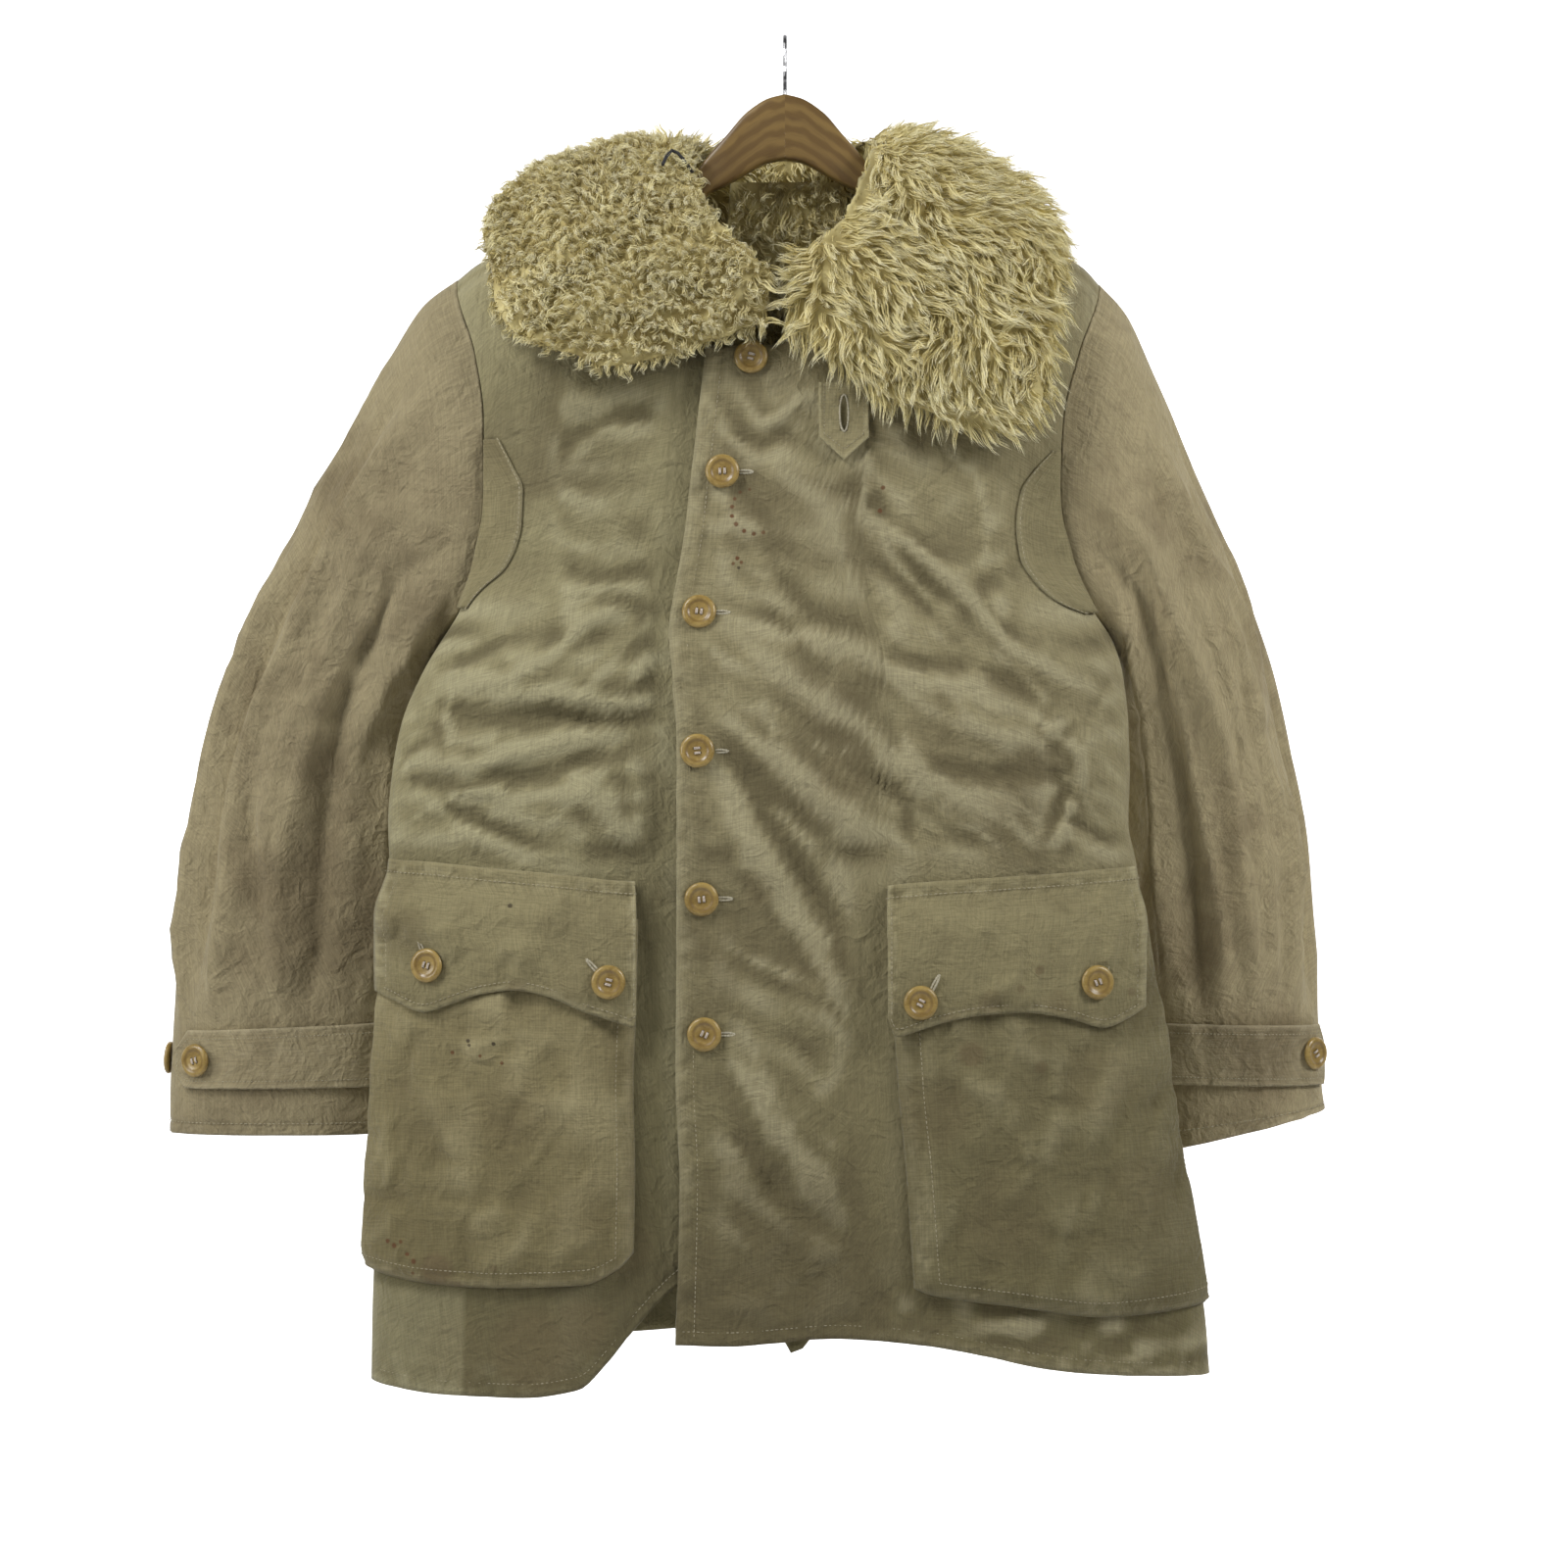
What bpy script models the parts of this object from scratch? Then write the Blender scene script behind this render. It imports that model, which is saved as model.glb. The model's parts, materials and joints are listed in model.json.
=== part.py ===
# A sheepskin coat of canvas with a wide wool collar, buttoned and hung on a wooden hanger.
# The origin is the inside of the hook's bend, where the rail carries it. +X is to the right
# as one faces the coat, +Y runs from the front to the back, +Z is up. Tables are in millimetres.

import math

import bmesh
import bpy
from mathutils import Vector

MM = 0.001

# Cloth and seams
CANVAS = 2.4
TAB_CLOTH = 2.2
POCKET_CLOTH = 1.5
SEAM_GAP = 0.45
SHOULDER_GAP = 0.3
NECK_CORNER_GAP = 0.9
ARMHOLE_GAP = 0.6
SEAM_ROW = 0.05
SEAM_STEP = 1.2
LAY_GAP = 0.7

# Heights of the main points, all below the hook
UNDERARM = -448.0
FRONT_NECK = -238.0
HEM_LEVEL = -980.0
NECK_HALF = 84.0
NECK_BEND = 76.0
BACK_NECK_DROP = 26.0

# How the cloth turns over the shoulder seam, and how square the body's section is
SHOULDER_TURN = 38.0
SHOULDER_ROUND = 12.0
SECTION_POWER = 2.6

# height, right side x, left side x, front depth, back depth, front depth at the armhole,
# back depth at the armhole, side seam y
BODY = (
    (-1018, -310, 319, 58, 52, 0, 0, -14),
    (-954, -309, 314, 59, 53, 0, 0, -14),
    (-924, -308, 307, 60, 54, 0, 0, -14),
    (-850, -306, 294, 61, 55, 0, 0, -14),
    (-784, -303, 284, 61, 56, 0, 0, -13),
    (-717, -296, 275, 61, 57, 0, 0, -13),
    (-665, -294, 269, 60, 58, 0, 0, -12),
    (-621, -296, 263, 60, 58, 0, 0, -15),
    (-591, -297, 257, 61, 59, 0, 0, -16),
    (-554, -294, 258, 62, 60, 0, 0, -16),
    (-517, -287, 257, 60, 62, 0, 0, -16),
    (-480, -272, 253, 60, 63, 0, 0, -14),
    (-455, -258, 246, 61, 63, 0, 0, -9),
    (-430, -242, 229, 62, 61, 18, 21, -3),
    (-390, -230, 213, 62, 60, 25, 31, 0),
    (-340, -224, 205, 60, 59, 30, 37, 0),
    (-290, -224, 207, 57, 57, 35, 40, 0),
    (-240, -231, 219, 54, 54, 36, 38, 0),
    (-190, -246, 236, 50, 51, 33, 34, 0),
    (-150, -248, 239, 47, 49, 30, 31, 0),
    (-100, -248, 239, 45, 47, 28, 29, 0),
)
HEIGHT, RIGHT_SIDE, LEFT_SIDE, FRONT, BACK, FRONT_EDGE, BACK_EDGE, SIDE_SEAM = range(8)

# x, height of the shoulder seam
SHOULDER = ((-248, -183), (-230, -169), (-200, -156), (-150, -140), (-84, -121), (0, -112),
            (84, -121), (150, -141), (200, -159), (224, -172), (239, -188))

# height, x of the edge of the front that lies over the other
OVER_EDGE = ((-980, -80), (-848, -77), (-777, -80), (-635, -79), (-540, -79), (-485, -82), (-449, -85),
             (-413, -80), (-378, -74), (-342, -70), (-298, -65), (-230, -58), (-100, -50))
UNDERLAP = 46.0
UNDERLAP_RECESS = 9.0
RECESS_FROM = -165.0
RECESS_TO = -95.0
RECESS_BELOW = -178.0

# x, height of each hem
OVER_HEM = ((-90, -972), (-44, -974), (0, -971), (35, -968), (71, -970), (107, -974), (144, -981),
            (188, -991), (225, -996), (318, -1002))
UNDER_HEM = ((-311, -1006), (-254, -1012), (-195, -1013), (-152, -1007), (-131, -988), (-109, -960),
             (-80, -930), (-45, -905), (-20, -895))
BACK_HEM = ((-312, -1006), (-200, -995), (-110, -981), (-40, -978), (-6, -981), (8, -1001), (22, -983),
            (60, -982), (150, -990), (250, -1000), (320, -1001))
VENT_CORNER = (-6.0, 8.0, 22.0)

# The largest folds: start x, start height, end x, end height, half width, rise (a trough is negative)
OVER_FOLDS = (
    (30, -376, 140, -478, 13, 8), (140, -478, 228, -512, 13, 8), (-50, -440, 95, -520, 24, 9),
    (60, -500, 190, -470, 15, -6), (-40, -482, 30, -478, 18, -6), (-58, -520, 50, -606, 16, 10),
    (-30, -560, 25, -680, 13, -9), (-40, -568, 66, -800, 17, 10), (-20, -640, 40, -820, 14, -7),
    (-48, -766, 74, -912, 15, 9), (-55, -800, 40, -920, 15, -7), (186, -520, 214, -575, 13, 8),
    (90, -566, 190, -550, 18, -7), (110, -530, 215, -560, 14, 6), (-20, -890, 66, -945, 17, 8),
)
UNDER_FOLDS = (
    (-262, -485, -150, -442, 14, 9), (-228, -496, -130, -450, 15, 10), (-232, -515, -125, -474, 13, -8),
    (-275, -548, -110, -532, 14, 10), (-272, -566, -105, -514, 13, -9), (-176, -505, -100, -524, 13, 8),
    (-264, -580, -190, -572, 12, 8), (-252, -584, -150, -630, 14, -10), (-272, -548, -256, -500, 12, 8),
    (-150, -700, -105, -830, 13, -7), (-112, -880, -85, -790, 12, 8), (-200, -600, -110, -590, 13, 7),
)
BACK_FOLDS = (
    (-150, -300, -60, -520, 20, 8), (140, -320, 70, -560, 22, 8), (-225, -460, -110, -650, 18, -8),
    (215, -470, 120, -670, 18, -8), (-60, -560, -90, -960, 24, 10), (60, -600, 95, -965, 24, 10),
    (0, -420, 6, -930, 22, -9), (-205, -660, -185, -980, 22, 9), (205, -680, 195, -980, 22, 9),
)

# outer x, outer height, inner x, inner height, half depth, y of the middle
RIGHT_SLEEVE = (
    (-248, -183, -255, -448, 40, 0), (-272, -200, -260, -455, 45, 4), (-302, -246, -264, -465, 48, 10),
    (-335, -308, -269, -477, 49, 18), (-369, -372, -274, -492, 48, 28), (-401, -431, -279, -506, 46, 36),
    (-428, -493, -284, -529, 43, 42), (-447, -556, -288, -568, 41, 46), (-459, -627, -291, -624, 40, 48),
    (-467, -699, -293, -691, 39, 49), (-471, -756, -295, -749, 37, 49), (-473, -801, -297, -800, 36, 49),
    (-473, -829, -298, -829, 36, 49),
)
LEFT_SLEEVE = (
    (239, -188, 247, -448, 40, 0), (258, -208, 250, -455, 45, 4), (281, -256, 251, -465, 48, 11),
    (309, -318, 252, -477, 50, 21), (336, -376, 253, -492, 50, 31), (359, -431, 254, -508, 49, 40),
    (378, -491, 256, -531, 47, 48), (392, -556, 260, -570, 45, 53), (403, -623, 264, -627, 43, 56),
    (408, -693, 268, -693, 41, 57), (412, -752, 272, -750, 40, 58), (415, -798, 276, -800, 39, 58),
    (417, -812, 278, -846, 39, 58),
)
SLEEVE_SECTION_POWER = 2.2
SLEEVE_AROUND = 24
LOWER_ROWS = 18
FRONT_COLUMNS = 13
BACK_HALF_COLUMNS = 9
SLEEVE_RINGS = 18
ROUND_DEPTH = 0.75
SET_IN_BELOW = 60.0
SLEEVE_SETTLE = 2.5
LAST_RING = 12.0
# turn round the sleeve in degrees at the top and at the cuff, half width in degrees, rise
RIGHT_SLEEVE_FOLDS = ((66, 58, 9, 6), (48, 38, 10, -6), (20, 28, 8, 5), (120, 100, 12, -6),
                      (230, 240, 16, 6), (290, 300, 16, -5))
LEFT_SLEEVE_FOLDS = ((100, 74, 10, 6), (128, 108, 12, -7), (60, 44, 12, 5), (24, 20, 10, -4),
                     (240, 236, 16, 6), (300, 290, 16, -5))

# height, x of the inner seam of each underarm gusset
RIGHT_GUSSET = ((-432, -236), (-426, -232), (-417, -224), (-403, -208), (-386, -199), (-370, -195),
                (-343, -194), (-327, -201), (-306, -212))
LEFT_GUSSET = ((-436, 222), (-432, 210), (-424, 196), (-412, 184), (-395, 174), (-370, 171),
               (-344, 175), (-330, 184), (-315, 198))
GUSSET_END = 0.93
GUSSET_SPARE = 0.8

# Pockets: inner edge x, mouth height, depth of the bellows, and x, height of the bottom edge
POCKET_MOUTH = -661.0
POCKET_BELLOWS = 10.0
POCKET_MIDDLE = -800.0
POCKET_ROWS = 10
POCKET_COLUMNS = 10
# distance in from the rim, and how far each of the outermost rows stands off the front
POCKET_INSET = (0.0, 3.5, 12.0)
POCKET_STAND = (2.4, 7.5, 10.0, 11.5)
INNER_INSET_SCALE = 0.0029
OUTER_INSET_SCALE = 0.0018
POCKET_MOUTH_DEPTH = 3.0
POCKET_SIDE_END = 0.93
RIGHT_POCKET_INNER = -108.0
LEFT_POCKET_INNER = 76.0
RIGHT_POCKET_BOTTOM = ((-310, -922), (-262, -930), (-217, -932), (-146, -929), (-122, -918), (-108, -902))
LEFT_POCKET_BOTTOM = ((76, -926), (95, -936), (144, -944), (216, -954), (310, -946))

# Flaps: x, top height, lower height, from the centre front outwards
RIGHT_FLAP = ((-110, -633, -734), (-113, -633, -740), (-128, -632, -735), (-146, -630, -729),
              (-172, -627, -717),
              (-196, -625, -713), (-219, -623, -716), (-240, -621, -723), (-261, -619, -730),
              (-280, -618, -722), (-292, -617, -716))
LEFT_FLAP = ((75, -636, -732), (82, -635, -746), (107, -633, -738), (140, -631, -731), (172, -629, -729),
             (205, -627, -734), (229, -625, -741), (246, -624, -735), (258, -623, -727))
FLAP_ROWS = 6
FLAP_TOP = 3.4
FLAP_LIFT = 2.4
FLAP_SPARE = 1.2

# Buttons of horn
BUTTON_RADIUS = 12.5
BUTTON_THICK = 4.0
FLAP_BUTTON_STAND = 0.8
BUTTON_DISH_RADIUS = 8.4
BUTTON_DISH = 1.5
BUTTON_SIDES = 12
# x, height, how far its back stands off the cloth's form
FRONT_BUTTONS = ((-25, -247, 0.5), (-46, -332, 0.6), (-63, -436, 1.4), (-64, -538, 2.0), (-61, -646, 1.2),
                 (-59, -745, 0.8))
RIGHT_FLAP_BUTTONS = ((-257, -696), (-131, -707))
LEFT_FLAP_BUTTONS = ((97, -721), (224, -708))
# along the sleeve, degrees round it, how far out
RIGHT_CUFF_BUTTONS = ((10.34, 48, 4.0), (10.34, 358, 0.4))
LEFT_CUFF_BUTTONS = ((10.3, 34, 3.7), (10.4, 318, 0.5))

# Throat tab: half width, top and corner heights, height of the point, buttonhole
TAB_X = 43.5
TAB_HALF = 18.5
TAB_TOP = -266.0
TAB_CORNER = -307.0
TAB_POINT = -324.0
TAB_SPARE = 0.6
TAB_TILT = 4.0
TAB_HOLE_TOP = -276.0
TAB_HOLE_LONG = 24.0
TAB_HOLE_WIDE = 3.2

# Cuff tabs: place along the sleeve of the middle, half width, degrees from its point to its root
CUFF_TAB_ROW = 10.35
CUFF_TAB_HALF = 0.46
CUFF_TAB_SPARE = 0.4
RIGHT_CUFF_TAB = (22, 172)
LEFT_CUFF_TAB = (4, 150)

# Collar stations from the wearer's right front, round the back, to the left front:
# fold x, fold y, fold height, edge x, edge y, edge height, rise, thickness
COLLAR = (
    (-11, -64, -182, -14, -66, -224, 0, 20),
    (-26, -66, -170, -62, -70, -240, 3, 24),
    (-46, -62, -152, -124, -68, -255, 8, 26),
    (-60, -50, -128, -172, -62, -242, 14, 28),
    (-69, -28, -104, -212, -44, -212, 22, 31),
    (-72, 0, -92, -226, -8, -144, 24, 32),
    (-62, 26, -84, -212, 42, -140, 26, 31),
    (-40, 46, -76, -138, 80, -182, 22, 29),
    (0, 56, -77, 0, 94, -214, 12, 27),
    (36, 46, -72, 134, 80, -190, 20, 29),
    (56, 26, -72, 192, 40, -156, 22, 30),
    (66, 0, -80, 206, -10, -152, 22, 30),
    (62, -28, -98, 200, -44, -210, 18, 30),
    (52, -50, -126, 190, -62, -274, 12, 28),
    (38, -62, -150, 158, -70, -303, 8, 27),
    (20, -66, -168, 78, -72, -278, 3, 24),
    (4, -64, -180, 4, -66, -224, 0, 20),
)
COLLAR_ACROSS = (0.0, 0.07, 0.2, 0.42, 0.66, 0.86, 0.96, 1.0)
COLLAR_CLEAR = 2.0

# Wool inside the back of the neck: height, half width
NECK_FLEECE = ((-100, 42), (-124, 44), (-150, 52), (-185, 68), (-240, 78))
NECK_FLEECE_THICK = 8.0
NECK_FLEECE_GAP = 6.8

# Hanger: x, middle height, height of the section, thickness
HANGER = ((0.3, -66.5, 49, 15), (12, -69, 48, 15), (28, -78, 46, 15), (44, -91.5, 37, 16), (58, -103, 28, 14),
          (69, -116, 23, 13), (76, -132, 20, 13), (82, -141, 19, 15))
# Past the neck it lies under the shoulder seam: x, height of the section, thickness
HANGER_ARM = ((100, 20, 20), (140, 20, 24), (175, 18, 24), (198, 14, 20), (206, 7, 12))
HANGER_UNDER_CLOTH = 6.0
HANGER_SIDES = 12
HOOK_WIRE = 1.7
HOOK_BEND = 16.0
HOOK_SHANK_END = -62.0
HOOK_HOLE = 2.1

# The dark loop that lies on the wool beside the hanger: x, y, height
LOOP_RADIUS = 1.3
HANG_LOOP = ((-68.5, -37.2, -107.5), (-72.2, -35.8, -102.2), (-75.9, -35.6, -97.1), (-79.7, -36.4, -92.9),
             (-84.1, -36.0, -90.9), (-88.0, -41.7, -96.8), (-90.5, -48.9, -104.2))

CANVAS_COLOUR = (0.36, 0.32, 0.20)
SHADE_CANVAS_COLOUR = (0.33, 0.29, 0.18)
WOOL_COLOUR = (0.66, 0.58, 0.36)
HORN_COLOUR = (0.55, 0.30, 0.09)
WOOD_COLOUR = (0.42, 0.26, 0.12)
STEEL_COLOUR = (0.62, 0.62, 0.63)
LOOP_COLOUR = (0.03, 0.03, 0.035)


def clear_scene():
    for obj in list(bpy.data.objects):
        bpy.data.objects.remove(obj, do_unlink=True)


def material(name, colour, roughness, metallic=0.0):
    made = bpy.data.materials.new(name)
    made.use_nodes = True
    shader = made.node_tree.nodes["Principled BSDF"]
    shader.inputs["Base Color"].default_value = (*colour, 1.0)
    shader.inputs["Roughness"].default_value = roughness
    shader.inputs["Metallic"].default_value = metallic
    return made


def smooth_step(value):
    value = min(1.0, max(0.0, value))
    return value * value * (3.0 - 2.0 * value)


def through(rows, column=1):
    # A smooth curve through a table's rows, read by the first column.
    rows = sorted(rows)
    at = [row[0] for row in rows]
    value = [row[column] for row in rows]
    slope = [(value[i + 1] - value[i]) / (at[i + 1] - at[i]) for i in range(len(at) - 1)]
    tangent = [slope[0]] + [0.0] * (len(at) - 2) + [slope[-1]]
    for i in range(1, len(at) - 1):
        if slope[i - 1] * slope[i] > 0:
            tangent[i] = 2.0 * slope[i - 1] * slope[i] / (slope[i - 1] + slope[i])

    def read(x):
        if x <= at[0]:
            return value[0]
        if x >= at[-1]:
            return value[-1]
        i = next(k for k in range(len(at) - 1) if x <= at[k + 1])
        width = at[i + 1] - at[i]
        t = (x - at[i]) / width
        return ((1 + 2 * t) * (1 - t) ** 2 * value[i] + t * (1 - t) ** 2 * width * tangent[i]
                + t * t * (3 - 2 * t) * value[i + 1] + t * t * (t - 1) * width * tangent[i + 1])

    return read


right_side = through(BODY, RIGHT_SIDE)
left_side = through(BODY, LEFT_SIDE)
front_depth = through(BODY, FRONT)
back_depth = through(BODY, BACK)
front_edge_depth = through(BODY, FRONT_EDGE)
back_edge_depth = through(BODY, BACK_EDGE)
side_seam = through(BODY, SIDE_SEAM)
shoulder = through(SHOULDER)
over_edge = through(OVER_EDGE)
over_hem = through(OVER_HEM)
under_hem = through(UNDER_HEM)
back_hem = through(BACK_HEM)


def side_of(x, z):
    return left_side(z) if x >= 0 else right_side(z)


def across_depth(x, z, middle, edge):
    # How far the cloth stands from the side seam's plane at x, below the turn of the shoulder.
    across = min(1.0, abs(x / side_of(x, z)))
    set_in = smooth_step((z - UNDERARM) / SET_IN_BELOW)
    power = (1.0 - set_in) / SECTION_POWER + set_in * ROUND_DEPTH
    return edge + (middle - edge) * (1.0 - across ** SECTION_POWER) ** power


def shoulder_run(fall):
    # The way over the rounded shoulder for a fall from its ridge.
    return math.sqrt((max(0.0, fall) + SHOULDER_ROUND) ** 2 - SHOULDER_ROUND ** 2)


def body_depth(x, z, middle, edge):
    turn = 1.0 - math.exp(-shoulder_run(shoulder(x) - z) / SHOULDER_TURN)
    return across_depth(x, z, middle, edge) * turn


def front_y(x, z):
    return side_seam(z) - body_depth(x, z, front_depth(z), front_edge_depth(z))


def back_y(x, z):
    return side_seam(z) + body_depth(x, z, back_depth(z), back_edge_depth(z))


def fold_rise(folds, x, z):
    total = 0.0
    for x0, z0, x1, z1, width, rise in folds:
        long = math.hypot(x1 - x0, z1 - z0)
        along = ((x - x0) * (x1 - x0) + (z - z0) * (z1 - z0)) / long ** 2
        if 0.0 < along < 1.0:
            away = ((x - x0) * (z1 - z0) - (z - z0) * (x1 - x0)) / long
            total += rise * math.exp(-(away / width) ** 2) * math.sin(math.pi * along) ** 0.6
    return total


def fold_room(x, z, across, inner):
    # Folds fade out under the pockets, flaps and gussets, and at the armhole and side seams.
    room = smooth_step((1.0 - across) * 5.0)
    if z < -600:
        room *= 1.0 - smooth_step((-600 - z) / 14.0) * smooth_step((abs(x) - abs(inner) + 46.0) / 20.0)
    if z > -452:
        room *= 1.0 - smooth_step((z + 462.0) / 14.0) * smooth_step((abs(x) - 158.0) / 14.0)
    return room * smooth_step((-250.0 - z) / 40.0)


def seam_gap(x, across):
    # The cloth stands back from its seams: a little more at the neck's corner, where it turns.
    corner = math.exp(-((abs(x) - NECK_HALF) / 16.0) ** 2)
    return SEAM_GAP * abs(across) + SHOULDER_GAP + NECK_CORNER_GAP * corner


def over_front(across, z):
    # The wearer's left front, which lies on top: 0 at its buttoned edge, 1 at the side.
    edge = over_edge(z)
    x = edge + (left_side(z) - edge) * math.sin(across * math.pi / 2)
    rise = fold_rise(OVER_FOLDS, x, z) * fold_room(x, z, across, LEFT_POCKET_INNER)
    keep = smooth_step((x + 75.0) / 60.0)
    rise = max(rise, 0.0) * (0.3 + 0.7 * keep) + min(rise, 0.0) * keep
    return Vector((x, front_y(x, z) - rise - seam_gap(x, across), z))


def under_front(across, z):
    # The wearer's right front: 0 at the edge that lies hidden under the other, 1 at the side.
    edge = over_edge(z) + UNDERLAP
    x = edge + (right_side(z) - edge) * math.sin(across * math.pi / 2)
    recess = UNDERLAP_RECESS * smooth_step((x - RECESS_FROM) / (RECESS_TO - RECESS_FROM))
    recess *= smooth_step((RECESS_BELOW - z) / 55.0)
    rise = fold_rise(UNDER_FOLDS, x, z) * fold_room(x, z, across, RIGHT_POCKET_INNER)
    rise *= 1.0 - smooth_step((x + 110.0) / 20.0)
    return Vector((x, front_y(x, z) + recess - rise - seam_gap(x, across), z))


def across_at(panel_edge, side, x, z):
    share = (x - panel_edge(z)) / (side(z) - panel_edge(z))
    return 2.0 / math.pi * math.asin(min(1.0, max(0.0, share)))


def under_edge(z):
    return over_edge(z) + UNDERLAP


def moved_out(surface, across, z, out, turn):
    # A point of a surface, moved out along its normal. turn is 1 or -1, for which way round it runs.
    step, drop = 0.004, 2.0
    a = surface(min(1.0, across + step), z) - surface(across - step, z)
    b = surface(across, z + drop) - surface(across, z - drop)
    normal = a.cross(b).normalized() * turn
    return surface(across, z) + normal * out


def back_panel(across, z):
    # -1 at the wearer's right side, 1 at the left.
    x = abs(side_of(across, z)) * math.sin(across * math.pi / 2)
    rise = fold_rise(BACK_FOLDS, x, z) * smooth_step((1.0 - abs(across)) * 5.0)
    return Vector((x, back_y(x, z) + rise + seam_gap(x, across), z))


def shoulder_or_neck(x, low, sharp):
    # The top edge of a panel: the shoulder seam, and the neckline inside it.
    if abs(x) >= NECK_HALF:
        return shoulder(x)
    return low + (shoulder(NECK_HALF) - low) * (abs(x) / NECK_HALF) ** sharp


def shoulder_top(x_at):
    # The height at which a column of the cloth meets the shoulder seam.
    z = -160.0
    for _ in range(12):
        z = shoulder(x_at(z))
    return z


def with_neck_columns(spread, places):
    # Adds the columns at the neck's corners, in place of any that lie close to them.
    kept = [across for across in spread if all(abs(across - place) > 0.02 for place in places)]
    return sorted(kept + places)


def panel_rows(tip, hem_side):
    # Shares of the way from a panel's top to its hem. At the armhole they fall where the
    # sleeve's own points fall, so that the two edges run alongside each other.
    middle, half = (tip + UNDERARM) / 2, (tip - UNDERARM) / 2
    turns = [2 * math.pi * k / SLEEVE_AROUND for k in range(SLEEVE_AROUND // 2 + 1)]
    heights = [middle + half * math.cos(turn) for turn in turns]
    heights += [UNDERARM + (hem_side - UNDERARM) * (k + 1) / LOWER_ROWS for k in range(LOWER_ROWS)]
    return [(tip - z) / (tip - hem_side) for z in heights]


def column_heights(top, bottom, shares, at_shoulder):
    heights = [top + (bottom - top) * share for share in shares]
    heights.insert(1, top - SEAM_ROW if at_shoulder else (heights[0] + heights[1]) / 2)
    return heights


def mesh_object(name, points, faces, look, collection):
    mesh = bpy.data.meshes.new(name)
    mesh.from_pydata([Vector(p) * MM for p in points], [], faces)
    mesh.validate()
    obj = bpy.data.objects.new(name, mesh)
    obj.data.materials.append(look)
    collection.objects.link(obj)
    mesh.shade_smooth()
    return obj


def grid_faces(rows, columns, cyclic=False, flip=False):
    faces = []
    for i in range(rows - 1):
        for j in range(columns if cyclic else columns - 1):
            k = (j + 1) % columns
            face = (i * columns + j, i * columns + k, (i + 1) * columns + k, (i + 1) * columns + j)
            faces.append(face[::-1] if flip else face)
    return faces


def cloth(name, grid, thickness, look, collection, cyclic=False, flip=False):
    # An open sheet of points, given its thickness on the inside.
    points = [p for row in grid for p in row]
    faces = grid_faces(len(grid), len(grid[0]), cyclic, not flip)
    obj = mesh_object(name, points, faces, look, collection)
    wall = obj.modifiers.new("Wall", "SOLIDIFY")
    wall.thickness = thickness * MM
    wall.offset = -1.0
    return obj


def make_fronts(look, parts):
    for name, surface, edge, side, hem, flip in (
        ("front_left", over_front, over_edge, left_side, over_hem, False),
        ("front_right", under_front, under_edge, right_side, under_hem, True),
    ):
        hand = math.copysign(1.0, side(0))
        tip = shoulder_top(side)
        shares = panel_rows(tip, hem(side(HEM_LEVEL)))
        corners = [across_at(edge, side, hand * x, shoulder(x)) for x in (NECK_BEND, NECK_HALF)]
        lines = []
        for across in with_neck_columns([j / FRONT_COLUMNS for j in range(FRONT_COLUMNS + 1)], corners):
            top = shoulder_top(lambda z: surface(across, z)[0])
            x = surface(across, top)[0]
            at_shoulder = across >= corners[1]
            if x * hand < 0:
                top = FRONT_NECK
            elif not at_shoulder:
                top = shoulder_or_neck(x, FRONT_NECK, 2.0)
            heights = column_heights(top, hem(surface(across, HEM_LEVEL)[0]), shares, at_shoulder)
            lines.append([surface(across, z) for z in heights])
        cloth(name, [list(row) for row in zip(*lines)], CANVAS, look, parts, flip=flip)


def make_back(look, parts):
    half = BACK_HALF_COLUMNS
    spread = [j / half for j in range(-half, half + 1)]
    spread += [2 / math.pi * math.asin(x / side_of(x, HEM_LEVEL)) * math.copysign(1, x) for x in VENT_CORNER]
    corners = []
    for x in (-NECK_HALF, -NECK_BEND, NECK_BEND, NECK_HALF):
        corners.append(2 / math.pi * math.asin(x / abs(side_of(x, shoulder(x)))))
    lines = []
    for across in with_neck_columns(spread, corners):
        tip = shoulder_top(right_side if across < 0 else left_side)
        top = shoulder_top(lambda z: back_panel(across, z)[0])
        x = back_panel(across, top)[0]
        at_shoulder = abs(across) >= abs(corners[0] if across < 0 else corners[3])
        if not at_shoulder:
            top = shoulder_or_neck(x, shoulder(NECK_HALF) - BACK_NECK_DROP, 3.0)
        shares = panel_rows(tip, back_hem(side_of(across, HEM_LEVEL)))
        heights = column_heights(top, back_hem(back_panel(across, HEM_LEVEL)[0]), shares, at_shoulder)
        lines.append([back_panel(across, z) for z in heights])
    cloth("back", [list(row) for row in zip(*lines)], CANVAS, look, parts, flip=True)


def armhole(side, turn):
    # The armhole seam: 0 degrees at the shoulder tip, 90 at the front, 180 at the underarm.
    tip = shoulder_top(side)
    z = (tip + UNDERARM) / 2 + (tip - UNDERARM) / 2 * math.cos(turn)
    x = side(z)
    y = front_y(x, z) if math.sin(turn) >= 0 else back_y(x, z)
    return Vector((x, y, z))


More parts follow.
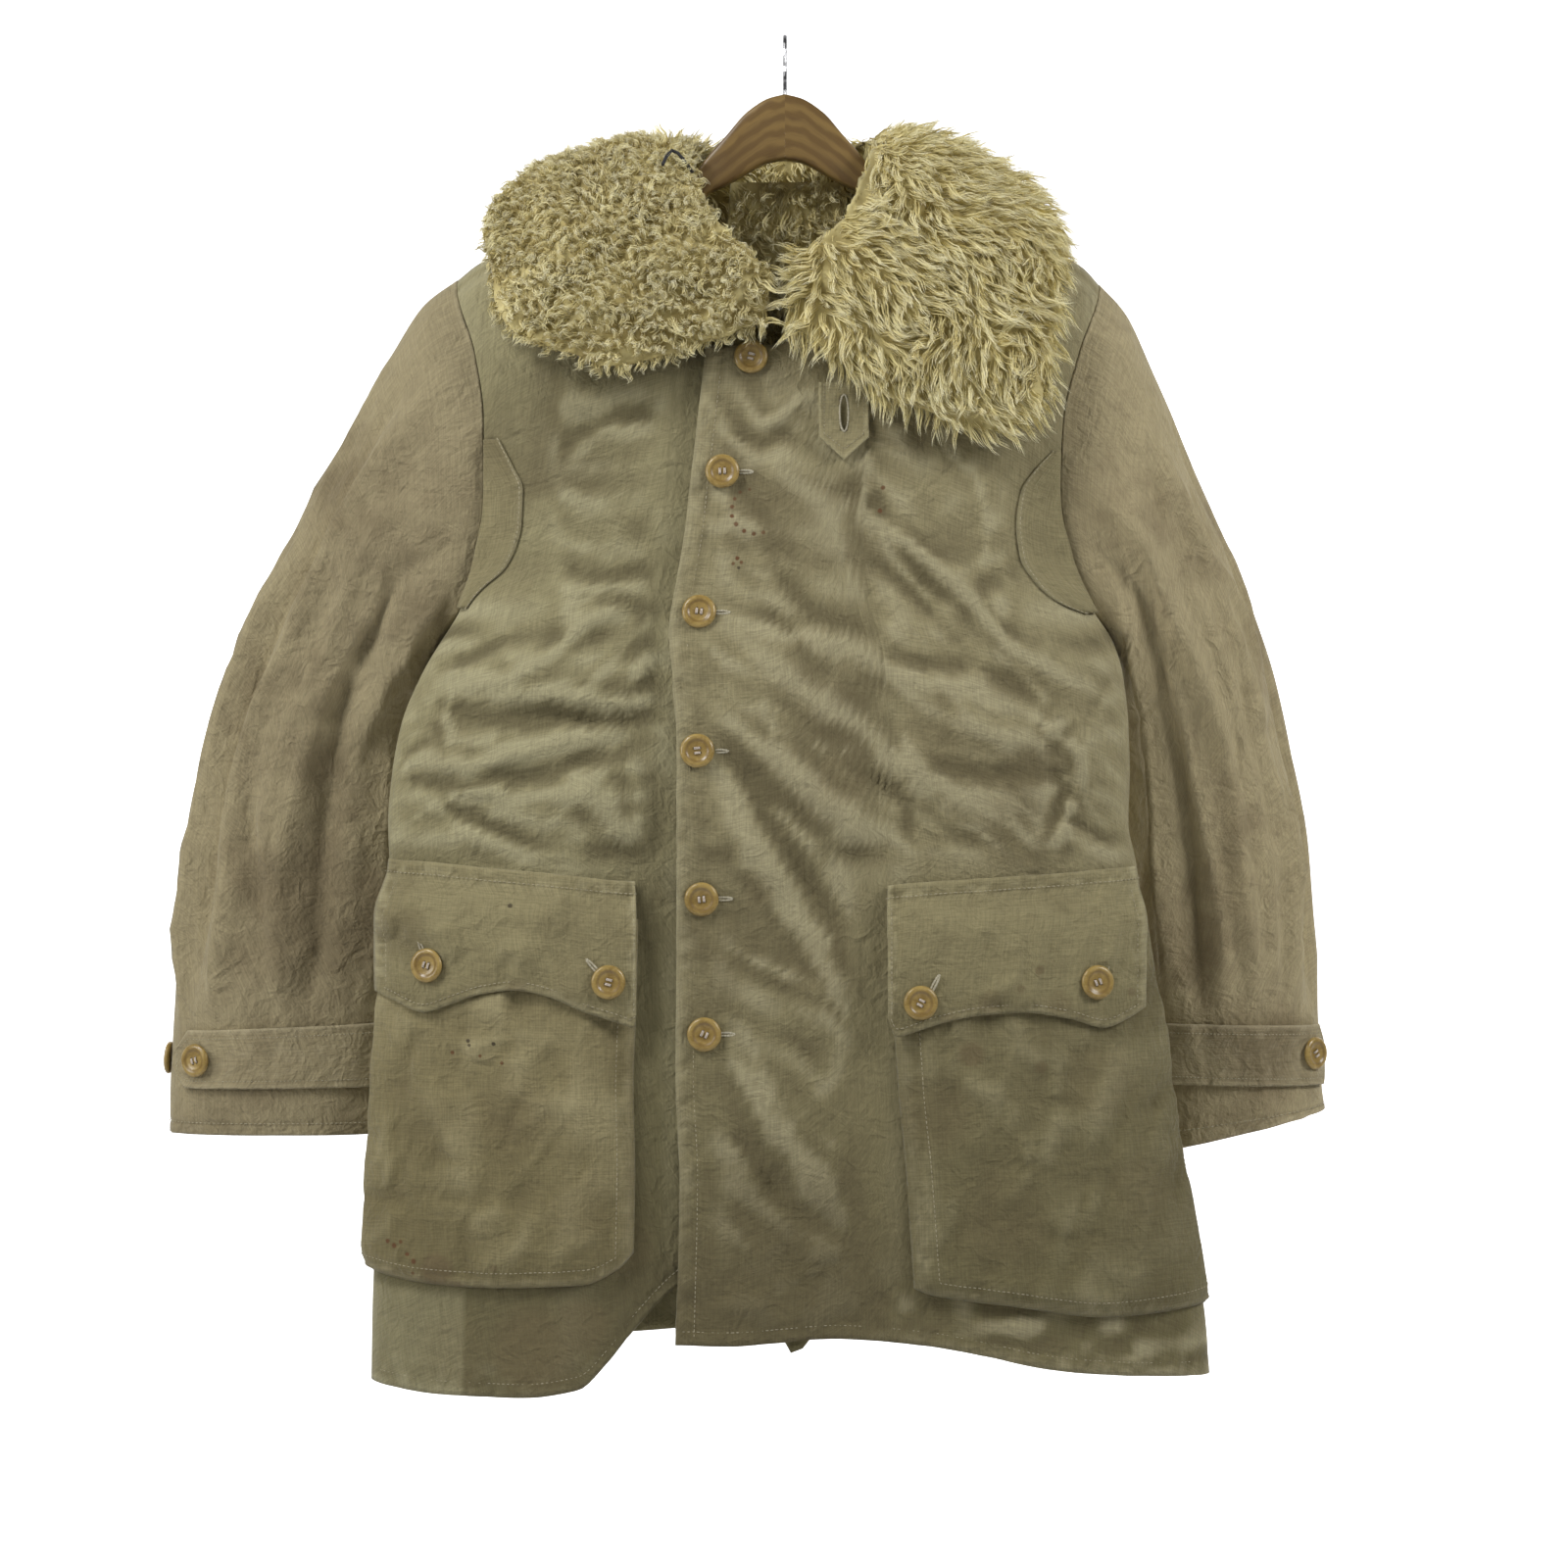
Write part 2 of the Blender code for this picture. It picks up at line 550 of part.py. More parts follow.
def sleeve_surface(rows, side, folds):
    columns = [through([(i, *row) for i, row in enumerate(rows)], c + 1) for c in range(6)]

    def ring(along, turn):
        outer_x, outer_z, inner_x, inner_z, depth, middle_y = (c(along) for c in columns)
        across = math.copysign(abs(math.cos(turn)) ** (2 / SLEEVE_SECTION_POWER), math.cos(turn))
        forward = math.copysign(abs(math.sin(turn)) ** (2 / SLEEVE_SECTION_POWER), math.sin(turn))
        middle = Vector(((outer_x + inner_x) / 2, middle_y, (outer_z + inner_z) / 2))
        reach = Vector((outer_x - inner_x, 0.0, outer_z - inner_z)) / 2
        point = middle + reach * across + Vector((0.0, -depth * forward, 0.0))
        share = along / (len(rows) - 1)
        rise = 0.0
        for top, low, width, height in folds:
            away = (math.degrees(turn) - top - (low - top) * share + 180.0) % 360.0 - 180.0
            rise += height * math.exp(-(away / width) ** 2)
        rise *= smooth_step(share * 5.0) * (1.0 - smooth_step((share - 0.72) * 9.0))
        return point + (point - middle).normalized() * rise

    def surface(along, turn):
        settle = 1.0 - smooth_step(along / SLEEVE_SETTLE)
        point = ring(along, turn) + (armhole(side, turn) - ring(0.0, turn)) * settle
        outward = math.copysign(ARMHOLE_GAP, rows[0][0]) * settle
        return point + Vector((outward, 0.0, 0.0))

    return surface


right_sleeve = sleeve_surface(RIGHT_SLEEVE, right_side, RIGHT_SLEEVE_FOLDS)
left_sleeve = sleeve_surface(LEFT_SLEEVE, left_side, LEFT_SLEEVE_FOLDS)


def sleeve_moved_out(surface, along, degrees, out, hand):
    turn = math.radians(degrees)
    a = surface(along, turn + 0.02) - surface(along, turn - 0.02)
    b = surface(min(LAST_RING, along + 0.05), turn) - surface(along - 0.05, turn)
    return surface(along, turn) + a.cross(b).normalized() * out * hand


def make_sleeves(look, parts):
    for name, surface, sign, flip in (("sleeve_left", left_sleeve, 1, True),
                                      ("sleeve_right", right_sleeve, -1, False)):
        turns = [2 * math.pi * j / SLEEVE_AROUND for j in range(SLEEVE_AROUND)]
        grid = [[surface(LAST_RING * i / SLEEVE_RINGS, turn) for turn in turns]
                for i in range(SLEEVE_RINGS + 1)]
        # A narrow row at the armhole keeps the seam's edge square to the body's.
        seam = [point + Vector((sign * SEAM_STEP, 0.0, 0.0)) for point in grid[0]]
        cloth(name, [grid[0], seam] + grid[1:], CANVAS, look, parts, cyclic=True, flip=flip)


def make_gussets(look, parts):
    for name, surface, edge, side, seam, turn, flip in (
        ("gusset_left", over_front, over_edge, left_side, LEFT_GUSSET, 1, False),
        ("gusset_right", under_front, under_edge, right_side, RIGHT_GUSSET, -1, True),
    ):
        seam_x = through(seam)
        low, high = seam[0][0], seam[-1][0]
        grid = []
        for i in range(10):
            z = high + (low - high) * i / 9
            start = across_at(edge, side, seam_x(z), z)
            end = max(GUSSET_END, start + 0.02)
            out = LAY_GAP + TAB_CLOTH + GUSSET_SPARE
            grid.append([moved_out(surface, start + (end - start) * j / 4, z, out, turn)
                         for j in range(5)])
        cloth(name, grid, TAB_CLOTH, look, parts, flip=flip)


def make_pockets(look, parts):
    # Each is a shallow box of cloth: its outermost rows and columns are the bellows.
    rows, columns = POCKET_ROWS, POCKET_COLUMNS
    for name, surface, edge, side, inner, bottom, turn, flip in (
        ("pocket_left", over_front, over_edge, left_side, LEFT_POCKET_INNER, LEFT_POCKET_BOTTOM,
         1, False),
        ("pocket_right", under_front, under_edge, right_side, RIGHT_POCKET_INNER, RIGHT_POCKET_BOTTOM,
         -1, True),
    ):
        bottom_z = through(bottom)
        start = across_at(edge, side, inner, POCKET_MOUTH)
        grid = []
        for i in range(rows + 3):
            line = []
            for j in range(columns + 5):
                if j < 3:
                    across = start + POCKET_INSET[j] * INNER_INSET_SCALE
                elif j > columns + 1:
                    across = POCKET_SIDE_END - POCKET_INSET[columns + 4 - j] * OUTER_INSET_SCALE
                else:
                    across = start + (POCKET_SIDE_END - start) * (j - 1) / (columns + 1)
                low = bottom_z(surface(across, POCKET_MIDDLE)[0])
                down = min(1.0, i / rows)
                z = POCKET_MOUTH + (low + POCKET_INSET[2] - POCKET_MOUTH) * down
                if i >= rows:
                    z = low + POCKET_INSET[rows + 2 - i]
                rim = min(j, columns + 4 - j, rows + 2 - i)
                out = POCKET_STAND[min(rim, 3)]
                mouth = POCKET_MOUTH_DEPTH + POCKET_CLOTH
                out -= max(0.0, out - mouth) * (1.0 - smooth_step(down * 4.0))
                line.append(moved_out(surface, across, z, out, turn))
            grid.append(line)
        cloth(name, grid, POCKET_CLOTH, look, parts, flip=flip)


def flap_out(share, z):
    # How far the flap's outside stands off the front: sewn down at its top, over the pocket below.
    over_pocket = POCKET_BELLOWS + POCKET_CLOTH + LAY_GAP + TAB_CLOTH + FLAP_SPARE
    return FLAP_TOP + (over_pocket - FLAP_TOP) * smooth_step(share * FLAP_LIFT)


def make_flaps(look, parts):
    for name, surface, edge, side, outline, turn, flip in (
        ("flap_left", over_front, over_edge, left_side, LEFT_FLAP, 1, False),
        ("flap_right", under_front, under_edge, right_side, RIGHT_FLAP, -1, True),
    ):
        grid = []
        for i in range(FLAP_ROWS + 1):
            share = i / FLAP_ROWS
            line = []
            for x, top, low in outline:
                z = top + (low - top) * share
                line.append(moved_out(surface, across_at(edge, side, x, z), z, flap_out(share, z), turn))
            grid.append(line)
        cloth(name, grid, TAB_CLOTH, look, parts, flip=flip)


def make_throat_tab(look, parts, cutters):
    grid = []
    rows = 7
    for i in range(rows + 1):
        share = i / rows
        line = []
        for j in range(5):
            place = -1.0 + j / 2.0
            low = TAB_CORNER + (TAB_POINT - TAB_CORNER) * (1.0 - abs(place))
            z = TAB_TOP + (low - TAB_TOP) * share
            x = TAB_X + TAB_HALF * place
            y = front_y(x, z) - LAY_GAP - TAB_CLOTH - TAB_SPARE - TAB_TILT * share ** 2
            line.append(Vector((x, y, z)))
        grid.append(line)
    tab = cloth("throat_tab", grid, TAB_CLOTH, look, parts)
    bpy.ops.mesh.primitive_cube_add(size=1.0)
    hole = bpy.context.object
    hole.name = "buttonhole_cutter"
    hole.dimensions = (TAB_HOLE_WIDE * MM, 60 * MM, TAB_HOLE_LONG * MM)
    middle = TAB_HOLE_TOP - TAB_HOLE_LONG / 2
    hole.location = Vector((TAB_X, front_y(TAB_X, middle), middle)) * MM
    hide_cutter(hole, cutters)
    cut(tab, hole)


def hide_cutter(obj, cutters):
    obj.hide_render = True
    obj.display_type = "WIRE"
    for collection in list(obj.users_collection):
        collection.objects.unlink(obj)
    cutters.objects.link(obj)


def cut(obj, cutter):
    made = obj.modifiers.new("Cut", "BOOLEAN")
    made.operation = "DIFFERENCE"
    made.solver = "EXACT"
    made.object = cutter


def make_cuff_tabs(look, parts):
    for name, surface, (point, root), hand, flip in (
        ("cuff_tab_left", left_sleeve, LEFT_CUFF_TAB, 1, True),
        ("cuff_tab_right", right_sleeve, RIGHT_CUFF_TAB, -1, False),
    ):
        grid = []
        columns = 12
        for i in range(4):
            line = []
            for j in range(columns + 1):
                share = j / columns
                narrow = min(1.0, 0.12 + share * 8.0)
                along = CUFF_TAB_ROW + (i / 1.5 - 1.0) * CUFF_TAB_HALF * narrow
                out = LAY_GAP + TAB_CLOTH + CUFF_TAB_SPARE
                line.append(sleeve_moved_out(surface, along, point + (root - point) * share, out, hand))
            grid.append(line)
        cloth(name, grid, TAB_CLOTH, look, parts, flip=flip)


def button_mesh():
    # A dished disc, turned from its profile: the face is at +Z, the back at 0.
    profile = (
        (BUTTON_DISH_RADIUS - 1.6, BUTTON_THICK - BUTTON_DISH),
        (BUTTON_DISH_RADIUS, BUTTON_THICK),
        (BUTTON_RADIUS - 1.4, BUTTON_THICK),
        (BUTTON_RADIUS, BUTTON_THICK / 2),
        (BUTTON_RADIUS - 2.0, 0.0),
    )
    shape = bmesh.new()
    rings = [[shape.verts.new((r * MM * math.cos(a), r * MM * math.sin(a), z * MM))
              for a in (2 * math.pi * k / BUTTON_SIDES for k in range(BUTTON_SIDES))] for r, z in profile]
    for inner, outer in zip(rings, rings[1:]):
        for k in range(BUTTON_SIDES):
            n = (k + 1) % BUTTON_SIDES
            shape.faces.new((inner[k], outer[k], outer[n], inner[n]))
    shape.faces.new(rings[0])
    shape.faces.new(rings[-1][::-1])
    mesh = bpy.data.meshes.new("horn_button")
    shape.to_mesh(mesh)
    shape.free()
    return mesh


def place_button(name, mesh, point, normal, parts):
    obj = bpy.data.objects.new(name, mesh)
    obj.location = point * MM
    obj.rotation_mode = "QUATERNION"
    obj.rotation_quaternion = normal.to_track_quat("Z", "Y")
    parts.objects.link(obj)


def make_buttons(look, parts):
    mesh = button_mesh()
    mesh.materials.append(look)
    mesh.set_sharp_from_angle(angle=math.radians(40))
    for i, (x, z, stand) in enumerate(FRONT_BUTTONS):
        across = across_at(over_edge, left_side, x, z)
        base = moved_out(over_front, across, z, 0.0, 1)
        normal = (moved_out(over_front, across, z, 1.0, 1) - base).normalized()
        place_button(f"button_front_{i + 1}", mesh, base + normal * stand, normal, parts)
    flap_buttons = [(over_front, over_edge, left_side, 1, p) for p in LEFT_FLAP_BUTTONS]
    flap_buttons += [(under_front, under_edge, right_side, -1, p) for p in RIGHT_FLAP_BUTTONS]
    for i, (surface, edge, side, turn, (x, z)) in enumerate(flap_buttons):
        across = across_at(edge, side, x, z)
        base = moved_out(surface, across, z, flap_out(1.0, z) + FLAP_BUTTON_STAND, turn)
        normal = (base - surface(across, z)).normalized()
        place_button(f"button_flap_{i + 1}", mesh, base, normal, parts)
    cuff_buttons = [(left_sleeve, 1, p) for p in LEFT_CUFF_BUTTONS]
    cuff_buttons += [(right_sleeve, -1, p) for p in RIGHT_CUFF_BUTTONS]
    for i, (surface, hand, (along, degrees, out)) in enumerate(cuff_buttons):
        base = sleeve_moved_out(surface, along, degrees, out, hand)
        normal = (base - surface(along, math.radians(degrees))).normalized()
        place_button(f"button_cuff_{i + 1}", mesh, base, normal, parts)


def collar_middle(along, across):
    # The middle of the collar's thickness, from the fold (0) to the outer edge (1).
    fold_x, fold_y, fold_z, edge_x, edge_y, edge_z, rise, _ = (c(along) for c in collar_columns)
    fold, edge = Vector((fold_x, fold_y, fold_z)), Vector((edge_x, edge_y, edge_z))
    lift = Vector((0.0, 0.35 * (edge_y - 10.0) / 60.0, 1.0)).normalized() * rise
    return fold + (edge - fold) * across + lift * 4.0 * across * (1.0 - across)


collar_columns = [through([(i, *row) for i, row in enumerate(COLLAR)], c + 1) for c in range(8)]


def clear_of_body(point, gap):
    # Lifts a point that would sit in the body straight off its surface.
    x, y, z = point
    seam = side_seam(z)
    ridge = shoulder(x) + gap
    within = abs(x) < abs(side_of(x, z)) + gap
    if within and z < ridge:
        depth, edge = back_depth(z), back_edge_depth(z)
        if y < seam:
            depth, edge = front_depth(z), front_edge_depth(z)
        depth = across_depth(x, z, depth, edge) + gap
        off = abs(y - seam)
        reach = depth * (1.0 - math.exp(-shoulder_run(ridge - z) / SHOULDER_TURN))
        if off < reach:
            run = -SHOULDER_TURN * math.log(max(1e-6, 1.0 - off / depth))
            short = ridge - (math.sqrt(run ** 2 + SHOULDER_ROUND ** 2) - SHOULDER_ROUND) - z
            sink = reach - off
            whole = max(1e-6, short ** 2 + sink ** 2)
            y += math.copysign(short ** 2 * sink / whole, y - seam)
            z += sink ** 2 * short / whole
    return Vector((x, y, z))


def make_collar(look, parts):
    last = len(COLLAR) - 1
    stations = [0.0, 0.12] + [0.5 + 0.75 * k for k in range(21)] + [last - 0.12, float(last)]
    shrink = {0: 0.45, 1: 0.85, len(stations) - 2: 0.85, len(stations) - 1: 0.45}
    rings = []
    for i, along in enumerate(stations):
        thick = collar_columns[7](along) * shrink.get(i, 1.0) / 2
        top, under = [], []
        for across in COLLAR_ACROSS:
            middle = collar_middle(along, across)
            a = collar_middle(min(last, along + 0.2), across) - collar_middle(max(0, along - 0.2), across)
            b = collar_middle(along, min(1.0, across + 0.05)) - collar_middle(along, max(0.0, across - 0.05))
            normal = b.cross(a).normalized()
            half = thick * math.sqrt(max(0.0, 1.0 - abs(2 * across - 1) ** 5))
            top.append(clear_of_body(middle + normal * half, COLLAR_CLEAR + 2.0))
            under.append(clear_of_body(middle - normal * half, COLLAR_CLEAR))
        rings.append(top + under[-2:0:-1])
    count = len(rings[0])
    faces = grid_faces(len(rings), count, cyclic=True)
    faces.append(tuple(range(count))[::-1])
    faces.append(tuple((len(rings) - 1) * count + k for k in range(count)))
    mesh_object("collar", [p for ring in rings for p in ring], faces, look, parts)


def make_neck_fleece(look, parts):
    half = through(NECK_FLEECE)
    low = shoulder(NECK_HALF) - BACK_NECK_DROP
    grid = []
    for i in range(9):
        z = NECK_FLEECE[0][0] + (NECK_FLEECE[-1][0] - NECK_FLEECE[0][0]) * i / 8
        line = []
        for j in range(11):
            x = half(z) * (j / 5 - 1.0)
            sewn = min(z, shoulder_or_neck(x, low, 3.0) - 3.0)
            across = 2 / math.pi * math.asin(x / abs(side_of(x, sewn)))
            point = moved_out(back_panel, across, sewn, -NECK_FLEECE_GAP, -1)
            line.append(point + Vector((0.0, 0.0, z - sewn)))
        grid.append(line)
    cloth("neck_fleece", grid, NECK_FLEECE_THICK, look, parts, flip=True)


def tube(name, points, radius, look, parts, resolution=2):
    curve = bpy.data.curves.new(name, "CURVE")
    curve.dimensions = "3D"
    curve.bevel_depth = radius * MM
    curve.bevel_resolution = resolution
    curve.use_fill_caps = True
    line = curve.splines.new("POLY")
    line.points.add(len(points) - 1)
    for place, point in zip(line.points, points):
        place.co = (*(Vector(point) * MM), 1.0)
    curve.materials.append(look)
    obj = bpy.data.objects.new(name, curve)
    parts.objects.link(obj)
    return obj


def make_hang_loop(look, parts):
    tube("hang_loop", HANG_LOOP, LOOP_RADIUS, look, parts)


def make_hanger(wood, steel, parts, cutters):
    bpy.ops.mesh.primitive_cylinder_add(vertices=16, radius=HOOK_HOLE * MM, depth=40 * MM)
    hole = bpy.context.object
    hole.name = "hook_hole_cutter"
    hole.location = Vector((0.0, 0.0, HOOK_SHANK_END - 1.0 + 20.0)) * MM
    hide_cutter(hole, cutters)
    for name, hand in (("hanger_arm_left", 1), ("hanger_arm_right", -1)):
        sections = list(HANGER)
        for x, tall, thick in HANGER_ARM:
            sections.append((x, shoulder(hand * x) - HANGER_UNDER_CLOTH - tall / 2, tall, thick))
        rings = []
        for x, middle, tall, thick in sections:
            ring = []
            for k in range(HANGER_SIDES):
                turn = 2 * math.pi * (k + 0.5) / HANGER_SIDES
                across = math.copysign(abs(math.cos(turn)) ** 0.6, math.cos(turn)) * thick / 2
                up = math.copysign(abs(math.sin(turn)) ** 0.6, math.sin(turn)) * tall / 2
                ring.append(Vector((hand * x, across, middle + up)))
            rings.append(ring)
        faces = grid_faces(len(rings), HANGER_SIDES, cyclic=True, flip=hand < 0)
        first = tuple(range(HANGER_SIDES))
        final = tuple((len(rings) - 1) * HANGER_SIDES + k for k in first)
        faces.append(first[::-1] if hand > 0 else first)
        faces.append(final if hand > 0 else final[::-1])
        arm = mesh_object(name, [p for ring in rings for p in ring], faces, wood, parts)
        arm.data.set_sharp_from_angle(angle=math.radians(30))
        cut(arm, hole)
    centre_z = -HOOK_BEND
    points = [(0, 0, HOOK_SHANK_END), (0, 0, -44), (0, 0, centre_z - HOOK_BEND - 7.0)]
    for k in range(17):
        turn = math.radians(-62 + 242 * k / 16)
        radius = HOOK_BEND + HOOK_WIRE
        points.append((0, radius * math.cos(turn), centre_z + radius * math.sin(turn)))
    points.append((0, -HOOK_BEND - HOOK_WIRE, centre_z - 6.0))
    tube("hanger_hook", points, HOOK_WIRE, steel, parts)


def build():
    clear_scene()
    parts = bpy.data.collections.new("sheepskin coat")
    cutters = bpy.data.collections.new("cutters")
    for collection in (parts, cutters):
        bpy.context.scene.collection.children.link(collection)
    canvas = material("canvas", CANVAS_COLOUR, 0.9)
    shaded = material("shaded canvas", SHADE_CANVAS_COLOUR, 0.9)
    wool = material("wool", WOOL_COLOUR, 0.95)
    horn = material("horn", HORN_COLOUR, 0.35)
    wood = material("hanger wood", WOOD_COLOUR, 0.45)
    steel = material("steel", STEEL_COLOUR, 0.25, 1.0)
    loop = material("loop", LOOP_COLOUR, 0.7)
    make_fronts(canvas, parts)
    make_back(canvas, parts)
    make_sleeves(shaded, parts)
    make_gussets(canvas, parts)
    make_pockets(canvas, parts)
    make_flaps(canvas, parts)
    make_throat_tab(canvas, parts, cutters)
    make_cuff_tabs(shaded, parts)
    make_buttons(horn, parts)
    make_collar(wool, parts)
    make_neck_fleece(wool, parts)
    make_hang_loop(loop, parts)
    make_hanger(wood, steel, parts, cutters)


build()
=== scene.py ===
import json
import math
import random

import bmesh
import bpy
import numpy as np
from mathutils import Matrix, Vector

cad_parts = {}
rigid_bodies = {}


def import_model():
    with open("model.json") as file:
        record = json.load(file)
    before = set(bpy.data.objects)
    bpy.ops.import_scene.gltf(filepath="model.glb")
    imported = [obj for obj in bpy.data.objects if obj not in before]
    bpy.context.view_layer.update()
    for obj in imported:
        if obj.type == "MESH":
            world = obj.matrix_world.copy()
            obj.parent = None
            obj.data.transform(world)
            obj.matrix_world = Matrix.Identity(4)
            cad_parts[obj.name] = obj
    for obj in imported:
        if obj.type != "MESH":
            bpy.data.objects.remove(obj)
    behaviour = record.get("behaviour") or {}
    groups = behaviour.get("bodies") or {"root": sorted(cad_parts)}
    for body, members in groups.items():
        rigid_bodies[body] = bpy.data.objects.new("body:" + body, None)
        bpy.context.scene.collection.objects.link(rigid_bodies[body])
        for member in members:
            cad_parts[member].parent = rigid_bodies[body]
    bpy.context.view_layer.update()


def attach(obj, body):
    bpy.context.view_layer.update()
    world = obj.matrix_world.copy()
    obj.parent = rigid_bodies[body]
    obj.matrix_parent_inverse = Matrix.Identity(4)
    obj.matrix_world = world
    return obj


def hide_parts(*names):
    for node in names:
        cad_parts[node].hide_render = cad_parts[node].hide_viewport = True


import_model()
scene = bpy.context.scene
scene.view_settings.view_transform = "Standard"
mm = 0.001


# what all the pieces use
def limited(v):
    return np.clip(v, 0.0, 1.0)


def smoothStep(v):
    v = limited(v)
    return v * v * (3.0 - 2.0 * v)


def bell(away, wide):
    return np.exp(-(away / wide) ** 2)


def unit(v):
    return v / np.maximum(1e-6, np.linalg.norm(v, axis=-1, keepdims=True))


def newObject(name, data):
    obj = bpy.data.objects.new(name, data)
    scene.collection.objects.link(obj)
    return obj


def addMark(mesh, name, values, kind="FLOAT"):
    mark = mesh.attributes.new(name, kind, "POINT")
    mark.data.foreach_set("value" if kind == "FLOAT" else "vector", np.ravel(values).astype(float))


def reworked(mesh, work):
    # opens a mesh, lets one function change it and closes it
    shape = bmesh.new()
    shape.from_mesh(mesh)
    work(shape)
    shape.to_mesh(mesh)
    shape.free()


def closeEnds(shape):
    bmesh.ops.holes_fill(shape, edges=[e for e in shape.edges if e.is_boundary], sides=0)
    bmesh.ops.recalc_face_normals(shape, faces=shape.faces)


def settle(obj):
    # what the modifiers make becomes the piece's own mesh
    bpy.context.view_layer.update()
    graph = bpy.context.evaluated_depsgraph_get()
    made = bpy.data.meshes.new_from_object(obj.evaluated_get(graph), depsgraph=graph)
    obj.modifiers.clear()
    obj.data = made


def giveWall(obj, thickness):
    wall = obj.modifiers.new("wall", "SOLIDIFY")
    wall.thickness = thickness * mm
    wall.offset = -1.0
    settle(obj)


def handOver(obj, slot, *nodes):
    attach(obj, "root")
    if nodes:
        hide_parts(*nodes)


def triangles(obj):
    return sum(len(p.vertices) - 2 for p in obj.data.polygons)


class Nodes:
    # builds a tree of nodes
    def __init__(self, tree):
        self.tree = tree

    def add(self, kind, settings=None, **inputs):
        # inputs go by name, or by place as i0, i1 and so on
        node = self.tree.nodes.new(kind)
        for key, value in (settings or {}).items():
            setattr(node, key, value)
        for key, value in inputs.items():
            self.put(node, int(key[1:]) if key[0] == "i" and key[1:].isdigit() else key, value)
        return node

    def put(self, node, key, value):
        if isinstance(value, bpy.types.NodeSocket):
            self.tree.links.new(value, node.inputs[key])
        else:
            node.inputs[key].default_value = value

    def maths(self, operation, a, b=0.0, clamp=False):
        return self.add("ShaderNodeMath", {"operation": operation, "use_clamp": clamp}, i0=a, i1=b).outputs[0]

    def mix(self, share, a, b, blend="MIX"):
        a, b = ((*c, 1.0) if isinstance(c, tuple) else c for c in (a, b))
        return self.add("ShaderNodeMix", {"data_type": "RGBA", "blend_type": blend}, i0=share, i6=a, i7=b).outputs[2]

    def ramp(self, value, low, high, start=0.0, end=1.0, kind="SMOOTHSTEP"):
        return self.add("ShaderNodeMapRange", {"interpolation_type": kind}, i0=value, i1=low, i2=high, i3=start,
                        i4=end).outputs[0]

    def noise(self, vector, scale, detail=3.0, rough=0.55, bend=0.0):
        return self.add("ShaderNodeTexNoise", None, Vector=vector, Scale=scale, Detail=detail, Roughness=rough,
                        Distortion=bend).outputs["Fac"]

    def bands(self, vector, direction, scale, bend, detail):
        return self.add("ShaderNodeTexWave", {"wave_type": "BANDS", "bands_direction": direction}, Vector=vector,
                        Scale=scale, Distortion=bend, **{"Detail Scale": detail}).outputs["Fac"]

    def stretched(self, vector, scale):
        return self.add("ShaderNodeMapping", None, Vector=vector, Scale=scale).outputs[0]

    def place(self):
        return self.add("ShaderNodeTexCoord").outputs["Object"]

    def split(self, vector):
        return self.add("ShaderNodeSeparateXYZ", None, Vector=vector).outputs

    def flat(self, name):
        return self.add("ShaderNodeUVMap", {"uv_map": name}).outputs[0]

    def mark(self, name):
        return self.add("ShaderNodeAttribute", {"attribute_name": name}).outputs["Fac"]

    def bump(self, height, strength, distance, **below):
        return self.add("ShaderNodeBump", None, Height=height, Strength=strength, Distance=distance,
                        **below).outputs[0]

    def cover(self, colour, normal):
        self.put(self.shader, "Base Color", colour)
        self.put(self.shader, "Normal", normal)


def newMaterial(name, settings):
    material = bpy.data.materials.new(name)
    material.use_nodes = True
    n = Nodes(material.node_tree)
    n.shader = n.tree.nodes["Principled BSDF"]
    for key, value in settings.items():
        n.put(n.shader, key, value)
    return material, n


# camera, floor and light

cameraSetup = {"place": (-0.0007, -2.4, -0.562), "lens": 73.0, "sensor": 36.0}

studio = {
    "floorHeight": -1.75,
    "wallDistance": 3.7,
    "corner": 1.3,
    "halfWidth": 7.0,
    "paleness": (0.85, 0.85, 0.85),
    "glow": 1.1,
    "glowFrom": (1.2, 2.3),
    "worldLight": 0.07,
    # place, size, power, aimed at
    "lights": {
        "key": ((-1.2, -1.1, 1.0), 0.6, 23.0, (0.0, 0.0, -0.5)),
        "low": ((-1.5, -0.75, -0.25), 0.6, 8.5, (0.0, 0.0, -0.85)),
        "second": ((1.9, -1.0, 0.55), 0.8, 30.0, (0.2, 0.0, -0.6)),
        "front": ((0.1, -3.0, 0.3), 2.0, 3.0, (0.0, 0.0, -0.6)),
    },
}


def setCamera():
    data = bpy.data.cameras.new("camera")
    data.lens = cameraSetup["lens"]
    data.sensor_width = cameraSetup["sensor"]
    scene.camera = newObject("camera", data)
    scene.camera.location = cameraSetup["place"]
    scene.camera.rotation_euler = (math.pi / 2, 0.0, 0.0)


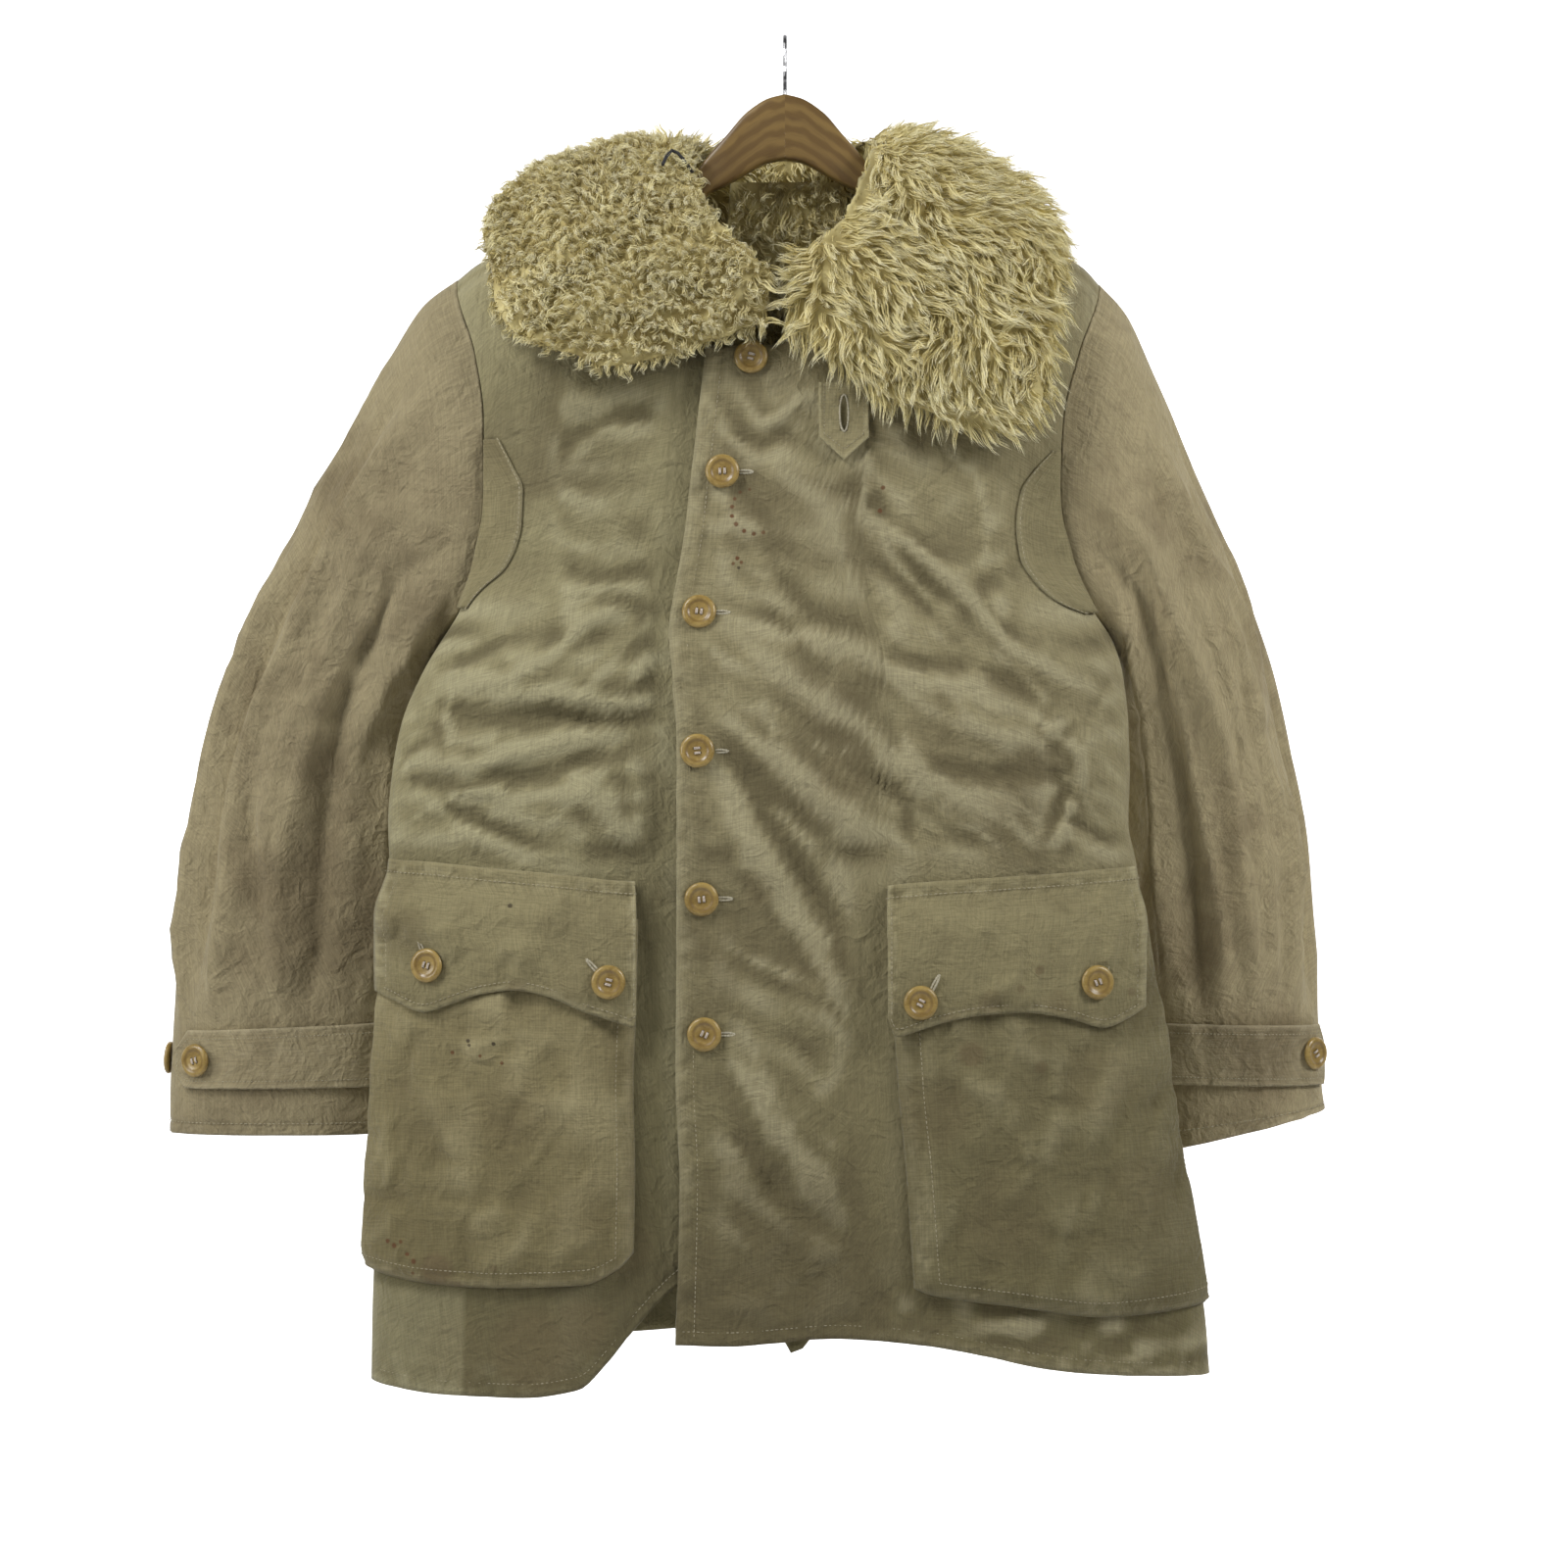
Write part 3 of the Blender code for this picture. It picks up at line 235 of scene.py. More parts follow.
def setStudio():
    s = studio
    profile = [(-6.0, s["floorHeight"])]
    for k in range(13):
        turn = math.pi / 2 * k / 12
        profile.append((s["wallDistance"] - s["corner"] + s["corner"] * math.sin(turn),
                        s["floorHeight"] + s["corner"] * (1 - math.cos(turn))))
    profile.append((s["wallDistance"], 4.5))
    points = [(x, y, z) for y, z in profile for x in (-s["halfWidth"], s["halfWidth"])]
    faces = [(2 * i, 2 * i + 1, 2 * i + 3, 2 * i + 2) for i in range(len(profile) - 1)]
    mesh = bpy.data.meshes.new("paleFloor")
    mesh.from_pydata(points, [], faces)
    mesh.shade_smooth()
    paint, n = newMaterial("pale floor", {"Base Color": (*s["paleness"], 1.0), "Roughness": 0.95,
                                          "Emission Color": (1.0, 1.0, 1.0, 1.0)})
    # only the far part glows, so that no light comes up from the floor at the coat
    n.put(n.shader, "Emission Strength", n.ramp(n.split(n.place())[1], *s["glowFrom"], 0.0, s["glow"], "LINEAR"))
    mesh.materials.append(paint)
    newObject("paleFloor", mesh)
    for name, (place, size, power, aim) in s["lights"].items():
        data = bpy.data.lights.new(name, "AREA")
        data.size = size
        data.energy = power
        lamp = newObject(name, data)
        lamp.location = place
        lamp.rotation_mode = "QUATERNION"
        lamp.rotation_quaternion = (Vector(aim) - Vector(place)).to_track_quat("-Z", "Y")
    world = bpy.data.worlds.new("soft daylight")
    world.use_nodes = True
    world.node_tree.nodes["Background"].inputs[0].default_value = (1.0, 1.0, 1.0, 1.0)
    world.node_tree.nodes["Background"].inputs[1].default_value = s["worldLight"]
    scene.world = world


setCamera()
setStudio()
print("camera and studio set")

# the pattern the coat is cut from (millimetres)

underarm = -448.0
frontNeck = -238.0
hemLevel = -980.0
neckHalf, neckBend, backNeckDrop = 84.0, 76.0, 26.0
shoulderTurn, shoulderRound, sectionPower = 38.0, 12.0, 2.6

# height, right side x, left side x, front depth, back depth, front and back depth at the armhole, side seam y
bodyTable = (
    (-1018, -310, 319, 58, 52, 0, 0, -14), (-954, -309, 314, 59, 53, 0, 0, -14), (-924, -308, 307, 60, 54, 0, 0, -14),
    (-850, -306, 294, 61, 55, 0, 0, -14), (-784, -303, 284, 61, 56, 0, 0, -13), (-717, -296, 275, 61, 57, 0, 0, -13),
    (-665, -294, 269, 60, 58, 0, 0, -12), (-621, -296, 263, 60, 58, 0, 0, -15), (-591, -297, 257, 61, 59, 0, 0, -16),
    (-554, -294, 258, 62, 60, 0, 0, -16), (-517, -287, 257, 60, 62, 0, 0, -16), (-480, -272, 253, 60, 63, 0, 0, -14),
    (-455, -258, 246, 61, 63, 0, 0, -9), (-430, -242, 229, 62, 61, 18, 21, -3), (-390, -230, 213, 62, 60, 25, 31, 0),
    (-340, -224, 205, 60, 59, 30, 37, 0), (-290, -224, 207, 57, 57, 35, 40, 0), (-240, -231, 219, 54, 54, 36, 38, 0),
    (-190, -246, 236, 50, 51, 33, 34, 0), (-150, -248, 239, 47, 49, 30, 31, 0), (-100, -248, 239, 45, 47, 28, 29, 0),
)
shoulderTable = ((-248, -183), (-230, -169), (-200, -156), (-150, -140), (-84, -121), (0, -112),
                 (84, -121), (150, -141), (200, -159), (224, -172), (239, -188))
overEdgeTable = ((-980, -80), (-848, -77), (-777, -80), (-635, -79), (-540, -79), (-485, -82), (-449, -85),
                 (-413, -80), (-378, -74), (-342, -70), (-298, -65), (-230, -58), (-100, -50))
overHemTable = ((-90, -972), (-44, -974), (0, -971), (35, -968), (71, -970), (107, -974), (144, -981),
                (188, -991), (225, -996), (318, -1002))
underHemTable = ((-311, -1006), (-254, -1012), (-195, -1013), (-152, -1007), (-131, -988), (-109, -960),
                 (-80, -930), (-45, -905), (-20, -895))
backHemTable = ((-312, -1006), (-200, -995), (-110, -981), (-40, -978), (-6, -981), (8, -1001), (22, -983),
                (60, -982), (150, -990), (250, -1000), (320, -1001))
underlap = 46.0

# outer x, outer height, inner x, inner height, half depth, y of the middle
rightSleeveTable = (
    (-248, -183, -255, -448, 40, 0), (-272, -200, -260, -455, 45, 4), (-302, -246, -264, -465, 48, 10),
    (-335, -308, -269, -477, 49, 18), (-369, -372, -274, -492, 48, 28), (-401, -431, -279, -506, 46, 36),
    (-428, -493, -284, -529, 43, 42), (-447, -556, -288, -568, 41, 46), (-459, -627, -291, -624, 40, 48),
    (-467, -699, -293, -691, 39, 49), (-471, -756, -295, -749, 37, 49), (-473, -801, -297, -800, 36, 49),
    (-473, -829, -298, -829, 36, 49),
)
leftSleeveTable = (
    (239, -188, 247, -448, 40, 0), (258, -208, 250, -455, 45, 4), (281, -256, 251, -465, 48, 11),
    (309, -318, 252, -477, 50, 21), (336, -376, 253, -492, 50, 31), (359, -431, 254, -508, 49, 40),
    (378, -491, 256, -531, 47, 48), (392, -556, 260, -570, 45, 53), (403, -623, 264, -627, 43, 56),
    (408, -693, 268, -693, 41, 57), (412, -752, 272, -750, 40, 58), (415, -798, 276, -800, 39, 58),
    (417, -812, 278, -846, 39, 58),
)
armholeGap, sleeveSettle, lastRing = 0.6, 2.5, 12.0
sleeveLong, sleevePower, girthOfDegree, sleeveGrid = 640.0, 2.2, 1.25, (150, 105)


def through(rows, column=1):
    # a smooth curve through a table, read by its first column
    rows = sorted(rows)
    at = np.array([row[0] for row in rows], float)
    value = np.array([row[column] for row in rows], float)
    slope = np.diff(value) / np.diff(at)
    tangent = np.concatenate([slope[:1], np.zeros(len(at) - 2), slope[-1:]])
    for i in range(1, len(at) - 1):
        if slope[i - 1] * slope[i] > 0:
            tangent[i] = 2.0 * slope[i - 1] * slope[i] / (slope[i - 1] + slope[i])

    def read(x):
        x = np.clip(np.asarray(x, float), at[0], at[-1])
        i = np.clip(np.searchsorted(at, x) - 1, 0, len(at) - 2)
        width = at[i + 1] - at[i]
        t = (x - at[i]) / width
        return ((1 + 2 * t) * (1 - t) ** 2 * value[i] + t * (1 - t) ** 2 * width * tangent[i]
                + t * t * (3 - 2 * t) * value[i + 1] + t * t * (t - 1) * width * tangent[i + 1])

    return read


rightSide, leftSide, frontDepth, backDepth, frontEdgeDepth, backEdgeDepth, sideSeam = (
    through(bodyTable, column) for column in range(1, 8))
shoulder = through(shoulderTable)
overEdge, overHem = through(overEdgeTable), through(overHemTable)
underHem, backHem = through(underHemTable), through(backHemTable)


def underEdge(z):
    return overEdge(z) + underlap


def sideOf(x, z):
    return np.where(np.asarray(x) >= 0, leftSide(z), rightSide(z))


def acrossDepth(x, z, middle, edge):
    across = np.minimum(1.0, np.abs(x / sideOf(x, z)))
    setIn = smoothStep((z - underarm) / 60.0)
    power = (1.0 - setIn) / sectionPower + setIn * 0.75
    return edge + (middle - edge) * (1.0 - across ** sectionPower) ** power


def shoulderRun(fall):
    return np.sqrt((np.maximum(0.0, fall) + shoulderRound) ** 2 - shoulderRound ** 2)


def bodyDepth(x, z, middle, edge):
    turn = 1.0 - np.exp(-shoulderRun(shoulder(x) - z) / shoulderTurn)
    return acrossDepth(x, z, middle, edge) * turn


def frontY(x, z):
    return sideSeam(z) - bodyDepth(x, z, frontDepth(z), frontEdgeDepth(z))


def backY(x, z):
    return sideSeam(z) + bodyDepth(x, z, backDepth(z), backEdgeDepth(z))


def seamGap(x, across):
    corner = bell(np.abs(x) - neckHalf, 16.0)
    return 0.45 * np.abs(across) + 0.3 + 0.9 * corner


# folds, creases and rumples

def softNoise(u, v, seed):
    # smooth noise from -1 to 1, one bump for each unit of u and v
    grid = np.random.RandomState(seed).rand(64, 64) * 2.0 - 1.0
    u0, v0 = np.floor(u).astype(int), np.floor(v).astype(int)
    fu, fv = smoothStep(u - u0), smoothStep(v - v0)
    n = grid.shape[0]
    a, b = grid[u0 % n, v0 % n], grid[(u0 + 1) % n, v0 % n]
    c, d = grid[u0 % n, (v0 + 1) % n], grid[(u0 + 1) % n, (v0 + 1) % n]
    return (a * (1 - fu) + b * fu) * (1 - fv) + (c * (1 - fu) + d * fu) * fv


def rumple(u, v, lean, stretch, sizes, seed):
    # wrinkles that run along the lean (degrees), longer than they are wide; sizes: width, height
    turn = math.radians(lean)
    along = u * math.cos(turn) + v * math.sin(turn)
    over = -u * math.sin(turn) + v * math.cos(turn)
    total = np.zeros_like(np.asarray(u, float))
    for i, (width, height) in enumerate(sizes):
        bend = softNoise(along / (width * 3.0), over / (width * 3.0), seed + 31 * i) * width * 0.8
        n = softNoise(along / (width * stretch), (over + bend) / width, seed + 17 * i)
        # sharp along its crests, as pressed and crumpled canvas is
        total = total + height * (1.0 - 2.6 * np.abs(n))
    return total


def creaseRise(creases, u, v):
    # creases: half width, rise, then the points that the fold runs through; each is steeper on its right hand
    u, v = np.broadcast_arrays(np.asarray(u, float), np.asarray(v, float))
    total = np.zeros(u.size)
    allU, allV = u.ravel(), v.ravel()
    for width, rise, *path in creases:
        reach = width * 4.0
        us, vs = [p[0] for p in path], [p[1] for p in path]
        near = np.nonzero((allU > min(us) - reach) & (allU < max(us) + reach)
                          & (allV > min(vs) - reach) & (allV < max(vs) + reach))[0]
        if not len(near):
            continue
        pu, pv = allU[near], allV[near]
        best = np.full(len(near), 1e9)
        share, side = np.zeros(len(near)), np.zeros(len(near))
        lengths = [math.hypot(b[0] - a[0], b[1] - a[1]) for a, b in zip(path, path[1:])]
        done, whole = 0.0, sum(lengths)
        for (a, b), long in zip(zip(path, path[1:]), lengths):
            t = limited(((pu - a[0]) * (b[0] - a[0]) + (pv - a[1]) * (b[1] - a[1])) / long ** 2)
            away = np.hypot(pu - a[0] - t * (b[0] - a[0]), pv - a[1] - t * (b[1] - a[1]))
            closer = away < best
            best = np.where(closer, away, best)
            side = np.where(closer, (b[0] - a[0]) * (pv - a[1]) - (b[1] - a[1]) * (pu - a[0]), side)
            share = np.where(closer, (done + t * long) / whole, share)
            done += long
        uneven = 0.85 + 0.35 * softNoise(share * 6.0 + width, share * 0.0 + rise, 9)
        fade = np.sin(np.pi * np.clip(share, 0.02, 0.98)) ** 0.5 * uneven
        wide = width * (0.65 + 0.4 * share) * np.where(side > 0, 1.25, 0.65)
        total[near] += rise * fade * np.exp(-(best / wide) ** 1.15)
    return total.reshape(u.shape)


def strewn(seed, count, low, high, lean, longest, widths, rises):
    # small creases strewn over a piece of cloth, all near one lean (degrees)
    rng = random.Random(seed)
    creases = []
    for _ in range(count):
        u, v = rng.uniform(low[0], high[0]), rng.uniform(low[1], high[1])
        turn = math.radians(lean + rng.gauss(0.0, 16.0))
        long = longest * rng.uniform(0.35, 1.0)
        bend = rng.uniform(-0.18, 0.18) * long
        path = [(u + long * t * math.cos(turn) - bend * (1 - 4 * t * t) * math.sin(turn),
                 v + long * t * math.sin(turn) + bend * (1 - 4 * t * t) * math.cos(turn))
                for t in (-0.5, -0.17, 0.17, 0.5)]
        creases.append((rng.uniform(*widths), rng.choice((1.0, -1.0)) * rng.uniform(*rises), *path))
    return tuple(creases)


# The wearer's left front, which lies over the other (right in the picture).
overCreases = (
    (15, 9, (-50, -514), (-31, -526), (-11, -541), (18, -568), (40, -588), (60, -640)),
    (14, 9, (-46, -560), (-36, -590), (-21, -617), (-6, -637), (18, -678), (51, -739), (66, -806), (80, -905)),
    (13, -8, (-36, -548), (-20, -580), (4, -615), (30, -660), (58, -720)),
    (14, 8, (-58, -730), (-40, -765), (-14, -805), (26, -859), (71, -910)),
    (11, -7, (-50, -800), (-30, -830), (0, -868), (40, -905)),
    (10, -6, (30, -720), (54, -748), (66, -774), (76, -812)),
    (7, 8, (20, -925), (26, -898), (18, -915)),
    (7, 7, (26, -898), (50, -920), (73, -939)),
    (9, -5, (0, -905), (14, -925), (12, -948)),
    (16, 8, (60, -352), (73, -367), (109, -401), (139, -430), (170, -466), (202, -482), (236, -500)),
    (16, -6, (36, -466), (95, -474), (150, -478), (190, -504)),
    (13, 6, (-40, -440), (0, -452), (60, -470), (120, -495)),
    (15, -5, (70, -400), (104, -432), (130, -462)),
    (9, 7, (186, -518), (200, -526), (216, -539), (219, -565)),
    (9, 6, (211, -570), (204, -595), (194, -623)),
    (10, -6, (196, -546), (204, -566), (196, -600)),
    (10, 4, (118, -516), (160, -530), (206, -536)),
    (11, -4, (100, -548), (150, -556), (200, -556)),
    (5, 5, (60, -318), (57, -345), (56, -376)),
    (6, 5, (-30, -300), (-4, -295), (10, -281), (28, -278)),
    (9, -4, (-50, -300), (-20, -312), (10, -306)),
    (10, 4, (-66, -380), (-40, -372), (0, -378)),
    (12, -4, (-10, -400), (20, -440), (60, -452)),
    (10, 4, (86, -520), (96, -560), (98, -610)),
    (9, 3, (140, -330), (150, -370), (146, -410)),
)

# The wearer's right front (left in the picture), with its drags towards the buttons.
underCreases = (
    (13, 9, (-279, -468), (-234, -447), (-201, -423), (-176, -410)),
    (13, 9, (-240, -492), (-202, -486), (-172, -469), (-144, -443), (-112, -432)),
    (9, 8, (-214, -500), (-172, -498), (-129, -505), (-90, -500)),
    (8, -8, (-216, -514), (-172, -512), (-129, -518), (-92, -512)),
    (12, 9, (-276, -547), (-231, -550), (-195, -541), (-165, -531), (-118, -524)),
    (9, -7, (-270, -562), (-231, -566), (-190, -558), (-150, -548), (-120, -540)),
    (10, 7, (-258, -580), (-231, -566), (-200, -568)),
    (9, -9, (-252, -577), (-228, -590), (-202, -601), (-156, -624)),
    (10, 5, (-242, -592), (-214, -608), (-170, -632)),
    (5, 5, (-246, -496), (-250, -515), (-248, -536)),
    (8, 6, (-116, -490), (-98, -474), (-86, -462)),
    (9, -6, (-128, -296), (-95, -288), (-66, -276)),
    (11, -5, (-262, -480), (-228, -468), (-196, -450)),
    (10, -5, (-214, -530), (-170, -520), (-130, -516)),
    (12, 5, (-150, -560), (-126, -590), (-106, -620)),
    (9, 6, (-128, -670), (-118, -720), (-104, -780)),
    (8, -6, (-120, -690), (-110, -740), (-100, -800)),
    (9, 6, (-116, -800), (-104, -850), (-96, -880)),
    (9, 4, (-206, -330), (-176, -350), (-130, -356)),
    (13, 4, (-214, -390), (-170, -384), (-120, -396)),
)

backCreases = (
    (30, 6, (-150, -300), (-118, -390), (-92, -505), (-84, -600)), (26, 5, (152, -330), (120, -440), (96, -520)),
    (28, -5, (-225, -450), (-186, -540), (-150, -610), (-138, -700)), (24, -5, (215, -480), (176, -590), (150, -700)),
    (34, 6, (-50, -590), (-74, -720), (-66, -850), (-82, -960)),
    (30, 5, (74, -560), (60, -680), (88, -810), (84, -950)),
    (30, -5, (-6, -420), (14, -600), (-4, -780), (20, -930)), (26, 5, (-214, -700), (-190, -820), (-196, -980)),
    (30, 6, (196, -640), (214, -760), (186, -880), (192, -980)), (16, 4, (-236, -512), (-170, -536), (-92, -530)),
    (15, -4, (228, -536), (170, -560), (110, -552)), (13, 3.5, (-120, -654), (-60, -668), (4, -650)),
    (14, 3.5, (-40, -742), (30, -752), (96, -724)), (18, 4, (-60, -330), (10, -372), (90, -350)),
)

# where the folds fade out, under what lies on the fronts
pocketTop = -600.0
# how far in the edges and hems are stitched, and what that does to the cloth
sewing = {"edgeIn": 13.0, "hemIn": 10.0, "puckerReach": 7.0, "drawnIn": 0.8}


def foldRoom(x, z, across, inner):
    room = smoothStep((1.0 - across) * 5.0)
    low = 1.0 - smoothStep((pocketTop - z) / 14.0) * smoothStep((np.abs(x) - abs(inner) + 46.0) / 20.0)
    high = 1.0 - smoothStep((z + 462.0) / 14.0) * smoothStep((np.abs(x) - 158.0) / 14.0)
    room = room * smoothStep((-240.0 - z) / 40.0)
    return room * np.where(z < pocketTop, low, 1.0) * np.where(z > -476.0, high, 1.0)


def puckered(away, along, height, pitch, seed):
    # the small puckers between a stitched line and the cloth's edge
    wave = softNoise(along / pitch, away * 0.0 + 0.5, seed)
    wave = wave + 0.5 * softNoise(along / (pitch * 0.45), away / 9.0, seed + 3)
    return height * wave * bell(away, sewing["puckerReach"])


def drawnIn(away, inset):
    # a stitched line draws the cloth in
    return -sewing["drawnIn"] * bell(away - inset, 2.2)


def onCloth(x, y, z):
    return np.stack([x, y, z + 0.0 * x], axis=-1)


def overBase(across, z):
    edge = overEdge(z)
    x = edge + (leftSide(z) - edge) * np.sin(across * math.pi / 2)
    return onCloth(x, frontY(x, z) - seamGap(x, across), z)


def underBase(across, z):
    edge = underEdge(z)
    x = edge + (rightSide(z) - edge) * np.sin(across * math.pi / 2)
    recess = 9.0 * smoothStep((x + 165.0) / 70.0) * smoothStep((-178.0 - z) / 55.0)
    return onCloth(x, frontY(x, z) + recess - seamGap(x, across), z)


def backBase(across, z):
    x = np.abs(sideOf(across, z)) * np.sin(across * math.pi / 2)
    return onCloth(x, backY(x, z) + seamGap(x, across), z)


overSmall = strewn(11, 46, (-60, -960), (250, -260), -48.0, 95.0, (6.0, 10.0), (1.4, 3.6))
underSmall = strewn(12, 40, (-290, -640), (-95, -260), 12.0, 80.0, (6.0, 10.0), (1.4, 3.6)) + \
    strewn(14, 14, (-140, -960), (-85, -640), 88.0, 80.0, (6.0, 9.0), (1.4, 3.2))
backSmall = strewn(13, 60, (-290, -960), (290, -220), 70.0, 120.0, (7.0, 11.0), (1.5, 3.5))


def overFront(across, z):
    p = overBase(across, z)
    x = p[..., 0]
    room = foldRoom(x, z, across, 76.0)
    keep = smoothStep((x + 75.0) / 60.0)
    rise = creaseRise(overCreases + overSmall, x, z)
    rise = np.maximum(rise, 0.0) * (0.3 + 0.7 * keep) + np.minimum(rise, 0.0) * keep
    rise = rise + rumple(x, z, -42.0, 2.6, ((46.0, 1.5), (22.0, 0.8), (12.0, 0.3)), 5)
    edgeAway, hemAway = x - overEdge(z), z - overHem(x)
    rise = rise * room * (0.25 + 0.75 * smoothStep(edgeAway / 40.0))
    rise = rise + puckered(np.abs(edgeAway - 6.0), z, 1.7, 13.0, 41) * smoothStep((-255.0 - z) / 20.0)
    rise = rise + puckered(np.abs(hemAway - 5.0), x, 1.8, 12.0, 43)
    # its free edge stands off the under front a little, unevenly
    lift = bell(edgeAway, 12.0) * smoothStep((-330.0 - z) / 60.0)
    rise = rise + lift * (1.6 + 1.5 * softNoise(z / 60.0, z * 0.0, 45))
    # and the hem is rumpled
    rise = rise + bell(hemAway - 26.0, 22.0) * 3.2 * np.clip(softNoise(x / 22.0, z / 16.0, 53), -0.5, 1.0)
    p[..., 1] -= rise + drawnIn(edgeAway, sewing["edgeIn"]) + drawnIn(hemAway, sewing["hemIn"])
    return p


def underFront(across, z):
    p = underBase(across, z)
    x = p[..., 0]
    room = foldRoom(x, z, across, 108.0) * (1.0 - smoothStep((x + 110.0) / 20.0))
    rise = creaseRise(underCreases + underSmall, x, z)
    rise = rise + rumple(x, z, 14.0, 2.8, ((44.0, 1.5), (22.0, 0.8), (12.0, 0.3)), 15)
    hemAway = z - underHem(x)
    p[..., 1] -= rise * room + puckered(np.abs(hemAway - 5.0), x, 1.8, 12.0, 47) + drawnIn(hemAway, sewing["hemIn"])
    return p


def backCloth(across, z):
    p = backBase(across, z)
    x = p[..., 0]
    rise = creaseRise(backCreases + backSmall, x, z) + rumple(x, z, 75.0, 2.8, ((60.0, 1.5), (26.0, 0.7)), 25)
    rise = rise * smoothStep((1.0 - np.abs(across)) * 5.0) * smoothStep((shoulder(x) - z - 10.0) / 60.0)
    hemAway = z - backHem(x)
    p[..., 1] += rise + puckered(np.abs(hemAway - 5.0), x, 1.0, 12.0, 49) + drawnIn(hemAway, sewing["hemIn"])
    return p


def acrossAt(edge, side, x, z):
    share = (x - edge(z)) / (side(z) - edge(z))
    return 2.0 / math.pi * np.arcsin(limited(share))


def movedOut(surface, across, z, out, turn):
    # points of a surface moved out along its normal; turn is 1 or -1, for which way round it runs
    across, z = np.broadcast_arrays(np.asarray(across, float), np.asarray(z, float))
    a = surface(np.minimum(1.0, across + 0.004), z) - surface(across - 0.004, z)
    b = surface(across, z + 2.0) - surface(across, z - 2.0)
    return surface(across, z) + unit(np.cross(a, b)) * turn * np.asarray(out, float)[..., None]


# each front without its folds: its surface, free edge, side seam, and which way round it runs
overCloth = (overBase, overEdge, leftSide, 1)
underCloth = (underBase, underEdge, rightSide, -1)


def laidOn(cloth, x, z, out):
    # points that lie a given height above a front
    surface, edge, side, turn = cloth
    return movedOut(surface, acrossAt(edge, side, x, z), z, out, turn)


# materials: linear colours of the cloth where the light falls; thread in millimetres, weaveDepth in metres
canvasLook = {
    "pale": (0.42, 0.375, 0.225),
    "main": (0.305, 0.265, 0.141),
    "soiled": (0.19, 0.157, 0.080),
    "dirtAndShade": (0.135, 0.110, 0.052),
    "hemShadeAndDirt": (0.175, 0.150, 0.068),
    "rough": 0.88,
    "thread": 0.9,
    "weaveDepth": 0.00012,
}
stainLook = {
    "rust": (0.13, 0.045, 0.015),
    "dark": (0.05, 0.035, 0.02),
    "brown": (0.17, 0.125, 0.06),
}


def canvasMaterial(name, tint=(1.0, 1.0, 1.0), spots=(), hemShadeAndDirt=0.9):
    # spots: x, z, radius, kind, strength (millimetres)
    c = canvasLook
    material, n = newMaterial(name, {"Roughness": c["rough"], "Sheen Weight": 0.12, "Sheen Roughness": 0.6,
                                     "Specular IOR Level": 0.25})
    place, cut = n.place(), n.flat("cut")
    broad = n.noise(place, 7.0, 5.0, 0.6)
    blotch = n.noise(place, 38.0, 4.0, 0.62, 0.4)
    slubWarp = n.noise(n.stretched(cut, (900.0, 45.0, 1.0)), 1.0, 2.0)
    slubWeft = n.noise(n.stretched(cut, (45.0, 900.0, 1.0)), 1.0, 2.0)
    colour = n.mix(n.ramp(broad, 0.34, 0.68), c["soiled"], c["main"])
    colour = n.mix(n.ramp(broad, 0.3, 0.52), colour, c["main"])
    colour = n.mix(n.maths("MULTIPLY", n.ramp(blotch, 0.5, 0.78), 0.5), colour, c["soiled"])
    # darker and greener towards the hem: partly dirt, partly painted shade of the light falling from above
    colour = n.mix(n.ramp(n.split(place)[2], -0.98, -0.5, hemShadeAndDirt, 0.0), colour, c["hemShadeAndDirt"])
    # paler where the cloth is worn and, on fold ridges, as painted highlight; darker with dirt and, in fold hollows,
    # below the collar and in the side seams' gap, as painted shade
    colour = n.mix(n.maths("MULTIPLY", n.mark("worn"), 0.75, True), colour, c["pale"])
    colour = n.mix(n.maths("MULTIPLY", n.mark("grimeAndShade"), 0.8, True), colour, c["dirtAndShade"])
    threads = n.maths("ADD", n.ramp(slubWarp, 0.3, 0.7, -0.10, 0.10), n.ramp(slubWeft, 0.3, 0.7, -0.10, 0.10))
    lift = n.maths("ADD", threads, 1.0)
    shade = n.add("ShaderNodeCombineColor")
    for channel in range(3):
        n.put(shade, channel, n.maths("MULTIPLY", lift, tint[channel]))
    colour = n.mix(1.0, colour, shade.outputs[0], "MULTIPLY")
    if spots:
        across, _, up = n.split(place)
        ragged = n.maths("MULTIPLY", n.maths("SUBTRACT", n.noise(place, 420.0, 2.0), 0.5), 0.004)
        for kind in ("brown", "rust", "dark"):
            total = None
            for x, z, radius, what, strength in spots:
                if what != kind:
                    continue
                dx, dz = n.maths("SUBTRACT", across, x * mm), n.maths("SUBTRACT", up, z * mm)
                away = n.maths("SQRT", n.maths("ADD", n.maths("MULTIPLY", dx, dx), n.maths("MULTIPLY", dz, dz)))
                away = n.maths("ADD", away, n.maths("MULTIPLY", ragged, min(1.0, radius / 6.0)))
                spot = n.ramp(away, radius * 0.6 * mm, radius * 1.25 * mm, strength, 0.0)
                total = spot if total is None else n.maths("MAXIMUM", total, spot)
            if total is not None:
                colour = n.mix(total, colour, stainLook[kind])
    # the weave: warp over weft, with uneven threads
    warp, weft = (n.bands(cut, way, 0.314 / (c["thread"] * mm), 0.6, 0.6) for way in "XY")
    threadHeight = n.maths("ADD", n.maths("MULTIPLY", warp, weft), n.maths("MULTIPLY", threads, 3.0))
    fine = n.bump(threadHeight, 0.5, c["weaveDepth"])
    # fine crumples, sharp along their crests
    crests, small = (n.maths("ABSOLUTE", n.maths("SUBTRACT", n.noise(place, *kind), 0.5))
                     for kind in ((48.0, 3.0, 0.5, 0.6), (130.0, 3.0, 0.55, 0.4)))
    height = n.maths("ADD", n.maths("MULTIPLY", crests, -1.0), n.maths("MULTIPLY", small, -0.4))
    n.cover(colour, n.bump(height, 0.7, 0.007, Normal=fine))
    return material


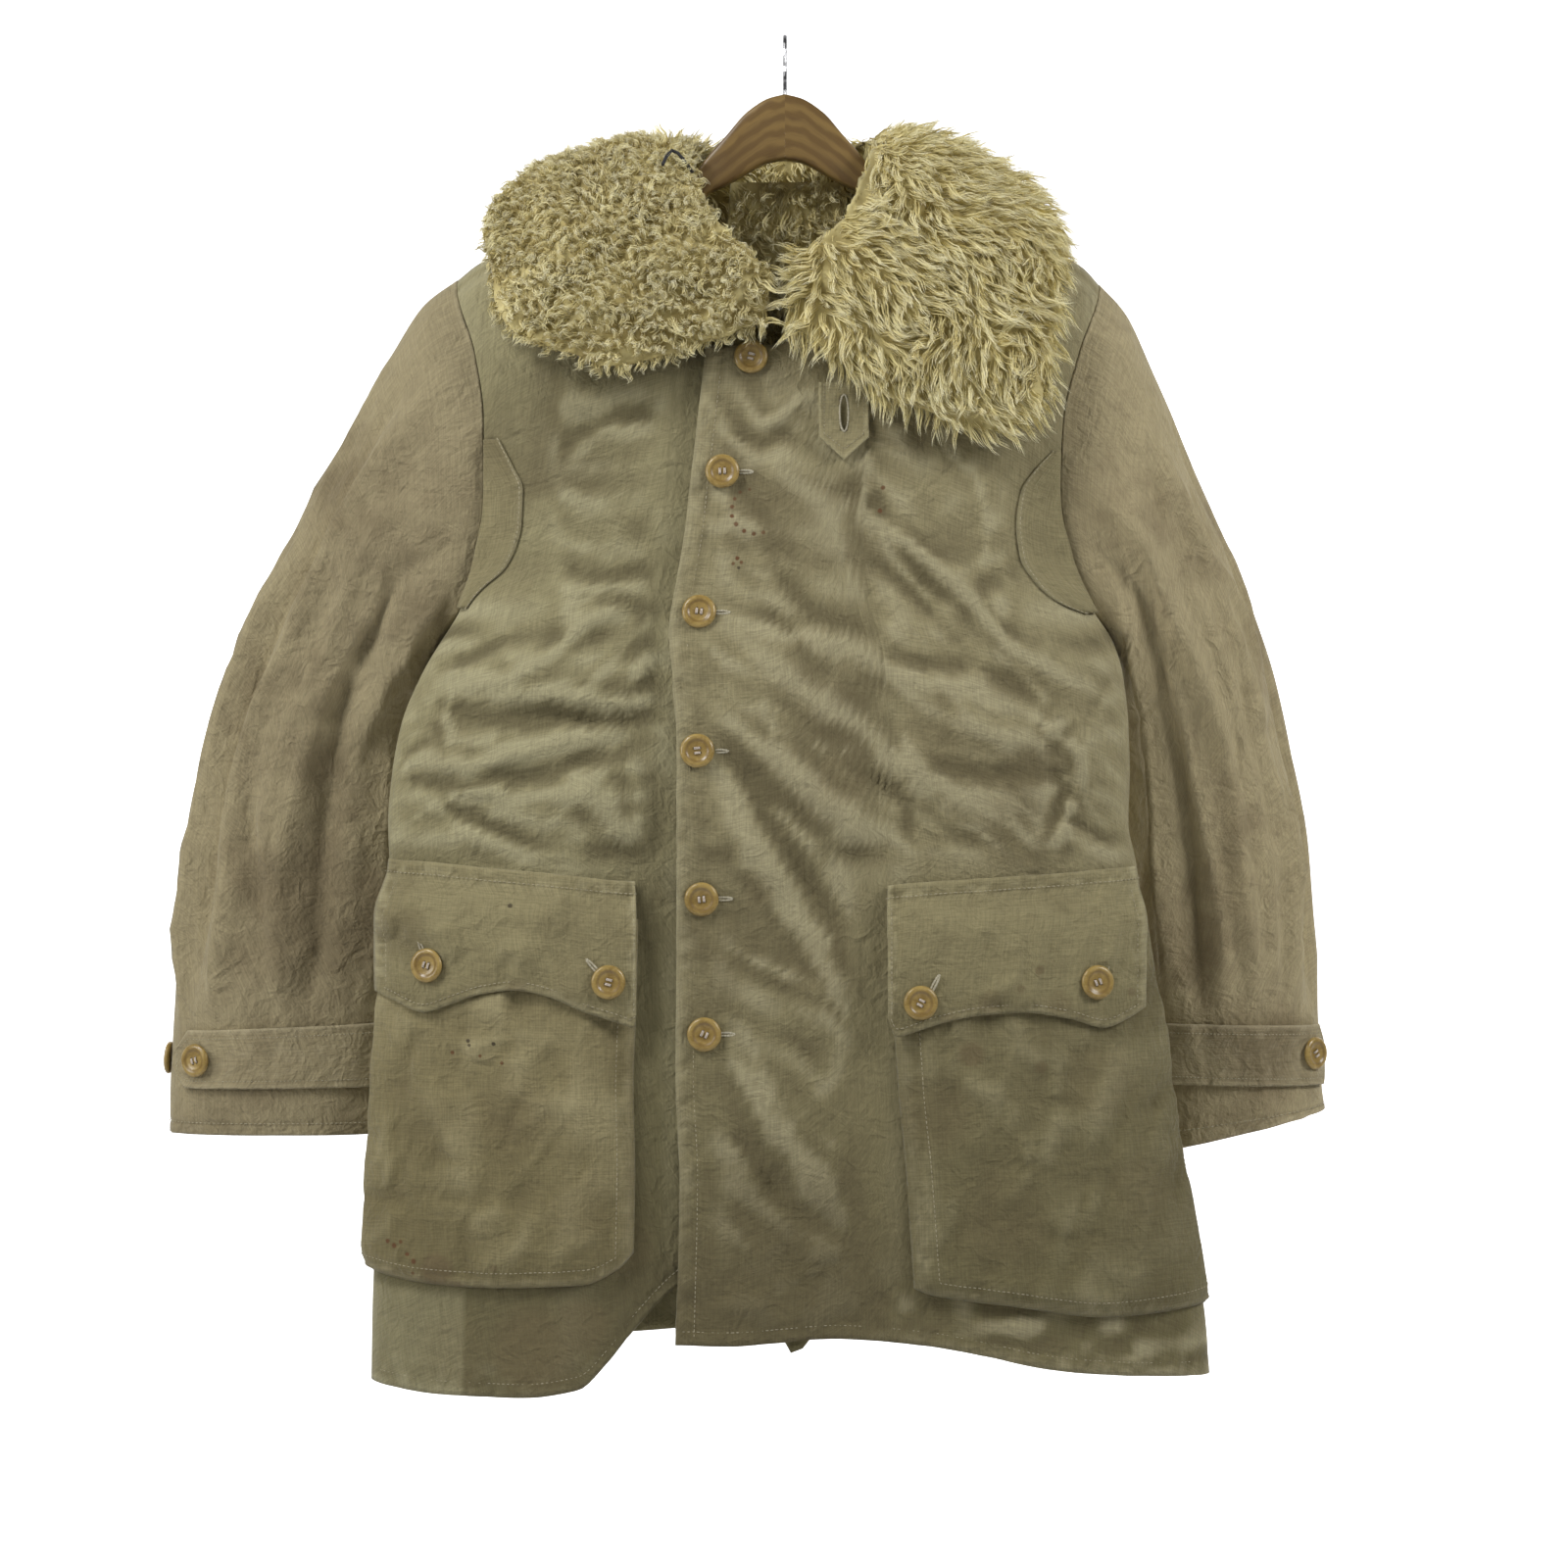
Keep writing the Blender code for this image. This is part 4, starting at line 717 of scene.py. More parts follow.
def woolMaterial(name, root, low, high, tip, fibres=900.0):
    # dark at the root, pale at the tip: the dark root is painted shade between the locks; each lock has its own tone
    material, n = newMaterial(name, {"Roughness": 0.8, "Sheen Weight": 0.35, "Sheen Roughness": 0.45,
                                     "Specular IOR Level": 0.3})
    place = n.place()
    along, tone = n.mark("along"), n.mark("tone")
    body = n.mix(n.ramp(tone, 0.0, 1.0), low, high)
    body = n.mix(n.maths("MULTIPLY", n.ramp(n.noise(place, 14.0, 3.0), 0.35, 0.7), 0.5), body, low)
    # large patches are mixed towards the root colour: painted shadows between clumps of locks
    clump = n.noise(place, 55.0, 2.0, 0.5, 0.6)
    body = n.mix(n.maths("MULTIPLY", n.ramp(clump, 0.42, 0.62, 1.0, 0.0), 0.42), body, root)
    colour = n.mix(n.ramp(along, 0.0, 0.35), root, body)
    colour = n.mix(n.ramp(along, 0.5, 1.0, 0.0, 0.8), colour, tip)
    streak = n.noise(place, fibres, 2.0, 0.6)
    colour = n.mix(n.ramp(streak, 0.35, 0.75, 0.0, 0.3), colour, root)
    n.cover(colour, n.bump(streak, 0.6, 0.0006))
    return material


def hornMaterial():
    material, n = newMaterial("worn horn", {"Roughness": 0.34, "Coat Weight": 0.25, "Coat Roughness": 0.2})
    place = n.place()
    cloud = n.noise(place, 90.0, 4.0, 0.6, 1.2)
    fine = n.noise(n.stretched(place, (500.0, 160.0, 900.0)), 1.0, 3.0)
    colour = n.mix(n.ramp(cloud, 0.3, 0.7), (0.27, 0.175, 0.042), (0.43, 0.30, 0.09))
    colour = n.mix(n.ramp(fine, 0.45, 0.75, 0.0, 0.4), colour, (0.52, 0.37, 0.15))
    colour = n.mix(n.maths("MULTIPLY", n.mark("hollow"), 0.7, True), colour, (0.17, 0.10, 0.028))
    n.cover(colour, n.bump(fine, 0.25, 0.0003))
    return material


def woodMaterial():
    material, n = newMaterial("hanger wood", {"Roughness": 0.42, "Coat Weight": 0.2, "Coat Roughness": 0.3})
    grain = n.flat("grain")
    bands = n.bands(n.stretched(grain, (1.2, 1.0, 1.0)), "Y", 28.0, 3.5, 1.6)
    pores = n.noise(n.stretched(grain, (60.0, 1500.0, 1.0)), 1.0, 4.0)
    cloud = n.noise(n.stretched(grain, (8.0, 60.0, 1.0)), 1.0, 3.0)
    colour = n.mix(n.ramp(bands, 0.1, 0.9), (0.17, 0.098, 0.027), (0.27, 0.17, 0.05))
    colour = n.mix(n.ramp(cloud, 0.3, 0.7, 0.0, 0.6), colour, (0.145, 0.085, 0.028))
    colour = n.mix(n.ramp(pores, 0.5, 0.75, 0.0, 0.5), colour, (0.09, 0.045, 0.016))
    n.cover(colour, n.bump(pores, 0.3, 0.0002))
    return material


def plainMaterial(name, low, high, rough, scale, metal=0.0, depth=0.0003):
    material, n = newMaterial(name, {"Roughness": rough, "Metallic": metal})
    fine = n.noise(n.place(), scale, 4.0, 0.6)
    n.cover(n.mix(n.ramp(fine, 0.3, 0.7), low, high), n.bump(fine, 0.4, depth))
    return material


# meshes from grids of points

def gridMesh(name, points, uv=None, ring=False, flip=False, marks=None, uvName="cut"):
    # rows run down, columns run across; a ring has its last column on its first
    rows, columns = points.shape[:2]
    index = np.arange(rows * columns).reshape(rows, columns)
    corners = [index[:-1, :-1], index[:-1, 1:], index[1:, 1:], index[1:, :-1]]
    faces = np.stack(corners[::-1] if not flip else corners, axis=-1).reshape(-1, 4)
    mesh = bpy.data.meshes.new(name)
    mesh.from_pydata((points.reshape(-1, 3) * mm).tolist(), [], faces.tolist())
    for key, values in (marks or {}).items():
        addMark(mesh, key, np.broadcast_to(values, (rows, columns)))
    if uv is not None:
        layer = mesh.uv_layers.new(name=uvName)
        layer.data.foreach_set("uv", (uv.reshape(-1, 2)[faces.ravel()] * mm).ravel())
    if ring:
        reworked(mesh, lambda shape: bmesh.ops.remove_doubles(shape, verts=shape.verts, dist=1e-6))
    mesh.shade_smooth()
    return newObject(name, mesh)


def cutLengths(points):
    # distance across and down the cloth, for the cloth's own map
    across, down = np.zeros(points.shape[:2]), np.zeros(points.shape[:2])
    across[:, 1:] = np.cumsum(np.linalg.norm(np.diff(points, axis=1), axis=-1), axis=1)
    down[1:] = np.cumsum(np.linalg.norm(np.diff(points, axis=0), axis=-1), axis=0)
    return np.stack([across, -down], axis=-1)


def clothPiece(name, points, look, thickness, nodes, ring=False, flip=False, marks=None, slot="canvas", opened=None):
    # opened: a function that cuts an opening in the cloth
    obj = gridMesh(name, points, cutLengths(points), ring, flip, marks)
    obj.data.materials.append(look)
    if opened:
        reworked(obj.data, opened)
    giveWall(obj, thickness)
    handOver(obj, slot, *nodes)


def bent(points, s):
    # how far each point stands out from the mean of its neighbours: ridges are painted paler, partly as wear and partly
    # as painted highlight, and hollows darker, as painted shade
    y = points[..., 1]
    mean = y.copy()
    mean[s:-s, s:-s] = (y[:-2 * s, s:-s] + y[2 * s:, s:-s] + y[s:-s, :-2 * s] + y[s:-s, 2 * s:]) / 4
    return mean - y


# the panels of the coat

# rows and columns are those of the grids that the panels are made of
panel = {"thickness": 2.4, "rows": 200, "overColumns": 98, "underColumns": 78, "backRows": 136, "backColumns": 110}


def topOfColumn(xAt):
    z = -160.0
    for _ in range(14):
        z = float(shoulder(xAt(z)))
    return z


def neckline(x, low, sharp):
    if abs(x) >= neckHalf:
        return float(shoulder(x))
    return low + (float(shoulder(neckHalf)) - low) * (abs(x) / neckHalf) ** sharp


def panelPoints(surface, places, hem, rows, low, sharp, hand=0.0):
    tops, bottoms = [], []
    for across in places:
        top = topOfColumn(lambda z: float(surface(np.array(across), np.array(z))[0]))
        x = float(surface(np.array(across), np.array(top))[0])
        if hand and x * hand < 0:
            top = low
        elif abs(x) < neckHalf:
            top = neckline(x, low, sharp)
        tops.append(top)
        bottoms.append(float(hem(surface(np.array(across), np.array(hemLevel))[0])))
    share = np.linspace(0.0, 1.0, rows)[:, None]
    heights = np.array(tops)[None, :] * (1 - share) + np.array(bottoms)[None, :] * share
    return surface(np.broadcast_to(np.array(places)[None, :], heights.shape), heights)


def frontMarks(points, edge, hem, seed):
    x, z = points[..., 0], points[..., 2]
    # ridges are painted paler and hollows darker: painted highlight and painted shade on the folds, with some wear on
    # the ridges
    ridge = bent(points, 3) + 0.6 * bent(points, 1)
    worn = limited(ridge * 1.1)
    worn = np.maximum(worn, 0.75 * bell(z - hem(x), 4.0))
    worn = np.maximum(worn, 0.7 * bell(x - edge(z), 5.0))
    # puckered stitching along the edges: pale flecks as wear, dark flecks as painted shade in the puckers
    fleck = softNoise(z / 5.0, x / 5.0, seed)
    nearEdge = bell(x - edge(z) - 7.0, 7.0) + bell(z - hem(x) - 6.0, 6.0)
    worn = worn + nearEdge * limited(fleck) * 0.7
    grimeAndShade = limited(-ridge * 0.7) + nearEdge * limited(-fleck) * 0.5
    # a darker band just below the collar: painted shadow of the collar
    collarShadow = limited(softNoise(x / 60.0, z / 60.0, seed + 5) + 0.4)
    grimeAndShade = grimeAndShade + 0.5 * bell(shoulder(x) - z - 120.0, 60.0) * collarShadow
    # the fronts are darkest low down between the pockets
    low = smoothStep((-780.0 - z) / 180.0) * bell(x + 10.0, 120.0)
    grimeAndShade = grimeAndShade + low * (1.1 + 0.5 * softNoise(x / 30.0, z / 45.0, seed + 9))
    return {"worn": worn * (1.0 - 0.5 * low), "grimeAndShade": limited(grimeAndShade)}


frontSpots = (
    (-35, -396, 1.7, "rust", 0.9), (-32, -399, 1.4, "rust", 0.8), (-38, -400, 1.3, "rust", 0.7),
    (-34, -403, 1.2, "dark", 0.8), (72, -344, 1.8, "rust", 0.8), (70, -361, 1.9, "rust", 0.8),
    (-39, -358, 1.7, "rust", 0.8), (-39, -365, 1.6, "rust", 0.9), (-36, -371, 1.8, "rust", 0.8),
    (-30, -376, 1.6, "rust", 0.9), (-23, -378, 1.7, "rust", 0.8), (-16, -377, 1.5, "rust", 0.7),
    (-37, -352, 1.5, "rust", 0.7), (-33, -347, 1.4, "rust", 0.6), (-26, -345, 1.2, "rust", 0.5),
    (110, -520, 26.0, "brown", 0.12), (40, -560, 20.0, "brown", 0.14), (30, -700, 30.0, "brown", 0.10),
    (-20, -640, 14.0, "brown", 0.16),
)
underSpots = ((-205, -412, 18.0, "brown", 0.10), (-250, -530, 22.0, "brown", 0.10), (-120, -900, 24.0, "brown", 0.22),
              (-240, -980, 30.0, "brown", 0.16), (-185, -978, 34.0, "brown", 0.4), (-150, -960, 22.0, "brown", 0.35))

overLook = canvasMaterial("canvas of the over front", (1.0, 1.0, 1.0), frontSpots)
underLook = canvasMaterial("canvas of the under front", (0.98, 1.0, 0.99), underSpots)
backLook = canvasMaterial("canvas of the back", (0.97, 0.98, 0.97))


def frontPlaces(cloth, columns):
    # the grid's columns, with one at each bend of the neckline
    _, edge, side, turn = cloth
    corners = [float(acrossAt(edge, side, turn * x, shoulder(turn * x))) for x in (neckBend, neckHalf)]
    return np.unique(np.concatenate([np.linspace(0.0, 1.0, columns), corners]))


places = frontPlaces(overCloth, panel["overColumns"])
overPoints = panelPoints(overFront, places, overHem, panel["rows"], frontNeck, 2.0, 1.0)
clothPiece("frontLeft", overPoints, overLook, panel["thickness"], ["front_left"],
           marks=frontMarks(overPoints, overEdge, overHem, 61))

places = frontPlaces(underCloth, panel["underColumns"])
underPoints = panelPoints(underFront, places, underHem, panel["rows"], frontNeck, 2.0, -1.0)
underMarks = frontMarks(underPoints, lambda z: underEdge(z) + 400.0, underHem, 62)
# below the pocket the facing is darker than the strip by the side seam
x, z = underPoints[..., 0], underPoints[..., 2]
facing = smoothStep((x + 238.0) / 3.0) * smoothStep((-900.0 - z) / 20.0)
underMarks["grimeAndShade"] = limited(underMarks["grimeAndShade"] + facing * 0.55)
underMarks["worn"] = limited(underMarks["worn"] + 0.4 * (1.0 - facing) * smoothStep((-930.0 - z) / 10.0))
clothPiece("frontRight", underPoints, underLook, panel["thickness"], ["front_right"], flip=True, marks=underMarks)

places = np.linspace(-1.0, 1.0, panel["backColumns"])
backPoints = panelPoints(backCloth, places, backHem, panel["backRows"], float(shoulder(neckHalf)) - backNeckDrop, 3.0)
# the back's ridges are painted paler and its hollows darker: painted highlight and painted shade on its folds
ridge = -bent(backPoints, 2)
clothPiece("backPanel", backPoints, backLook, panel["thickness"], ["back"], flip=True,
           marks={"worn": limited(ridge * 0.35), "grimeAndShade": limited(-ridge * 0.6)})


seamLap = {"top": -400.0, "low": -968.0, "half": 9.0, "behind": 1.6, "cloth": 1.0}


def sideLap(name, side, hand):
    # the side seam's allowance, turned in behind the gap between front and back
    z = np.linspace(seamLap["top"], seamLap["low"], 60)[:, None]
    share = np.linspace(-1.0, 1.0, 7)[None, :]
    x = side(z) - hand * (panel["thickness"] + seamLap["behind"]) + 0.0 * share
    points = onCloth(x, sideSeam(z) + seamLap["half"] * share, z)
    # it is darkened all over: painted shade inside the gap between front and back
    clothPiece(name, points, backLook, seamLap["cloth"], [], flip=hand < 0, marks={"worn": 0.0, "grimeAndShade": 0.5})


sideLap("sideLapLeft", leftSide, 1.0)
sideLap("sideLapRight", rightSide, -1.0)
print("fronts and back made")

# sleeves

# the cuff's hem: the share of the sleeve's length where it starts and where it is stitched
cuff = {"hemFrom": 0.955, "stitched": 0.972, "stitchRing": 11.66, "stitchOut": 0.2}

# degrees round the sleeve at the start and the end, share of its length from and to, half width, rise
rightSleeveFolds = (
    (62, 56, 0.0, 1.0, 6, 8), (48, 38, 0.05, 0.9, 6, -7), (24, 30, 0.1, 0.85, 6, 5), (116, 100, 0.0, 0.9, 7, -7),
    (230, 240, 0.1, 0.9, 16, 6), (290, 300, 0.1, 0.9, 16, -5), (84, 78, 0.15, 0.75, 4.5, 5),
    (100, 84, 0.25, 0.95, 4.5, 5),
    (36, 22, 0.3, 0.95, 4.5, 4), (60, 96, 0.55, 0.9, 5, -5), (134, 118, 0.05, 0.6, 6, 6), (14, 6, 0.2, 0.8, 6, 4),
    (74, 40, 0.62, 0.98, 4.5, 4), (146, 128, 0.5, 0.95, 5, 4), (200, 190, 0.2, 0.8, 8, 3), (260, 270, 0.3, 0.9, 8, 3),
)
leftSleeveFolds = (
    (100, 74, 0.0, 1.0, 6, 8), (122, 104, 0.0, 1.0, 7, -8), (60, 44, 0.1, 0.9, 7, 6), (26, 22, 0.1, 0.9, 7, -5),
    (240, 236, 0.1, 0.9, 16, 6), (300, 290, 0.1, 0.9, 16, -5), (144, 130, 0.05, 0.9, 6, 6), (80, 60, 0.3, 0.95, 4.5, 5),
    (112, 92, 0.35, 0.9, 4.5, 5), (40, 52, 0.55, 0.95, 5, 5), (90, 66, 0.7, 1.0, 4.5, -4),
    (136, 100, 0.6, 0.98, 4.5, 4),
    (70, 36, 0.1, 0.5, 5, 5), (200, 210, 0.2, 0.8, 8, 3), (270, 262, 0.2, 0.9, 8, 3), (20, 4, 0.4, 0.9, 7, 3),
)


def armhole(side, turn):
    tip = topOfColumn(side)
    z = (tip + underarm) / 2 + (tip - underarm) / 2 * np.cos(turn)
    x = side(z)
    y = np.where(np.sin(turn) >= 0, frontY(x, z), backY(x, z))
    return np.stack([x, y, z], axis=-1)


def sleeveSurface(rows, side, folds, small, seed):
    columns = [through([(i, *row) for i, row in enumerate(rows)], c + 1) for c in range(6)]

    def ring(along, turn, fine):
        outerX, outerZ, innerX, innerZ, depth, middleY = (c(along) for c in columns)
        across = np.copysign(np.abs(np.cos(turn)) ** (2 / sleevePower), np.cos(turn))
        forward = np.copysign(np.abs(np.sin(turn)) ** (2 / sleevePower), np.sin(turn))
        middle = np.stack([(outerX + innerX) / 2, middleY, (outerZ + innerZ) / 2], axis=-1)
        reach = np.stack([outerX - innerX, 0.0 * outerX, outerZ - innerZ], axis=-1) / 2
        ahead = np.stack([0.0 * depth, -depth, 0.0 * depth], axis=-1)
        out = reach * across[..., None] + ahead * forward[..., None]
        share = along / (len(rows) - 1)
        rise = np.zeros_like(share)
        for start, end, fromShare, toShare, width, height in folds:
            part = limited((share - fromShare) / (toShare - fromShare))
            away = (np.degrees(turn) - start - (end - start) * part + 180.0) % 360.0 - 180.0
            away = away + 5.0 * softNoise(share * 7.0 + start, share * 0.0, seed + 2)
            whole = toShare == 1.0 and fromShare == 0.0
            fade = 1.0 if whole else smoothStep(part * 6.0) * smoothStep((1.0 - part) * 4.0)
            steep = np.where(away > 0, 0.7, 1.2)
            rise = rise + 1.25 * height * fade * np.exp(-np.abs(away / (width * steep)) ** 1.3)
        if fine:
            girth = np.degrees(turn) * girthOfDegree
            calmSeam = smoothStep(np.minimum(turn, 2 * math.pi - turn) * 4.0)
            rise = rise + (rumple(girth, share * sleeveLong, 84.0, 2.6, ((34.0, 1.4), (17.0, 0.7)), seed)
                           + creaseRise(small, girth, -share * sleeveLong)) * calmSeam
        calm = smoothStep(share * 5.0) * (1.0 - 0.85 * smoothStep((share - 0.72) * 9.0))
        return middle + out + unit(out) * (rise * calm)[..., None]

    def surface(along, turn, fine=True):
        along, turn = np.broadcast_arrays(np.asarray(along, float), np.asarray(turn, float))
        settled = (1.0 - smoothStep(along / sleeveSettle))[..., None]
        point = ring(along, turn, fine) + (armhole(side, turn) - ring(along * 0.0, turn, False)) * settled
        outward = math.copysign(armholeGap, rows[0][0]) * settled
        return point + outward * np.array([1.0, 0.0, 0.0])

    return surface


rightSmall = strewn(21, 60, (20, -600), (440, -40), 84.0, 130.0, (7.0, 11.0), (1.8, 4.5)) + \
    strewn(23, 24, (20, -600), (240, -60), 40.0, 60.0, (6.0, 9.0), (1.4, 3.2))
leftSmall = strewn(22, 60, (20, -600), (440, -40), 96.0, 130.0, (7.0, 11.0), (1.8, 4.5)) + \
    strewn(24, 24, (20, -600), (240, -60), 140.0, 60.0, (6.0, 9.0), (1.4, 3.2))
rightSleeve = sleeveSurface(rightSleeveTable, rightSide, rightSleeveFolds, rightSmall, 71)
leftSleeve = sleeveSurface(leftSleeveTable, leftSide, leftSleeveFolds, leftSmall, 81)


def sleeveMovedOut(surface, along, degrees, out, hand):
    along, turn = np.broadcast_arrays(np.asarray(along, float), np.radians(np.asarray(degrees, float)))
    a = surface(along, turn + 0.02, False) - surface(along, turn - 0.02, False)
    b = surface(np.minimum(lastRing, along + 0.05), turn, False) - surface(along - 0.05, turn, False)
    return surface(along, turn, False) + unit(np.cross(a, b)) * hand * np.asarray(out, float)[..., None]


# the sleeves' canvas is painted brighter than the body's, the left sleeve most: painted light
sleeveLooks = {
    "sleeveRight": canvasMaterial("canvas of the right sleeve", (1.12, 1.08, 1.16), (), 0.0),
    "sleeveLeft": canvasMaterial("canvas of the left sleeve", (1.36, 1.31, 1.41), (), 0.0),
}


def sleevePiece(name, surface, node, flip, seed):
    along = np.linspace(0.0, lastRing, sleeveGrid[0])[:, None]
    turn = np.linspace(0.0, 2 * math.pi, sleeveGrid[1])[None, :]
    points = surface(along, turn)
    points[:, -1] = points[:, 0]
    # the cuff: a hem of doubled cloth that ripples, drawn in by its stitches
    share = (along / lastRing) + 0.0 * turn
    out = points - points.mean(axis=1, keepdims=True)
    out[..., 2] = 0.0
    girth = np.degrees(turn) * girthOfDegree + 0.0 * along
    wave = softNoise(girth / 12.5, share * 3.0, seed)
    wave[:, -1] = wave[:, 0]
    ripple = 1.3 * wave * smoothStep((share - cuff["hemFrom"]) * 30.0) - 1.1 * bell(share - cuff["stitched"], 0.004)
    points = points + unit(out) * ripple[..., None]
    fleck = softNoise(girth / 4.0, share * 160.0, seed + 4)
    end = smoothStep((share - cuff["hemFrom"]) * 40.0)
    seam = bell(share, 0.008)
    low = smoothStep((share - 0.75) * 4.0) * (0.5 + softNoise(girth / 40.0, share * 9.0, seed + 6))
    worn = 0.6 * end * limited(fleck) + 0.6 * smoothStep((share - 0.992) * 200.0) + 0.4 * seam
    clothPiece(name, points, sleeveLooks[name], panel["thickness"], [node], ring=True, flip=flip,
               marks={"worn": limited(worn), "grimeAndShade": limited(0.5 * end * limited(-fleck) + 0.35 * low)},
               slot="shaded canvas")


sleevePiece("sleeveLeft", leftSleeve, "sleeve_left", True, 73)
sleevePiece("sleeveRight", rightSleeve, "sleeve_right", False, 83)
print("sleeves made")

# what is sewn on: gussets, pockets, flaps, tabs

layGap, tabCloth, pocketCloth = 0.7, 2.2, 1.5
gussetShape = {"rows": 44, "columns": 22, "end": 0.93, "wide": 40.0, "cloth": 1.1}
flapShape = {"columns": 70, "rows": 37, "topOut": 3.4}
rightGussetTable = ((-432, -236), (-426, -232), (-417, -224), (-403, -208), (-386, -199), (-370, -195),
                    (-343, -194), (-327, -201), (-306, -212))
leftGussetTable = ((-436, 222), (-432, 210), (-424, 196), (-412, 184), (-395, 174), (-370, 171),
                   (-344, 175), (-330, 184), (-315, 198))
# innerShare and outerShare: what a millimetre in from each side is, as a share of the front's width
pocket = {"mouth": -661.0, "bellows": 10.0, "mouthDepth": 3.0, "sideEnd": 0.93, "innerShare": 0.0029,
          "outerShare": 0.0018, "rows": 82, "columns": 62}
rightPocketBottom = ((-310, -922), (-262, -930), (-217, -932), (-146, -929), (-122, -918), (-108, -902))
leftPocketBottom = ((76, -926), (95, -936), (144, -944), (216, -954), (310, -946))
rightFlapTable = ((-110, -633, -734), (-113, -633, -740), (-128, -632, -735), (-146, -630, -729),
                  (-172, -627, -717), (-196, -625, -713), (-219, -623, -716), (-240, -621, -723),
                  (-261, -619, -730), (-280, -618, -722), (-292, -617, -716))
leftFlapTable = ((75, -636, -732), (82, -635, -746), (107, -633, -738), (140, -631, -731), (172, -629, -729),
                 (205, -627, -734), (229, -625, -741), (246, -624, -735), (258, -623, -727))
seamLines = {}

pocketLooks = {
    "pocketRight": canvasMaterial("canvas of the right pocket", (1.12, 1.10, 1.06), (
        (-256, -919, 13.0, "brown", 0.75), (-242, -934, 8.0, "brown", 0.6), (-213, -916, 3.0, "brown", 0.6),
        (-232, -750, 1.6, "dark", 0.9), (-231, -753, 1.2, "dark", 0.8), (-244, -759, 1.5, "rust", 0.8),
        (-223, -761, 1.3, "rust", 0.8), (-213, -752, 1.5, "dark", 0.9), (-207, -766, 1.4, "rust", 0.8),
        (-293, -899, 1.8, "rust", 0.8), (-288, -902, 2.0, "rust", 0.8), (-283, -899, 1.5, "rust", 0.7),
        (-278, -908, 1.6, "rust", 0.8), (-273, -913, 2.0, "rust", 0.8), (-274, -922, 1.4, "rust", 0.6),
        (-200, -800, 30.0, "brown", 0.12), (-150, -870, 26.0, "brown", 0.12))),
    "pocketLeft": canvasMaterial("canvas of the left pocket", (0.92, 0.92, 0.89), (
        (136, -759, 10.0, "brown", 0.55), (187, -769, 5.0, "brown", 0.5), (110, -800, 30.0, "brown", 0.16),
        (230, -780, 30.0, "brown", 0.14), (160, -880, 36.0, "brown", 0.12), (260, -860, 24.0, "brown", 0.12))),
}
flapLooks = {
    "flapRight": canvasMaterial("canvas of the right flap", (1.02, 1.02, 1.0), (
        (-201, -651, 1.8, "dark", 0.8), (-150, -700, 20.0, "brown", 0.12), (-196, -712, 8.0, "brown", 0.3))),
    "flapLeft": canvasMaterial("canvas of the left flap", (1.0, 1.0, 0.98), (
        (186, -698, 3.6, "brown", 0.7), (172, -711, 3.0, "brown", 0.6), (255, -715, 3.4, "brown", 0.6),
        (150, -720, 9.0, "brown", 0.35), (200, -722, 10.0, "brown", 0.3), (120, -735, 8.0, "brown", 0.3))),
}
gussetLook = canvasMaterial("canvas of the gussets", (1.0, 1.0, 0.98))
tabLook = canvasMaterial("canvas of the throat tab", (1.03, 1.03, 1.02))
# the cuff tabs are painted brighter, like the sleeves they lie on: painted light
cuffTabLook = canvasMaterial("canvas of the cuff tabs", (1.2, 1.16, 1.25), (), 0.0)


def gusset(name, node, cloth, seam):
    surface, edge, side, turn = cloth
    g = gussetShape
    z = np.linspace(seam[-1][0], seam[0][0], g["rows"])[:, None]
    start = acrossAt(edge, side, through(seam)(z), z)
    end = np.maximum(g["end"], start + 0.02)
    share = np.linspace(0.0, 1.0, g["columns"])[None, :]
    across = start + (end - start) * share
    away = share * g["wide"]
    rise = 1.5 + 1.6 * smoothStep(share * 2.5) * (1.0 + softNoise(z / 26.0, across * 9.0, 91))
    rise = rise + 0.5 * bell(away - 3.0, 2.0)
    points = movedOut(surface, across, z, np.maximum(rise, 1.4), turn)
    seamLines[name] = points[:, 1]
    worn = 0.7 * bell(away, 3.0)
    clothPiece(name, points, gussetLook, g["cloth"], [node], flip=turn < 0, marks={"worn": worn, "grimeAndShade": 0.3})


gusset("gussetLeft", "gusset_left", overCloth, leftGussetTable)
gusset("gussetRight", "gusset_right", underCloth, rightGussetTable)

# folds on each pocket: half width, rise, and the points it runs through
pocketCreases = {
    "pocketRight": (
        (16, 3.0, (-276, -760), (-240, -830), (-220, -900)), (14, -2.4, (-250, -748), (-205, -820), (-190, -900)),
        (13, 2.4, (-160, -750), (-150, -820), (-170, -900)), (8, 2.2, (-132, -790), (-118, -850), (-124, -900)),
        (10, 1.8, (-220, -780), (-170, -800), (-130, -796)), (9, -1.8, (-270, -860), (-220, -872), (-160, -860)),
        (7, 1.6, (-290, -800), (-284, -850), (-288, -910)), (9, 1.6, (-200, -900), (-160, -905), (-128, -886)),
    ),
    "pocketLeft": (
        (7, 3.2, (100, -750), (104, -830), (100, -920)), (9, -2.0, (112, -760), (116, -830), (112, -910)),
        (16, 2.6, (240, -750), (220, -830), (230, -930)), (12, -2.0, (190, -760), (180, -840), (190, -930)),
        (10, 2.0, (140, -780), (176, -830), (200, -900)), (12, 1.8, (260, -790), (276, -850), (282, -920)),
        (9, -1.8, (150, -880), (200, -896), (260, -900)), (7, 1.5, (150, -930), (190, -936), (250, -940)),
    ),
}
pocketSmall = {
    "pocketRight": strewn(31, 34, (-296, -915), (-120, -690), 75.0, 70.0, (6.0, 10.0), (1.2, 3.2))
    + strewn(32, 12, (-296, -920), (-120, -700), 5.0, 60.0, (6.0, 9.0), (1.0, 2.4)),
    "pocketLeft": strewn(33, 34, (84, -935), (296, -690), 78.0, 80.0, (6.0, 10.0), (1.2, 3.2))
    + strewn(34, 14, (84, -935), (296, -700), 160.0, 60.0, (6.0, 9.0), (1.0, 2.4)),
}


